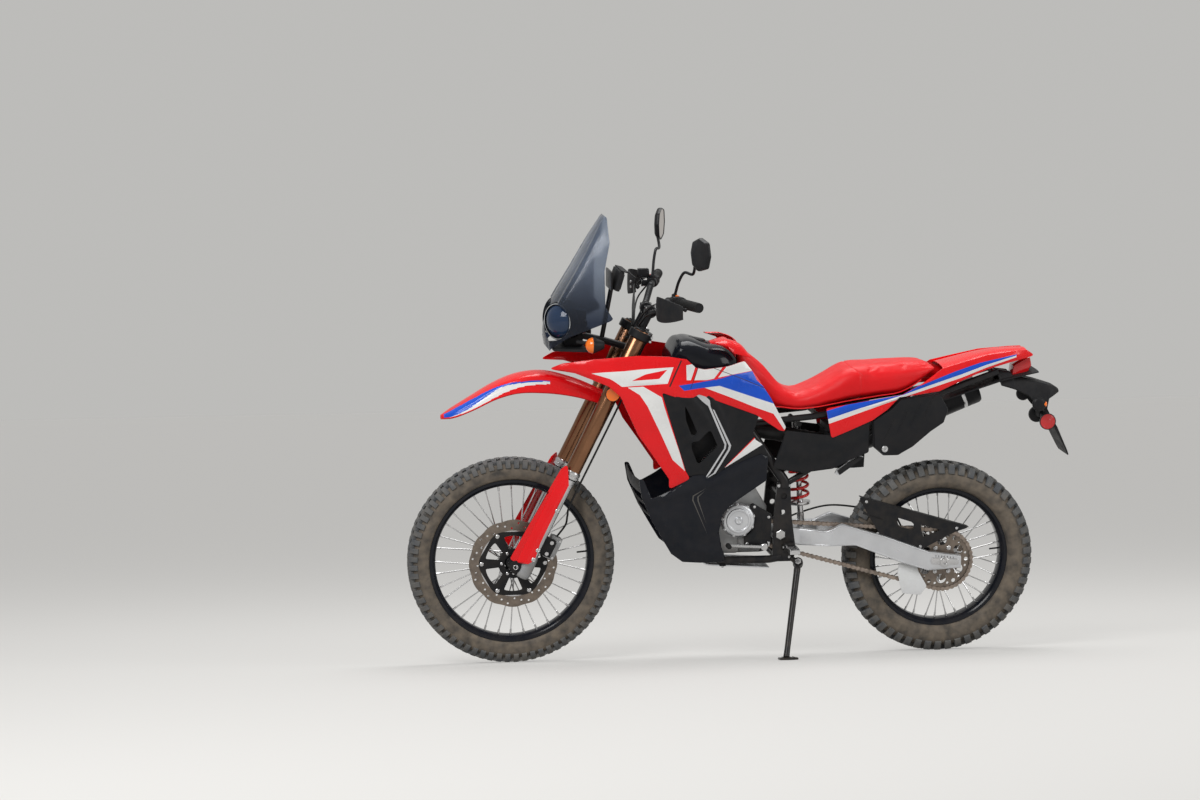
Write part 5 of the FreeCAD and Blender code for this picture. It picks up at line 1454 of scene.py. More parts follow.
@dataclass
class FrontMudguard:
    """The high front mudguard: a crowned, drooping blade with its stripes."""

    tip_x: float = -236.0
    tail_x: float = 330.0
    thick: float = 3.5
    sections: tuple[tuple[float, float, float, float, float, float], ...] = (
        (-236, 842, 22, 838, 30, 832), (-195, 868, 40, 860, 50, 842), (-145, 898, 48, 888, 60, 862),
        (-50, 952, 52, 942, 66, 906), (0, 972, 54, 962, 68, 920), (100, 986, 54, 974, 68, 922),
        (200, 962, 52, 950, 66, 908), (330, 905, 46, 895, 58, 868),
    )

    def surface(self, inset: float) -> Points:
        """A skin of the blade: the table is read smoothly along it, and a cubic joins edge to edge across it.

        Args:
            inset: Depth under the outer skin.

        Returns:
            A grid of places, one row per section.
        """
        table = np.array(self.sections)
        x = np.concatenate([self.tip_x + 14 * (1 - np.cos(np.linspace(0, np.pi / 2, 6)[:-1])),
                            np.linspace(self.tip_x + 14, self.tail_x, 46)])
        row = smooth_rows(table[:, 0], table[:, 1:], x)
        round_tip = 0.25 + 0.75 * np.clip((x - self.tip_x) / 26, 0.0, 1) ** 0.5
        crown, shoulder, shoulder_z, edge, edge_z = (row[:, k] for k in range(5))
        half = np.stack([0 * x, 0.5 * shoulder, shoulder, 0.5 * (shoulder + edge) + 1.2, edge], 1)
        half = half * round_tip[:, None]
        lift = np.stack([crown, crown - 0.28 * (crown - shoulder_z), shoulder_z,
                         0.55 * shoulder_z + 0.45 * edge_z, edge_z], 1)
        keys = np.linspace(0, 1, 5)
        s = np.linspace(0, 1, 41)
        y = smooth_rows(keys, half.T, s).T
        z = smooth_rows(keys, lift.T, s).T - inset
        y = np.maximum(y - inset * s**2, 0)
        right = spread(x[:, None], y, z)
        left = right[:, :0:-1] * OTHER_SIDE
        return np.concatenate([left, right], 1)

    def build(self) -> None:
        """Makes the blade, its side stripes, and its mount under the lower clamp."""
        outer, inner = self.surface(0.0), self.surface(self.thick)
        bag = MeshBag()
        columns = outer.shape[1]
        bag.shell(outer, inner, RED)
        width = 2 * columns
        middle = (columns - 1) // 2
        x = outer[:, 0, 0]
        stripe_x = (-225, -157, -107, -50, 35, 106)
        stripe_s = ((0.30, 0.32, 0.39, 0.51, 0.66, 0.65), (0.90, 0.85, 0.70, 0.61, 0.705, 0.68),
                    (0.90, 0.96, 0.96, 0.90, 0.81, 0.76))
        for k, face in enumerate(bag.faces):
            row, column = divmod(face[0], width)
            if len(face) != 4 or column >= columns - 1:
                continue
            s = abs(column + 0.5 - middle) / middle
            blue, join, white = (np.interp(x[row], stripe_x, edge) for edge in stripe_s)
            if -228 < x[row] < 116 and blue < s < white:
                bag.marks[k] = self.mark(bag, BLUE if s < join else WHITE)
        under = head_point(Fork.lower_clamp - 18 - 0.3)
        for y in (-30, 30):
            foot = under + BACK * -24 + Y_AXIS * y
            bag.pipe([foot - UP * 58, foot - UP * 56, foot], (6, 9, 9), MATT_BLACK, 16)
        bag.build("front_mudguard_blade", Body.STEERING, ("front_mudguard",), "red_plastic", 0.8)

    @staticmethod
    def mark(bag: MeshBag, finish: Finish) -> int:
        """The number of a finish in a bag."""
        if finish not in bag.finishes:
            bag.finishes.append(finish)
        return bag.finishes.index(finish)


@dataclass
class Screen:
    """The tall screen with its two lamp openings, the lamps and the front housing."""

    thick: float = 3.6
    lamp: tuple[float, float, float] = (150.0, 62.0, 1158.0)
    lamp_turn: float = math.radians(38.0)
    lamp_radius: float = 58.0
    lamp_ring: float = 4.0
    lamp_dome: float = 30.0
    signal: tuple[float, float, float] = (250.0, 152.0, 1090.0)
    signal_radius: float = 27.0
    flat_half: float = 200.0
    levels: tuple[tuple[float, float, float, float, float, float], ...] = (
        (1060, 112, 125, 88, 190, 120), (1115, 106, 122, 98, 250, 132), (1170, 112, 130, 104, 318, 138),
        (1215, 134, 152, 104, 304, 132), (1330, 202, 214, 92, 302, 118), (1420, 252, 262, 76, 326, 98),
        (1500, 298, 303, 40, 322, 56),
    )

    def point(self, s: Points, z: Points, inset: float) -> Points:
        """Places on the screen: at each height a smooth line runs from nose to shoulder to the wing's edge.

        Args:
            s: From -1 at the left edge to 1 at the right.
            z: The height.
            inset: Depth under the outer face.

        Returns:
            The places.
        """
        table = np.array(self.levels)
        row = smooth_rows(table[:, 0], table[:, 1:], z)
        nose, shoulder_x, shoulder, rear_x, rear = (row[:, k] for k in range(5))
        a = np.abs(s)
        keys = np.array([0.0, 0.45, 0.7, 1.0])
        xs = np.stack([nose, nose + 0.35 * (shoulder_x - nose), shoulder_x, rear_x], 0)
        ys = np.stack([0 * nose, 0.62 * shoulder, shoulder, rear], 0)
        slope_x, slope_y = np.gradient(xs, keys, axis=0), np.gradient(ys, keys, axis=0)
        slope_x[0] = 0
        i = np.clip(np.searchsorted(keys, a) - 1, 0, 2)
        gap = keys[i + 1] - keys[i]
        t = (a - keys[i]) / gap
        pick = np.arange(len(a))
        x, y = (cubic((v[i, pick], v[i + 1, pick]), (m[i, pick], m[i + 1, pick]), gap, t)
                for v, m in ((xs, slope_x), (ys, slope_y)))
        return np.stack([x + inset * (1 - a), (y - inset * a) * np.sign(s), z], 1)

    def build(self) -> None:
        """Makes the screen, the lamps, the housing and the front signals."""
        self.screen()
        self.lamps()
        self.housing()
        self.signals()

    def screen(self) -> None:
        """The screen: its outline in width and height, cut for both lamps, bent to the smooth nose."""
        outline = rounded(drawn((-0.62, 1062), (0.62, 1062), (0.86, 1112), (1.0, 1170), (0.98, 1212),
                                (0.97, 1330), (0.94, 1420), (0.85, 1499), (-0.85, 1499), (-0.94, 1420),
                                (-0.97, 1330), (-0.98, 1212), (-1.0, 1170), (-0.86, 1112))
                          * [self.flat_half, 1], 22)
        holes = [self.lamp_hole() * [sign, 1] for sign in (-1, 1)]
        for sign in (-1, 1):
            for k in range(3):
                holes.append(circle(sign * (120 - 9 * k), 1300 + 44 * k, 5, 12))
        bag = MeshBag()

        def place(spots: Points) -> tuple[Points, Points]:
            """Both faces of the screen."""
            side = np.clip(spots[:, 0] / self.flat_half, -1, 1)
            side = np.where(side == 0, 1e-6, side)
            return self.point(side, spots[:, 1], 0.0), self.point(side, spots[:, 1], self.thick)
        bag.sheet(outline, place, SCREEN_TINT_SHADED, holes, spacing=9.0)
        bag.build("tall_windscreen", Body.ROOT, ("windscreen",), "screen_plastic", 0.7)

    def lamp_hole(self) -> Points:
        """The right lamp's hole: at each height, where the screen lies the hole's reach from the lamp's axis.

        Returns:
            Places of (side, height) on the flat screen.
        """
        centre, ahead = self.lamp_frame(1)
        beside = np.cross(Z_AXIS, ahead)
        a = full_turn(48)
        reach = self.lamp_radius + self.lamp_ring + 1.0
        s = np.linspace(1e-4, 1, 160)
        hole = []
        for up, along in zip(centre[2] + reach * np.sin(a), reach * np.cos(a)):
            offset = (self.point(s, np.full(len(s), up), 0.0) - centre) @ beside
            hole.append((self.flat_half * np.interp(-along, -offset, s), up))
        return np.array(hole)

    def lamp_frame(self, side: int) -> tuple[Points, Points]:
        """A lamp's middle and the way it faces: ahead and turned outward."""
        centre = np.array(self.lamp) * [1, side, 1]
        return centre, xyz(-math.cos(self.lamp_turn), side * math.sin(self.lamp_turn), 0)

    def lamps(self) -> None:
        """Both lamps: a domed lens, a black bezel with a bright lip that is a painted glint on its rim, and
        the bowl with its bulb behind.
        """
        glass, bag = MeshBag(), MeshBag()
        radius, dome = self.lamp_radius, self.lamp_dome
        ball = (radius**2 + dome**2) / (2 * dome)
        r = np.linspace(0, radius - 5.2, 16)
        front = dome - ball + np.sqrt(ball**2 - r**2)
        for side in (-1, 1):
            centre, ahead = self.lamp_frame(side)
            shell = np.vstack([np.stack([r, front - 0.5], 1), np.stack([r[::-1], front[::-1] - 3.5], 1)])
            glass.lathe(shell, LAMP_GLASS, centre, ahead, 64)
            bag.lathe([(radius - 6, 3), (radius - 5, 8.4), (radius - 2, 9.6), (radius + 4.6, 6),
                       (radius + 5.4, 2), (radius + 4, -2), (radius + 4, -50), (radius - 5, -50)], LAMP_BEZEL,
                      centre, ahead, 64, closed=True)
            # Painted highlight: the thin bright metal lip round the bezel stands in for the rim's glint.
            bag.lathe([(radius - 0.6, 9.4), (radius + 0.6, 9.8), (radius + 1.6, 8.6), (radius + 0.4, 8)],
                      BRIGHT, centre, ahead, 64, closed=True)
            bowl = np.linspace(0.1, 1, 12)
            bag.lathe(np.stack([bowl * (radius - 5), -26 + 28 * bowl**2], 1).tolist()
                      + [(radius - 5, -30), (5.6, -34)], LAMP_BOWL, centre, ahead, 64, closed=True)
            bag.lathe([(0, 12), (9, 11), (13, 4), (14, -8), (14, -30), (0, -30)], LAMP_BOWL, centre, ahead,
                      32)
        glass.build("headlamp_domes", Body.ROOT, ("headlamp_lenses",), "lamp_glass")
        bag.build("headlamp_bowls", Body.ROOT, (), "gloss_black")

    def housing(self) -> None:
        """The dark moulding behind the screen: a tapered shell with ribs, a chin and mounts."""
        bag = MeshBag()
        x = np.linspace(197, 236, 8)
        a = full_turn(48)
        grow = 1 + 0.02 * np.sin(np.pi * (x - 197) / 39)
        y = 90 * grow[:, None] * powered(np.cos(a), 0.45)
        z = 1159 + 46 * grow[:, None] * powered(np.sin(a), 0.45)
        bag.surface(spread(x[:, None], y, z), GLOSS_BLACK, wrap_columns=True, caps=True)
        bag.block(xyz(202, 0, 1092), (66, 80, 44), MATT_BLACK, 6)
        chin = rounded([(130, -84), (240, -118), (240, 118), (130, 84)], 10)
        bottom = spread(chin[:, 0], chin[:, 1], 1061.5)
        bag.surface(np.stack([bottom, bottom + Z_AXIS * 8]), MATT_BLACK, wrap_columns=True, caps=True)
        for y in (-105, 105):
            bag.block(xyz(232, y, 1158), (8, 34, 16), MATT_BLACK, 2)
        for y in np.linspace(-75, 75, 9):
            bag.block(xyz(236.5, y, 1159), (4, 3, 80), MATT_BLACK, 1)
        bag.build("headlamp_shell", Body.ROOT, ("headlamp_housing",), "gloss_black", 0.0)

    def signals(self) -> None:
        """The front signals: an orange dome facing forward on a tapered black body and a ribbed arm."""
        bag = MeshBag()
        radius = self.signal_radius
        dome = dome_profile(radius - 1.2, radius - 1.1, 0.0, 25.0, 12)
        for sign in (-1, 1):
            centre = np.array(self.signal) * [1, sign, 1]
            arm = np.array([(206, 100, 1094), (238, 130, 1093), (266, 151, 1090)], float) * [1, sign, 1]
            ribbed_arm(bag, arm, 0.7)
            bag.lathe([(0, -37.5), (10, -37.5), (13, -35), (20, -19), (radius - 1, -4), (radius, -1),
                       (radius - 0.6, 1), (0, 1)], SATIN_BLACK, centre, -X_AXIS, 40)
            bag.lathe(np.vstack([[(0, 0.4)], [(radius - 1.2, 0.4)], dome]), AMBER, centre, -X_AXIS, 40)
        bag.build("front_signal_lamps", Body.ROOT, ("front_signals",), "amber_lens")


@dataclass
class Seat:
    """The two-level seat: a stuffed pad puffed by a cloth run, with its cover's seam and piping."""

    sections: tuple[tuple[float, float, float, float], ...] = (
        (750, 50, 1092, 1002), (765, 64, 1066, 942), (842, 80, 990, 864), (900, 94, 926, 854),
        (940, 102, 908, 850), (1010, 114, 925, 856), (1065, 117, 953, 866), (1115, 117, 982, 875),
        (1215, 113, 993, 889), (1300, 106, 997, 902), (1368, 92, 998, 937), (1423, 74, 992, 978),
    )
    shrink: float = 3.0
    voxel: float = 6.0
    swell_cap: float = 5.0
    pressure: float = 4.0
    tension: float = 20.0
    shear: float = 10.0
    seam_depth: float = 2.4
    seam_width: float = 3.6
    seam_x: float = 1163.0
    seam_sweep: float = 46.0
    seam_low: float = 955.0
    seam_rise: float = 40.0
    seam_middle: float = 900.0
    frames: int = 20

    def section(self, x: Points, a: Points) -> Points:
        """Places on the pad's skin: a superellipse per station, flat below and crowned above.

        Args:
            x: Stations along the seat.
            a: Angles round each section.

        Returns:
            A grid of places, one row per station.
        """
        table = np.array(self.sections)
        half, top, bottom = (smooth_rows(table[:, 0], table[:, k], x)[:, None] for k in (1, 2, 3))
        half, top, bottom = half - self.shrink, top - self.shrink, bottom + self.shrink * 0.4
        c, s = np.cos(a)[None], np.sin(a)[None]
        belly = bottom + 0.42 * (top - bottom)
        y = half * powered(c, 0.55)
        rise = np.where(s > 0, (top - belly) * np.abs(s) ** 0.8, -(belly - bottom) * np.abs(s) ** 0.45)
        return spread(x[:, None], y, belly + rise)

    def build(self) -> None:
        """Makes the pad, puffs it, draws in its seam and adds piping."""
        x = np.concatenate([[753], np.linspace(758, 1416, 90), [1420]])
        a = full_turn(56)
        bag = MeshBag()
        bag.surface(self.section(x, a), VINYL, wrap_columns=True, caps=True)
        pad = bag.build("seat_cushion", Body.ROOT, ("seat",), "seat_cover")
        self.puff(pad)
        self.draw_seam(pad)
        self.piping()

    def puff(self, pad: bpy.types.Object) -> None:
        """Remeshes the pad, lets the cloth swell under pressure, and caps each point's travel.

        Args:
            pad: The pad.
        """
        parent = pad.parent
        pad.parent = None
        remesh = pad.modifiers.new("even", "REMESH")
        remesh.mode = "VOXEL"
        remesh.voxel_size = self.voxel * MM
        apply_modifier(pad, "even")
        start = mesh_points(pad)
        cloth = pad.modifiers.new("stuffed", "CLOTH")
        cloth.settings.use_pressure = True
        cloth.settings.uniform_pressure_force = self.pressure
        cloth.settings.effector_weights.gravity = 0.0
        cloth.settings.tension_stiffness = self.tension
        cloth.settings.shear_stiffness = self.shear
        scene = bpy.context.scene
        for number in range(1, self.frames + 1):
            scene.frame_set(number)
        apply_modifier(pad, "stuffed")
        moved = mesh_points(pad) - start
        length = np.linalg.norm(moved, axis=1, keepdims=True)
        capped = start + moved * np.minimum(1.0, self.swell_cap * MM / np.maximum(length, TINY))
        pad.data.vertices.foreach_set("co", capped.astype(np.float32).ravel())
        scene.frame_set(1)
        finer = pad.modifiers.new("finer", "SUBSURF")
        finer.levels = finer.render_levels = 1
        apply_modifier(pad, "finer")
        pad.data.polygons.foreach_set("use_smooth", np.ones(len(pad.data.polygons), bool))
        pad.parent = parent

    def draw_seam(self, pad: bpy.types.Object) -> None:
        """Draws the cover in along its cross seam: a narrow bell of depth about the seam's bent plane."""
        places = mesh_points(pad)
        c, s = math.cos(LEAN), math.sin(LEAN)
        turn = np.array([[1, 0, 0], [0, c, -s], [0, s, c]])
        upright = (places / MM - ORIGIN) @ turn
        bend = np.clip((upright[:, 2] - self.seam_low) / self.seam_rise, 0, 1)
        seam_x = self.seam_x - self.seam_sweep * bend**2
        pull = self.seam_depth * np.exp(-(((upright[:, 0] - seam_x) / self.seam_width) ** 2))
        middle = np.stack([upright[:, 0], 0 * upright[:, 1], np.full(len(upright), self.seam_middle)], 1)
        upright = upright + unit(middle - upright) * pull[:, None]
        pad.data.vertices.foreach_set("co", leaned(upright).astype(np.float32).ravel())
        pad.data.update()

    def piping(self) -> None:
        """A thin welt round the seat's lower edge on both sides."""
        bag = MeshBag()
        table = np.array(self.sections)
        x = np.linspace(842, 1368, 60)
        half = smooth_rows(table[:, 0], table[:, 1], x)
        bottom = smooth_rows(table[:, 0], table[:, 3], x)
        path = np.stack([x, half - 0.5, bottom + 7], 1)
        bag.pipe(path, 2.0, VINYL, 8)
        bag.mirror()
        bag.build("seat_edge_welts", Body.ROOT, (), "seat_cover")


def mesh_points(made: bpy.types.Object) -> Points:
    """An object's mesh points as an array."""
    flat_points = np.zeros(len(made.data.vertices) * 3, np.float32)
    made.data.vertices.foreach_get("co", flat_points)
    return flat_points.reshape(-1, 3).astype(float)


def apply_modifier(made: bpy.types.Object, name: str) -> None:
    """Puts a modifier's result into the object's own mesh.

    Args:
        made: The object.
        name: The modifier's name.
    """
    bpy.context.view_layer.update()
    done = bpy.data.meshes.new_from_object(made.evaluated_get(bpy.context.evaluated_depsgraph_get()))
    made.modifiers.remove(made.modifiers[name])
    old = made.data
    made.data = done
    bpy.data.meshes.remove(old)


@dataclass
class Fork:
    """The fork: bronze upper tubes, bright lower tubes, clamps, guards, caliper and reflectors."""

    outer_radius: float = 27.0
    inner_radius: float = 21.5
    outer_start: float = 343.0
    top: float = 886.0
    lower_clamp: float = 705.0
    upper_clamp: float = 871.0

    def build(self) -> None:
        """Makes the fork's pieces."""
        self.tubes()
        self.lowers()
        self.guards()
        self.caliper()
        self.clamps()
        self.reflectors()

    def tubes(self) -> None:
        """The upper tubes, with a stepped bright lower ring, a dust seal and a cap with its adjuster."""
        bag = MeshBag()
        r, start, top = self.outer_radius, self.outer_start, self.top
        wall = [
            (self.inner_radius + 0.1, start + 58), (self.inner_radius + 0.1, start + 0.5), (r + 1.5, start),
            (r + 3, start + 2), (r + 3, start + 9), (r + 2.2, start + 10), (r + 2.2, start + 13),
            (r + 3, start + 14), (r + 3, start + 21), (r + 1.6, start + 23), (r - 0.6, start + 26),
        ]
        tube = [
            (r - 0.6, start + 26), (r - 0.6, start + 150), (r + 0.0, start + 172), (r, top - 3), (r - 2, top),
            (0, top),
        ]
        seal = [
            (self.inner_radius + 0.1, start + 0.5), (self.inner_radius + 0.1, start - 4), (r - 2, start - 4),
            (r, start - 1.5), (r, start + 0.5),
        ]
        cap = [
            (0, top - 1), (r - 4, top - 1), (r - 4, top + 3), (r - 6, top + 4.5), (13, top + 4.5),
            (13, top + 8), (7, top + 8), (7, top + 10), (0, top + 10),
        ]
        for profile, finish, steps in ((wall, STEEL, 48), (tube, BRONZE, 64), (seal, HOSE, 48),
                                       (cap, SATIN_BLACK, 24)):
            bag.lathe(profile, finish, leg_point(0, LEG_Y), UP, steps)
        bag.mirror()
        bag.build("fork_upper_tubes", Body.STEERING, ("fork_outer_tubes",), "bronze_tube")

    def lowers(self) -> None:
        """The lower tubes, their cast feet, axle lugs and pinch bolts."""
        bag = MeshBag()
        bag.lathe(drum(0, self.inner_radius, 30, self.outer_start + 38), STEEL, leg_point(0, LEG_Y), UP, 48)
        bag.lathe([(0, -26), (20, -26), (24, -22), (26.5, -12), (26.8, 40), (25, 54), (22.2, 60), (0, 60)],
                  CAST, leg_point(0, LEG_Y), UP, 48)
        bag.lathe([(8.6, -25), (18, -25), (21, -22), (21, 18), (18.5, 21), (8.6, 21)], SATIN_BLACK,
                  FRONT_AXLE + Y_AXIS * LEG_Y, Y_AXIS, 40, closed=True)
        for distance in (-15, 15):
            bag.block(leg_point(distance, LEG_Y, -AXLE_LEAD / 2 - 2), (AXLE_LEAD - 6, 32, 20), SATIN_BLACK, 5,
                      FORK_AXES)
        bag.pipe([leg_point(-27, LEG_Y + 8, -AXLE_LEAD + 6), leg_point(27, LEG_Y + 8, -AXLE_LEAD + 6)], 4.5,
                 STEEL, 12)
        bag.mirror()
        bag.build("fork_lower_legs", Body.STEERING, ("fork_inner_tubes",), "bright_steel")

    def guards(self) -> None:
        """The red guards: a half round wall before each leg, cut to a swept outline, held by three bolts."""
        bag = MeshBag()
        outline = rounded([(-19, 374), (2, 362), (40, 360), (62, 374), (80, 430), (128, 530), (174, 622),
                           (172, 690), (150, 672), (108, 600)], 9)
        radius = 40.8

        def place(spots: Points) -> tuple[Points, Points]:
            """Both faces: the leg's circle, read by how far a place lies behind the leg's line."""
            along = spots - FRONT_AXLE[[0, 2]]
            behind = along[:, 0] * BACK[0] + along[:, 1] * BACK[2] - AXLE_LEAD
            faces = []
            for r in (radius, radius - 3.6):
                reach = np.sqrt(np.maximum(r**2 - np.minimum(np.abs(behind), r - 4) ** 2, 0))
                faces.append(np.stack([spots[:, 0], LEG_Y + reach, spots[:, 1]], 1))
            return faces[0], faces[1]
        bag.sheet(outline, place, RED, spacing=6.0)
        for distance in (50, 84, 230):
            spot = leg_point(distance, LEG_Y + radius - 3, 4)
            bag.lathe([(0, -3), (8, -3), (8, 3.2), (6, 4.4), (3.4, 4.4), (3.2, 3), (0, 3)], STEEL, spot,
                      Y_AXIS, 6)
        bag.mirror()
        bag.build("fork_leg_guards", Body.STEERING, ("fork_guards",), "red_plastic", 0.8)

    def caliper(self) -> None:
        """The front caliper: two ribbed halves over the disc, a bridge, its bolts, pin, and mount."""
        bag = MeshBag()
        middle = leg_point(104, -60, 58)
        for sign, wide in ((-1, 17), (1, 15)):
            bag.block(middle + Y_AXIS * sign * (6.5 + wide / 2), (42, wide, 80), CAST, 6, FORK_AXES)
            for k in (-1, 1):
                bag.lathe([(0, 0), (13, 0), (13, 2.2), (11, 3.2), (0, 3.2)], CAST,
                          middle + Y_AXIS * sign * (6.5 + wide) + UP * k * 17, Y_AXIS * sign, 24)
        bag.block(middle + BACK * 14, (13, 40, 76), SATIN_BLACK, 4, FORK_AXES)
        for k in (-1, 1):
            bag.pipe([middle + UP * 30 * k + BACK * 12 - Y_AXIS * 27,
                      middle + UP * 30 * k + BACK * 12 + Y_AXIS * 24], 4.2, STEEL, 12, UP)
        bag.block(leg_point(103, -100, 34), (44, 14, 64), SATIN_BLACK, 4, FORK_AXES)
        bag.block(leg_point(100, -91, 52), (16, 26, 58), SATIN_BLACK, 4, FORK_AXES)
        for distance in (82, 122):
            bag.lathe([(0, -8), (5, -8), (5, 0), (7, 0), (7, 5), (0, 5)], STEEL,
                      leg_point(distance, -107, 42), -Y_AXIS, 6)
        hose = spline([leg_point(140, -62, 57), leg_point(190, -64, 66), leg_point(225, -92, 52),
                       leg_point(270, -100, 42), leg_point(478, -100, 42), leg_point(686.7, -100, 42)], 12)
        bag.pipe(hose, 3.4, HOSE, 10)
        bag.build("front_brake_caliper", Body.STEERING, ("front_caliper",), "black_alloy")

    def clamps(self) -> None:
        """Both clamps with their pinch bolts, the stem and its nut, and the bar's risers with split caps."""
        bag = MeshBag()
        for distance, thick in ((self.lower_clamp, 36), (self.upper_clamp, 26)):
            for sign in (-1, 1):
                bag.lathe([(27.2, -thick / 2), (35.5, -thick / 2), (37, -thick / 2 + 1.5),
                           (37, thick / 2 - 1.5), (35.5, thick / 2), (27.2, thick / 2)], SATIN_BLACK,
                          leg_point(distance, sign * LEG_Y), UP, 48, closed=True)
                for k in (-1, 1):
                    start = leg_point(distance + k * thick * 0.26, sign * (LEG_Y - 6), 41)
                    bag.pipe([start - Y_AXIS * 13, start + Y_AXIS * 13], 4.0, STEEL, 10, UP)
                bag.block(leg_point(distance, sign * (LEG_Y - 6), 38), (14, 16, thick * 0.9), SATIN_BLACK, 3,
                          FORK_AXES)
            y = np.linspace(-74, 74, 25)
            middle = 14 + 22 * (1 - (np.abs(y) / 74) ** 2)
            width = 15 + 9 * (1 - (np.abs(y) / 74) ** 1.5)
            ring = np.array([[-1, -1], [1, -1], [1, 1], [-1, 1]])
            spots = (leg_point(distance)[None, None] + Y_AXIS * y[:, None, None]
                     + BACK * (middle[:, None] + width[:, None] * ring[:, 0])[..., None]
                     + UP * (ring[:, 1] * thick * 0.5)[None, :, None])
            bag.surface(spots, SATIN_BLACK, wrap_columns=True, caps=True)
        bag.pipe([head_point(self.lower_clamp), head_point(self.upper_clamp)], 15, STEEL, 24)
        bag.lathe([(0, 0), (17, 0), (17, 9), (15, 11), (9, 11), (8, 8), (0, 8)], STEEL,
                  head_point(self.upper_clamp + 13), UP, 6)
        for y in (-44, 44):
            foot = head_point(self.upper_clamp + 9, y, -20)
            top = xyz(457, y, 1182)
            riser = [foot, foot + (top - foot) * 0.2, foot + (top - foot) * 0.86, top]
            bag.pipe(riser, (15, 13, 13, 14), SATIN_BLACK, 24)
            bag.lathe([(11.1, -15), (19, -15), (20, -13.5), (20, 13.5), (19, 15), (11.1, 15)], SATIN_BLACK,
                      top, Y_AXIS, 40, closed=True)
            for dx in (-15, 15):
                for dy in (-9, 9):
                    bag.pipe([top + [dx, dy, -14], top + [dx, dy, 17]], 4.0, STEEL, 6)
        bag.build("triple_clamp_set", Body.STEERING, ("triple_clamps",), "black_alloy")

    def reflectors(self) -> None:
        """Amber reflectors in black cups, their faces ribbed as rings."""
        bag = MeshBag()
        place = leg_point(658, LEG_Y + self.outer_radius + 3)
        bag.lathe([(0, 0), (20, 0), (25, 2), (25, 6.6), (23, 7.2), (23, 4.5), (0, 4.5)], SATIN_BLACK, place,
                  Y_AXIS, 48)
        r = np.linspace(22.6, 0, 24)
        face = 7.0 + 0.9 * np.sqrt(1 - (r / 23) ** 2) + 0.14 * np.cos(r * 2.2)
        bag.lathe(np.vstack([[(0, 4.6), (22.6, 4.6)], np.stack([r, face], 1)]), AMBER, place, Y_AXIS, 48)
        bag.lathe(drum(0, 8, -2.2, 1), SATIN_BLACK, place, Y_AXIS, 20)
        bag.mirror()
        bag.build("fork_side_reflectors", Body.STEERING, ("fork_reflectors",), "amber_lens")


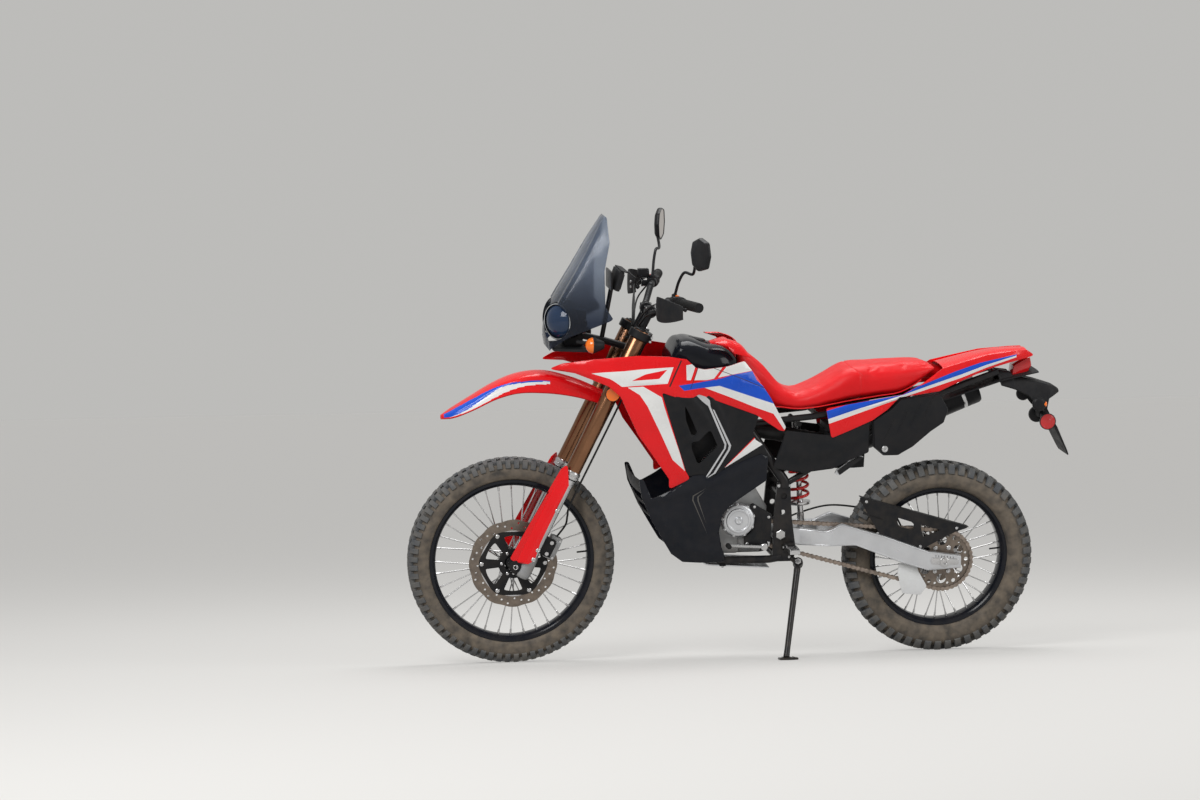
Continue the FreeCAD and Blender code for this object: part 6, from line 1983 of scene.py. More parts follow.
@dataclass
class Cockpit:
    """The bar with its pad, grips, switches, levers, guards, mirrors and cables, and the instruments."""

    bar_radius: float = 11.0
    bar: tuple[tuple[float, float, float], ...] = (
        (457, 0, 1182), (457, 78, 1182), (470, 118, 1196), (490, 168, 1230), (501, 200, 1240.3),
        (557, 405, 1246),
    )
    knee: tuple[float, float, float] = (497.0, 190.0, 1240.0)
    grip: float = 128.0
    bore: float = 11.4
    inboard: float = 46.0

    def build(self) -> None:
        """Makes the cockpit's pieces."""
        self.handlebar()
        self.grips()
        self.controls()
        self.guards()
        self.mirrors()
        self.cables()
        self.instruments()

    def end(self) -> tuple[Points, Points]:
        """The bar's right end and its direction there."""
        knee, end = np.array(self.knee), np.array(self.bar[-1])
        return end, unit(end - knee)

    def handlebar(self) -> None:
        """The bar, carried along its bent line on both sides."""
        line = spline(np.array(self.bar), 8)
        path = np.vstack([line[:0:-1] * [1, -1, 1], line])
        bag = MeshBag()
        bag.pipe(path, self.bar_radius - 0.1, SATIN_BLACK, 24, Z_AXIS)
        bag.build("tapered_handlebar", Body.STEERING, ("handlebar",), "black_alloy")

    def grips(self) -> None:
        """Waffled grips with flanged inner ends: the radius ripples along and around."""
        end, heading = self.end()
        bag = MeshBag()
        t = np.linspace(0, self.grip, 90)
        a = full_turn(48)
        along, around = np.sign(np.sin(t * 2 * np.pi / 6.5)), np.sign(np.sin(12 * a))
        ripple = 0.55 * along[:, None] * (around * 0.3 + 0.7)
        ripple *= ((t > 10) & (t < 120))[:, None]
        radius = 15.9 + ripple + 3.0 * (t < 5)[:, None]
        one, two = across(heading)
        ring = np.cos(a)[:, None] * one + np.sin(a)[:, None] * two
        start = end - heading * self.grip
        outer = start + heading * t[:, None, None] + radius[..., None] * ring
        inner = start + heading * t[::-1, None, None] + self.bore * ring
        bag.surface(np.concatenate([outer, inner, outer[:1]]), GRIP, wrap_columns=True)
        bag.mirror()
        bag.build("waffle_grips", Body.STEERING, ("grips",), "grip_rubber")

    def controls(self) -> None:
        """Switch housings, perches with reservoirs, dogleg levers with ball ends, and the red stop switch."""
        end, heading = self.end()
        bag = MeshBag()
        switch = end - heading * self.grip - heading * self.inboard
        for sign in (1, -1):
            flip = xyz(1, sign, 1)
            h, s0 = heading * flip, switch * flip
            bag.lathe([(self.bore, 0), (17, 0), (20, 3), (21, 10), (21, 36), (19, 43), (self.bore, 45)],
                      MATT_BLACK, s0, h, 32, closed=True)
            bag.block(s0 + h * 22 + [-8, 0, 12], (26, 38, 18), MATT_BLACK, 5)
            bag.block(s0 + h * 22 + [14, 0, 4], (14, 26, 22), MATT_BLACK, 4)
            bag.lathe([(self.bore, -26), (15, -26), (17, -24), (17, 0), (15, 2), (self.bore, 2)], SATIN_BLACK,
                      s0, h, 32, closed=True)
            bag.block(s0 - h * 12 + [-22, 0, -2], (26, 24, 20), SATIN_BLACK, 5)
            root = s0 + xyz(-34, 0, -4)
            path = spline([root - h * 6 + [4, 0, 0], root + h * 14 + [-3, 0, -1],
                           root + h * 60 + [-14, 0, -1], root + h * 110 + [-12, 0, -3],
                           root + h * 158 + [-4, 0, -4]], 8)
            size = np.interp(np.arange(len(path)), [0, 6, 16, 26, len(path) - 1], [5.5, 5.2, 5.4, 4.6, 4.4])
            bag.pipe(path, size, SATIN_BLACK, 14, Z_AXIS)
            bag.lathe([(0, -6.5), (4, -5), (6.4, 0), (4, 5), (0, 6.5)], SATIN_BLACK, path[-1], h, 20)
            bag.pipe([root + [0, 0, -11], root + [0, 0, 11]], 5.0, STEEL, 12)
        bag.block(xyz(480, 250, 1269), (40, 30, 28), SATIN_BLACK, 5)
        bag.block(xyz(480, 250, 1283), (37, 27, 4), MATT_BLACK, 2)
        for dx in (-14, 14):
            bag.lathe([(0, 0), (3.2, 0), (3.2, 2.4), (0, 2.6)], STEEL, xyz(480.0 + dx, 250, 1284.5), Z_AXIS,
                      12)
        bag.block(xyz(509, 244, 1262), (15, 16, 9), RED, 3)
        bag.block(xyz(512, -246, 1262), (12, 12, 8), AMBER, 3)
        bag.block(xyz(520, -250, 1248), (10, 18, 12), MATT_BLACK, 3)
        bag.build("hand_control_set", Body.STEERING, ("hand_controls",), "black_plastic")

    def guards(self) -> None:
        """The hand guards: a shield bent round the grip, deeper outboard, with its arm and its bolts."""
        bag = MeshBag()
        centre = xyz(575, 300, 1240)
        a = np.radians(np.linspace(122, 207, 40))
        s = np.linspace(-1, 1, 14)
        tall = 15 + 25 * np.sin(np.linspace(0.16, np.pi - 0.3, 40)) ** 0.8
        skins = []
        for radius in (139.8, 136.2):
            r = radius - 2.2 * np.abs(s) ** 3
            ring = np.stack([r * np.cos(a)[:, None], r * np.sin(a)[:, None], tall[:, None] * s - 9], -1)
            skins.append(centre + ring)
        keep = skins[0][:, 7, 1] > 226
        bag.shell(skins[0][keep], skins[1][keep], MATT_BLACK)
        arm = spline([[457, 229, 1222], [462, 236, 1226], [452, 242, 1228], [444, 262, 1228]], 6)
        bag.pipe(arm, 5.0, SATIN_BLACK, 12, Z_AXIS)
        for z in (1222, 1240):
            bag.lathe([(0, -3), (5, -3), (5, 1.5), (3, 2.6), (0, 2.6)], STEEL, xyz(440, 262, z), -X_AXIS, 12)
        bag.mirror()
        bag.build("hand_guard_shields", Body.STEERING, ("handguards",), "black_plastic")

    def mirrors(self) -> None:
        """Six-sided mirrors: a dished housing, the glass set in a lip, on a jointed stalk."""
        end, heading = self.end()
        foot = end - heading * (self.grip + self.inboard + 13) + xyz(0, 0, 14)
        stalk = spline([foot, foot + [4, 8, 24], foot + [10, 28, 58], foot + [22, 60, 90],
                        xyz(548, 332, 1346), xyz(548, 374, 1384)], 8)
        bag = MeshBag()
        bag.pipe(stalk, np.interp(np.arange(len(stalk)), [0, 4, 5, len(stalk) - 1], [6.5, 6.5, 4.8, 4.8]),
                 SATIN_BLACK, 14, X_AXIS)
        bag.lathe([(0, -4), (9, -4), (10, 0), (10, 9), (7, 12), (0, 12)], SATIN_BLACK, foot, Z_AXIS, 6)
        outline = rounded([(346, 1420), (358, 1457), (398, 1473), (446, 1461), (457, 1418), (443, 1377),
                           (392, 1363), (357, 1379)], 14, 5)
        middle = outline.mean(0)
        rows = []
        for scale, x in ((0.0, 548), (0.45, 547.6), (0.8, 549), (0.95, 553), (1.0, 559), (1.0, 566),
                         (0.985, 568), (0.95, 568), (0.94, 566.5)):
            ring = middle + (outline - middle) * scale
            rows.append(spread(x, ring[:, 0], ring[:, 1]))
        glass = middle + (outline - middle) * 0.94
        turn = math.radians(20)
        inward = np.array([[math.cos(turn), -math.sin(turn), 0], [math.sin(turn), math.cos(turn), 0],
                           [0, 0, 1]])
        pivot = xyz(558, middle[0], 0)
        bag.surface((np.stack(rows) - pivot) @ inward + pivot, SATIN_BLACK, wrap_columns=True)
        face = (spread(566.5, glass[:, 0], glass[:, 1]) - pivot) @ inward + pivot
        bag.add(face, [np.arange(len(glass))], MIRROR)
        bag.mirror()
        bag.build("hexagonal_mirrors", Body.STEERING, ("mirrors",), "mirror_housing")

    def cables(self) -> None:
        """The cables and hoses on the bar: from each control down beside the head tube."""
        bag = MeshBag()
        routes = (
            ((452, -246, 1236), (440, -200, 1226), (428, -116, 1192), (414, -44, 1146), (394, -34, 1080)),
            ((468, -262, 1226), (446, -212, 1206), (430, -122, 1178), (416, -58, 1136), (398, -48, 1080)),
            ((452, 246, 1236), (440, 196, 1228), (428, 110, 1194), (412, 40, 1146), (394, 34, 1080)),
            ((478, 250, 1252), (452, 236, 1226), (430, 150, 1180), (416, 74, 1134), (398, 52, 1082)),
            ((500, 262, 1232), (458, 212, 1196), (432, 122, 1168), (418, 58, 1124), (404, 44, 1086)),
        )
        for points, size in zip(routes, (2.6, 3.2, 2.6, 3.6, 2.8)):
            bag.pipe(spline(np.array(points, float), 10), size, HOSE, 10, X_AXIS)
        for y in (-41, 43):
            bag.block(xyz(396, y, 1084), (16, 30, 9), MATT_BLACK, 3)
        bag.build("control_cables", Body.STEERING, (), "black_plastic")

    def instruments(self) -> None:
        """The dash: a rounded case with a hooded display whose dial shows plain bars and four marks."""
        bag = MeshBag()
        tilt = math.radians(16)
        axes = (xyz(math.cos(tilt), 0, -math.sin(tilt)), Y_AXIS, xyz(math.sin(tilt), 0, math.cos(tilt)))
        middle = xyz(350, 0, 1287)
        bag.block(middle, (22, 142, 70), MATT_BLACK, 7, axes)
        face = middle + axes[0] * 11.2
        bag.block(face, (3, 122, 52), DIAL, 1.4, axes)
        for k in range(9):
            bag.block(face + axes[0] * 1.6 + Y_AXIS * (-40 + 10 * k) + axes[2] * (8 + 0.8 * k),
                      (0.8, 6, 7 + 1.6 * k), BRIGHT, 0.3, axes)
        for k, y in enumerate((-38, -14, 10, 34)):
            bag.block(face + axes[0] * 1.6 + Y_AXIS * y - axes[2] * 14, (0.8, 16, 9), BRIGHT, 0.3, axes)
        bag.block(middle + axes[2] * 36 + axes[0] * 8, (26, 146, 5), MATT_BLACK, 2.2, axes)
        bag.build("instrument_case", Body.ROOT, ("instrument_panel",), "black_plastic")


def bent(points: Points, radius: float, steps: int = 5) -> Points:
    """An open path whose inner corners are bent.

    Args:
        points: The path's corners.
        radius: The bends' radius.
        steps: Spans per bend.

    Returns:
        The bent path.
    """
    p = np.asarray(points, float)
    corners = rounded(p, radius, steps).reshape(len(p), steps + 1, -1)[1:-1]
    return np.vstack([p[:1], corners.reshape(-1, p.shape[1]), p[-1:]])


def shrunk(outline: Points, inset: float) -> Points:
    """An outline moved inwards: each place moves along the mean of its two sides' inward directions."""
    ahead, behind = np.roll(outline, -1, 0) - outline, outline - np.roll(outline, 1, 0)
    u, v = outline[:, 0], outline[:, 1]
    turn = np.sign((u * np.roll(v, -1) - np.roll(u, -1) * v).sum())
    side = unit(unit(ahead) + unit(behind)) * turn
    return outline + inset * np.stack([-side[:, 1], side[:, 0]], 1)


def pillow(bag: MeshBag, outline: Points, low: float, high: float, finish: Finish, edge: float = 3.0) -> None:
    """A solid across the motorcycle whose side view is the outline and whose rims are chamfered.

    Args:
        bag: Where it goes.
        outline: The outline's places as (x, z).
        low: Its left face's y.
        high: Its right face's y.
        finish: Its finish.
        edge: The chamfer's width.
    """
    rows = []
    for y, inset in ((low, edge), (low + edge * 0.3, edge * 0.3), (low + edge, 0), (high - edge, 0),
                     (high - edge * 0.3, edge * 0.3), (high, edge)):
        rows.append(standing(shrunk(outline, inset), y))
    bag.surface(np.stack(rows), finish, wrap_columns=True, caps=True)


def bolt(bag: MeshBag, place: Points, axis: Points, size: float = 5.0, finish: Finish = STEEL) -> None:
    """A flanged hexagon bolt's head."""
    bag.lathe([(0, -2), (size * 1.35, -2), (size * 1.35, 0.8), (size, 1.2), (size, size * 0.8),
               (size * 0.8, size), (0, size)], finish, place, axis, 6)


@dataclass
class Engine:
    """The single-cylinder engine: case, barrel, head, covers, hoses, radiator and the plate beneath."""

    left: tuple[float, float] = (750.0, 483.0)
    right: tuple[float, float] = (755.0, 470.0)

    def build(self) -> None:
        """Makes the engine's pieces."""
        self.block()
        self.covers()
        self.radiator()
        self.skid_plate()

    def block(self) -> None:
        """The case halves with their seam, the barrel with its gasket lines, the head and its cover."""
        bag = MeshBag()
        case = rounded([(655, 425), (700, 365), (830, 363), (850, 400), (855, 520), (812, 590), (715, 605),
                        (665, 560), (642, 490)], 16)
        narrow = rounded([(655, 425), (700, 365), (758, 364), (758, 598), (715, 605), (665, 560), (642, 490)],
                         12)
        pillow(bag, case, -58, 71, CAST, 6)
        pillow(bag, narrow, -71, -56, CAST, 4)
        pillow(bag, shrunk(case, -1.4), -2.2, 2.2, CAST, 0.6)
        for x, z in ((668, 440), (700, 378), (760, 372), (820, 372), (838, 420), (842, 500), (810, 576),
                     (720, 592), (668, 548)):
            bag.lathe(drum(0, 6.5, -8, 8), CAST, xyz(x, 0, z), Y_AXIS, 12)
        pillow(bag, rounded([(667, 566), (788, 592), (763, 733), (642, 714)], 8), -56, 56, SILVER, 5)
        tilt = unit(xyz(-0.17, 0, 0.985))
        fore = np.cross(Y_AXIS, tilt)
        for share in (0.2, 0.36, 0.52, 0.68):
            middle = xyz(722, 0, 578) + tilt * 150 * share
            bag.block(middle, (124, 116, 3), SILVER, 1.4, (fore, Y_AXIS, tilt))
        pillow(bag, rounded([(634, 706), (768, 725), (757, 812), (720, 829), (642, 815), (627, 780)], 14),
               -64, 64, CAST, 7)
        pillow(bag, rounded([(640, 768), (755, 784), (750, 808), (718, 822), (648, 808), (636, 786)], 10),
               -65.5, 65.5, SATIN_BLACK, 6)
        for y in (-54, 54):
            for x, z in ((650, 806), (716, 820)):
                bolt(bag, xyz(x, y, z), Z_AXIS, 5)
        bag.lathe([(0, -30), (8, -30), (8, 0), (10, 2), (10, 14), (5, 16), (5, 24), (0, 24)], SATIN_BLACK,
                  xyz(702, -50, 770), unit([-0.1, -0.8, 0.6]), 16)
        bag.build("engine_block", Body.ROOT, ("engine",), "engine_alloy", 0.0)
        gear = Drive()
        x, z = gear.drive
        wheel = MeshBag()
        outline = gear.teeth(np.array(gear.drive), gear.front_teeth)
        wheel.plate(outline, gear.chain_y - 3, gear.chain_y + 3, STEEL, [circle(x, z, 8, 16)], 30)
        wheel.pipe([[x, -84, z], [x, -56, z]], 12.5, STEEL, 20, Z_AXIS)
        bolt(wheel, xyz(x, -84, z), -Y_AXIS, 7)
        wheel.build("drive_sprocket", Body.ROOT, (), "bright_steel", 0.4)

    def covers(self) -> None:
        """The round left cover, the right clutch cover with its pump, and the sprocket's cover."""
        bag = MeshBag()
        centre = xyz(self.left[0], 0, self.left[1])
        bag.lathe([(0, 87.5), (56, 87.5), (56, 103), (53.5, 108), (50, 110), (42, 112), (41, 113.5),
                   (40.5, 117), (38.5, 118), (34.5, 118), (33, 117), (32.5, 114), (30, 113.2), (14, 112.4),
                   (12, 114), (11, 117), (9, 117.6), (6, 117.6), (5.5, 115.5), (0, 115.5)], SILVER, centre,
                  -Y_AXIS, 80)
        ring = circle(*self.left, 55.5, 64)
        pillow(bag, ring[ring[:, 0] < 763], -88, -72.3, SILVER, 2)
        for k in range(9):
            angle = 2 * math.pi * (k + 0.35) / 9
            spot = centre + wheel_place(51.5, angle)
            bag.lathe([(0, 86), (7.5, 88), (7.5, 104), (6, 106), (0, 106)], SILVER, spot, -Y_AXIS, 20)
            bolt(bag, spot - Y_AXIS * 106, -Y_AXIS, 3.6)
        other = xyz(self.right[0], 0, self.right[1])
        bag.lathe([(0, 72.4), (78, 72.4), (78, 84), (75, 90), (66, 94), (62, 101), (58, 105), (50, 107),
                   (44, 107.6), (43, 104), (34, 103), (33, 107), (0, 107.8)], SILVER, other, Y_AXIS, 80)
        for k in range(10):
            angle = 2 * math.pi * (k + 0.2) / 10
            spot = other + wheel_place(71.5, angle)
            bag.lathe([(0, 74), (6.5, 74), (6.5, 92), (5.5, 93.5), (0, 93.5)], SILVER, spot, Y_AXIS, 16)
            bolt(bag, spot + Y_AXIS * 93.5, Y_AXIS, 3.6)
        bag.lathe([(0, 72.4), (28, 72.4), (28, 84), (25, 89), (14, 92), (12, 91), (0, 91)], SILVER,
                  xyz(715, 0, 538), Y_AXIS, 48)
        case = rounded([(772, 392), (863, 392), (865, 499), (800, 539), (790, 530), (807, 483), (796, 440),
                        (772, 424)], 8)
        pillow(bag, case, -98.6, -87.4, SATIN_BLACK, 2.5)
        for x in (818, 832, 846):
            bag.block(xyz(x, -98.4, 455), (4, 2, 70), SATIN_BLACK, 0.9)
        for x, z in ((782, 401), (855, 402), (855, 490), (806, 526)):
            bolt(bag, xyz(x, -98.4, z), -Y_AXIS, 4)
        bag.build("engine_cover_set", Body.ROOT, ("engine_covers",), "silver_alloy", 0.3)

    def radiator(self) -> None:
        """The radiator: a core with fine fins, its tanks, its cap, a hose to the head and the fan's ring."""
        bag = MeshBag()
        bag.block(xyz(495, -83, 800), (26, 106, 168), MATT_BLACK, 2)
        for z in np.linspace(722, 878, 53):
            bag.block(xyz(495, -83, z), (31, 100, 1.0), SILVER, 0.4, steps=3)
        for z in (709, 891):
            bag.block(xyz(495, -83, z), (33, 109, 18), SILVER, 5)
        for y in (-30.5, -135.5):
            bag.block(xyz(495, y, 800), (32, 5, 190), SILVER, 1.5)
        bag.block(xyz(488, -18, 845), (22, 26, 12), SATIN_BLACK, 3)
        bag.lathe([(44, 513), (47, 511), (47, 521), (44, 522)], SATIN_BLACK, xyz(0, -83, 800), X_AXIS, 48,
                  closed=True)
        for k in range(5):
            angle = 2 * math.pi * k / 5
            one = xyz(0, math.cos(angle), math.sin(angle))
            bag.block(xyz(516, -83, 800) + one * 24, (7, 40, 15), SATIN_BLACK, 2,
                      (X_AXIS, one, np.cross(X_AXIS, one)))
        bag.lathe([(0, 508), (11, 508), (11, 521), (9, 523), (0, 523)], SATIN_BLACK, xyz(0, -83, 800), X_AXIS,
                  24)
        bag.pipe(spline([(508, -60, 889), (540, -56, 886), (585, -50, 850), (622, -45, 800), (650, -44, 782)],
                        8), 10, HOSE, 16)
        bag.pipe(spline([(508, -60, 711), (540, -70, 690), (580, -78, 640), (640, -76, 590), (690, -72, 560)],
                        8), 9, HOSE, 16)
        bag.build("radiator_assembly", Body.ROOT, ("radiator",), "silver_alloy")

    def skid_plate(self) -> None:
        """The plate under the engine: a folded sheet with pressed ribs, and its bolts."""
        bag = MeshBag()
        line = bent([(597, 0, 393.5), (638, 0, 331.5), (860, 0, 316)], 40, 8)
        y = np.linspace(-92, 92, 61)
        run = np.concatenate([[0], np.cumsum(np.linalg.norm(np.diff(line, axis=0), axis=1))])
        t = np.linspace(0, run[-1], 70)
        path = np.stack([np.interp(t, run, line[:, k]) for k in range(3)], 1)
        slope = unit(np.gradient(path, axis=0))
        normal = np.cross(Y_AXIS, slope)
        press = 1.8 * (np.abs((y[None] + 92) % 46 - 23) < 7) * ((t > 40) & (t < run[-1] - 30))[:, None]
        flat = path[:, None] + Y_AXIS * y[None, :, None]
        low, high = (flat - normal[:, None] * (press + side)[..., None] for side in (-1.9, 1.9))
        bag.shell(low, high, SILVER)
        for side in (-88, 88):
            bag.block(xyz(701, side, 329), (22, 16, 7), SATIN_BLACK, 1.5)
            bolt(bag, xyz(701, side, 324), -Z_AXIS, 4.5)
        bag.build("engine_skid_plate", Body.ROOT, ("skid_plate",), "silver_alloy")


@dataclass
class Chassis:
    """The frame, its rear rails, the swingarm and shock, the guards, pegs, levers, caliper and side stand."""

    pivot: tuple[float, float] = (895.0, 430.0)
    stand_pivot: tuple[float, float, float] = (950.0, -130.0, 340.0)
    stand_foot: tuple[float, float] = (880.0, -305.0)
    stand_fold: tuple[float, float, float] = (0.985, -0.10, 0.14)

    def build(self) -> None:
        """Makes the chassis pieces."""
        self.frame()
        self.subframe()
        self.swingarm()
        self.shock()
        self.axles()
        self.stand()
        self.pegs()
        self.levers()
        self.guards()
        self.caliper()

    def stand_axes(self) -> tuple[Points, Points, Points]:
        """The stand's pivot, its foot on the floor and its axis, found as the frame finds them."""
        pivot = np.array(self.stand_pivot)
        lift = TREAD_HALF * math.sin(LEAN)
        floor = (-lift - self.stand_foot[1] * math.sin(LEAN)) / math.cos(LEAN)
        foot = xyz(self.stand_foot[0], self.stand_foot[1], floor)
        return pivot, foot, unit(np.cross(foot - pivot, unit(self.stand_fold)))

    def frame(self) -> None:
        """Head tube, spars, down tube, cradle, pierced pivot plates, gusset and the stand's bracket."""
        bag = MeshBag()
        low, high = 724.0, 857.0
        bag.lathe([(15.2, low), (28, low), (28.5, low + 10), (26, low + 13), (26, high - 13),
                   (28.5, high - 10), (28, high), (15.2, high)], PAINTED_STEEL, head_point(0), UP, 48,
                  closed=True)
        down = bent([head_point(low + 34, 0, 14), (470, 0, 860), (575, 0, 700), (598, 0, 630)], 80)
        bag.pipe(down, 19, PAINTED_STEEL, 20)
        spar = ((428, 12, 992), (600, 72, 915), (775, 96, 800), (908, 92, 610), (908, 92, 590))
        cradle = ((590, 14, 645), (625, 70, 520), (662, 88, 345), (860, 90, 345), (900, 92, 352))
        plate = rounded([(870, 338), (940, 338), (948, 380), (934, 480), (926, 610), (884, 610), (872, 480)],
                        8)
        holes = [circle(905, 560, 11, 20), circle(903, 505, 9, 20), circle(908, 385, 8, 20)]
        for sign in BOTH_SIDES:
            bag.pipe(bent(spar, 60) * sign, 17, PAINTED_STEEL, 18)
            bag.pipe(bent(cradle, 60) * sign, 13, PAINTED_STEEL, 16)
            bag.plate(plate, 86 * sign[1], 98 * sign[1], PAINTED_STEEL, holes)
            for x, z in ((888, 596), (920, 596), (884, 352), (928, 352)):
                bolt(bag, xyz(x, 98, z) * sign, Y_AXIS * sign[1], 4.5)
        bag.pipe([[905.0, -90, 560], [905, 90, 560]], 12.6, PAINTED_STEEL, 16, Z_AXIS)
        bag.pipe([[885.0, -90, 350], [885, 90, 350]], 10.8, PAINTED_STEEL, 16, Z_AXIS)
        gusset = rounded([(430, 985), (560, 915), (600, 880), (560, 800), (500, 850), (440, 930)], 10)
        bag.plate(gusset, -7, 7, PAINTED_STEEL, [circle(515, 895, 12, 20), circle(552, 860, 9, 20)])
        pivot, _, axis = self.stand_axes()
        bag.lathe(drum(0, 6, -20, 14), STEEL, pivot, axis, 20)
        bag.lathe([(0, 8), (11, 8), (11, 12.6), (9, 14), (0, 14)], STEEL, pivot, axis, 6)
        bag.lathe(drum(0, 17, -17.5, -7.6), PAINTED_STEEL, pivot, axis, 28)
        bag.pipe([xyz(930, -92, 352), pivot - axis * 13], 9, PAINTED_STEEL, 16)
        bag.build("cradle_frame", Body.ROOT, ("main_frame",), "black_paint", 0.0)

    def subframe(self) -> None:
        """The rear rails with their struts, cross tubes and mounts."""
        bag = MeshBag()
        upper = bent([(770, 90, 806), (1000, 84, 826), (1400, 78, 884), (1640, 52, 960)], 80)
        strut = bent([(912, 90, 600), (1150, 84, 740), (1375, 78, 872)], 80)
        bag.pipe(upper, 11, PAINTED_STEEL, 16)
        bag.pipe(strut, 10, PAINTED_STEEL, 16)
        for x, z in ((1110, 838), (1031, 670)):
            bag.lathe(drum(0, 8, 80, 104), PAINTED_STEEL, xyz(x, 0, z), Y_AXIS, 16)
        bag.mirror()
        for x, z, reach in ((1380, 884, 78), (1630, 957, 54), (1020, 829, 84)):
            bag.pipe([[x, -reach, z], [x, reach, z]], 8.8, PAINTED_STEEL, 16, Z_AXIS)
        bag.build("rear_rails", Body.ROOT, ("rear_subframe",), "black_paint")

    def swingarm(self) -> None:
        """The swingarm: box arms with rolled edges and pressed flanks, a bridge and the pivot tube."""
        x = np.linspace(869, 1512, 110)
        inner = np.interp(x, (868, 960, 1060, 1515), (58.5, 58.5, 88.5, 92.5))
        outer = np.interp(x, (868, 960, 1060, 1515), (83.5, 83.5, 115.5, 117.5))
        top = np.interp(x, (868, 880, 895, 960, 1050, 1104, 1250, 1400, 1513),
                        (432, 448, 456.5, 446, 439, 462, 418, 362, 345))
        bottom = np.interp(x, (868, 880, 895, 960, 1150, 1300, 1400, 1513),
                           (428, 412, 403.5, 388, 388, 328, 296, 303))
        a = full_turn(56)
        c, s = np.cos(a), np.sin(a)
        wide, tall = powered(c, 0.3), powered(s, 0.3)
        flank = (c > 0) * np.exp(-((s / 0.62) ** 6)) * ((x > 1010) & (x < 1395))[:, None] * 2.6
        y = (inner + outer)[:, None] / 2 + (outer - inner)[:, None] / 2 * wide - flank
        z = (top + bottom)[:, None] / 2 + (top - bottom)[:, None] / 2 * tall
        bag = MeshBag()
        bag.surface(spread(x[:, None], y, z), SILVER, wrap_columns=True, caps=True)
        slot = rounded([(1408, 318), (1504, 314), (1504, 336), (1408, 342)], 8)
        pillow(bag, slot, 116.5, 119.5, STEEL, 0.8)
        for k in range(7):
            bag.block(xyz(1425.0 + 10 * k, 118.6, 347 - 1.3 * k), (1.4, 1.2, 7), SATIN_BLACK, 0.3)
        bag.pipe([[1500.0, 105, 324], [1513.5, 105, 324]], 5, STEEL, 6)
        bag.mirror()
        bag.lathe([(10.2, -84), (24, -84), (27, -80), (27, 80), (24, 84), (10.2, 84)], SILVER,
                  xyz(self.pivot[0], 0, self.pivot[1]), Y_AXIS, 40, closed=True)
        bag.block(xyz(967.5, 0, 416), (45, 136, 47), SILVER, 8)
        bag.block(xyz(985, 0, 428), (26, 34, 22), SILVER, 4)
        bag.build("alloy_swingarm", Body.ROOT, ("swingarm",), "silver_alloy")

    def shock(self) -> None:
        """The shock: a body, a wound spring, collars, and the top mount's cross tube."""
        bag = MeshBag()
        low, high = xyz(985, 0, 441), xyz(962, 0, 800)
        axis = unit(high - low)
        bag.lathe([(0, 0), (12, 0), (12, 42), (10, 44), (10, 70), (33, 72), (35, 75), (35, 82), (10, 84),
                   (9, 150), (9, 180), (22, 182), (24, 186), (24, 312), (14, 318), (14, 368), (0, 368)],
                  STEEL, low, axis, 48)
        bag.lathe([(24, 286), (34, 286), (35.4, 288), (35.4, 298), (34, 300), (24, 300)], SATIN_BLACK, low,
                  axis, 48, closed=True)
        turns = np.linspace(0, 6.6 * 2 * np.pi, 200)
        one, two = across(axis)
        climb = 86 + 198 * turns / turns[-1]
        ring = np.cos(turns)[:, None] * one + np.sin(turns)[:, None] * two
        coil = low + axis * climb[:, None] + 29.5 * ring
        bag.pipe(coil, 5.2, SPRING, 12, axis)
        bag.lathe(drum(0, 8.6, -76, 76), PAINTED_STEEL, xyz(958, 0, 800), Y_AXIS, 20)
        bag.build("rear_shock_unit", Body.ROOT, ("rear_shock",), "bright_steel")

    def axles(self) -> None:
        """Both wheel axles and the pivot's bolt, with their nuts and hollow ends."""
        front, rear, pivot = MeshBag(), MeshBag(), MeshBag()
        front.lathe(drum(5.5, 8.5, -126, 126), STEEL, FRONT_AXLE, Y_AXIS, 32, closed=True)
        front.build("front_axle_bar", Body.STEERING, ("front_axle",), "bright_steel", 0.4)
        rear.lathe(drum(6.5, 10, -126, 126), STEEL, REAR_AXLE, Y_AXIS, 32, closed=True)
        for sign in (-1, 1):
            rear.lathe([(10.2, 119.6), (20, 119.6), (20, 121.6), (17, 122), (17, 125), (15.5, 125.8),
                        (10.2, 125.8)], STEEL, REAR_AXLE, Y_AXIS * sign, 6, closed=True)
        rear.build("rear_axle_bar", Body.ROOT, ("rear_axle",), "bright_steel", 0.4)
        place = xyz(self.pivot[0], 0, self.pivot[1])
        pivot.lathe(drum(0, 10, -104, 104), STEEL, place, Y_AXIS, 24)
        for sign in (-1, 1):
            pivot.lathe([(0, 98.3), (17, 98.3), (17, 104.5), (15, 106), (0, 106)], STEEL, place,
                        Y_AXIS * sign, 6)
        pivot.build("swingarm_pivot_bolt", Body.ROOT, ("swingarm_pivot",), "bright_steel")

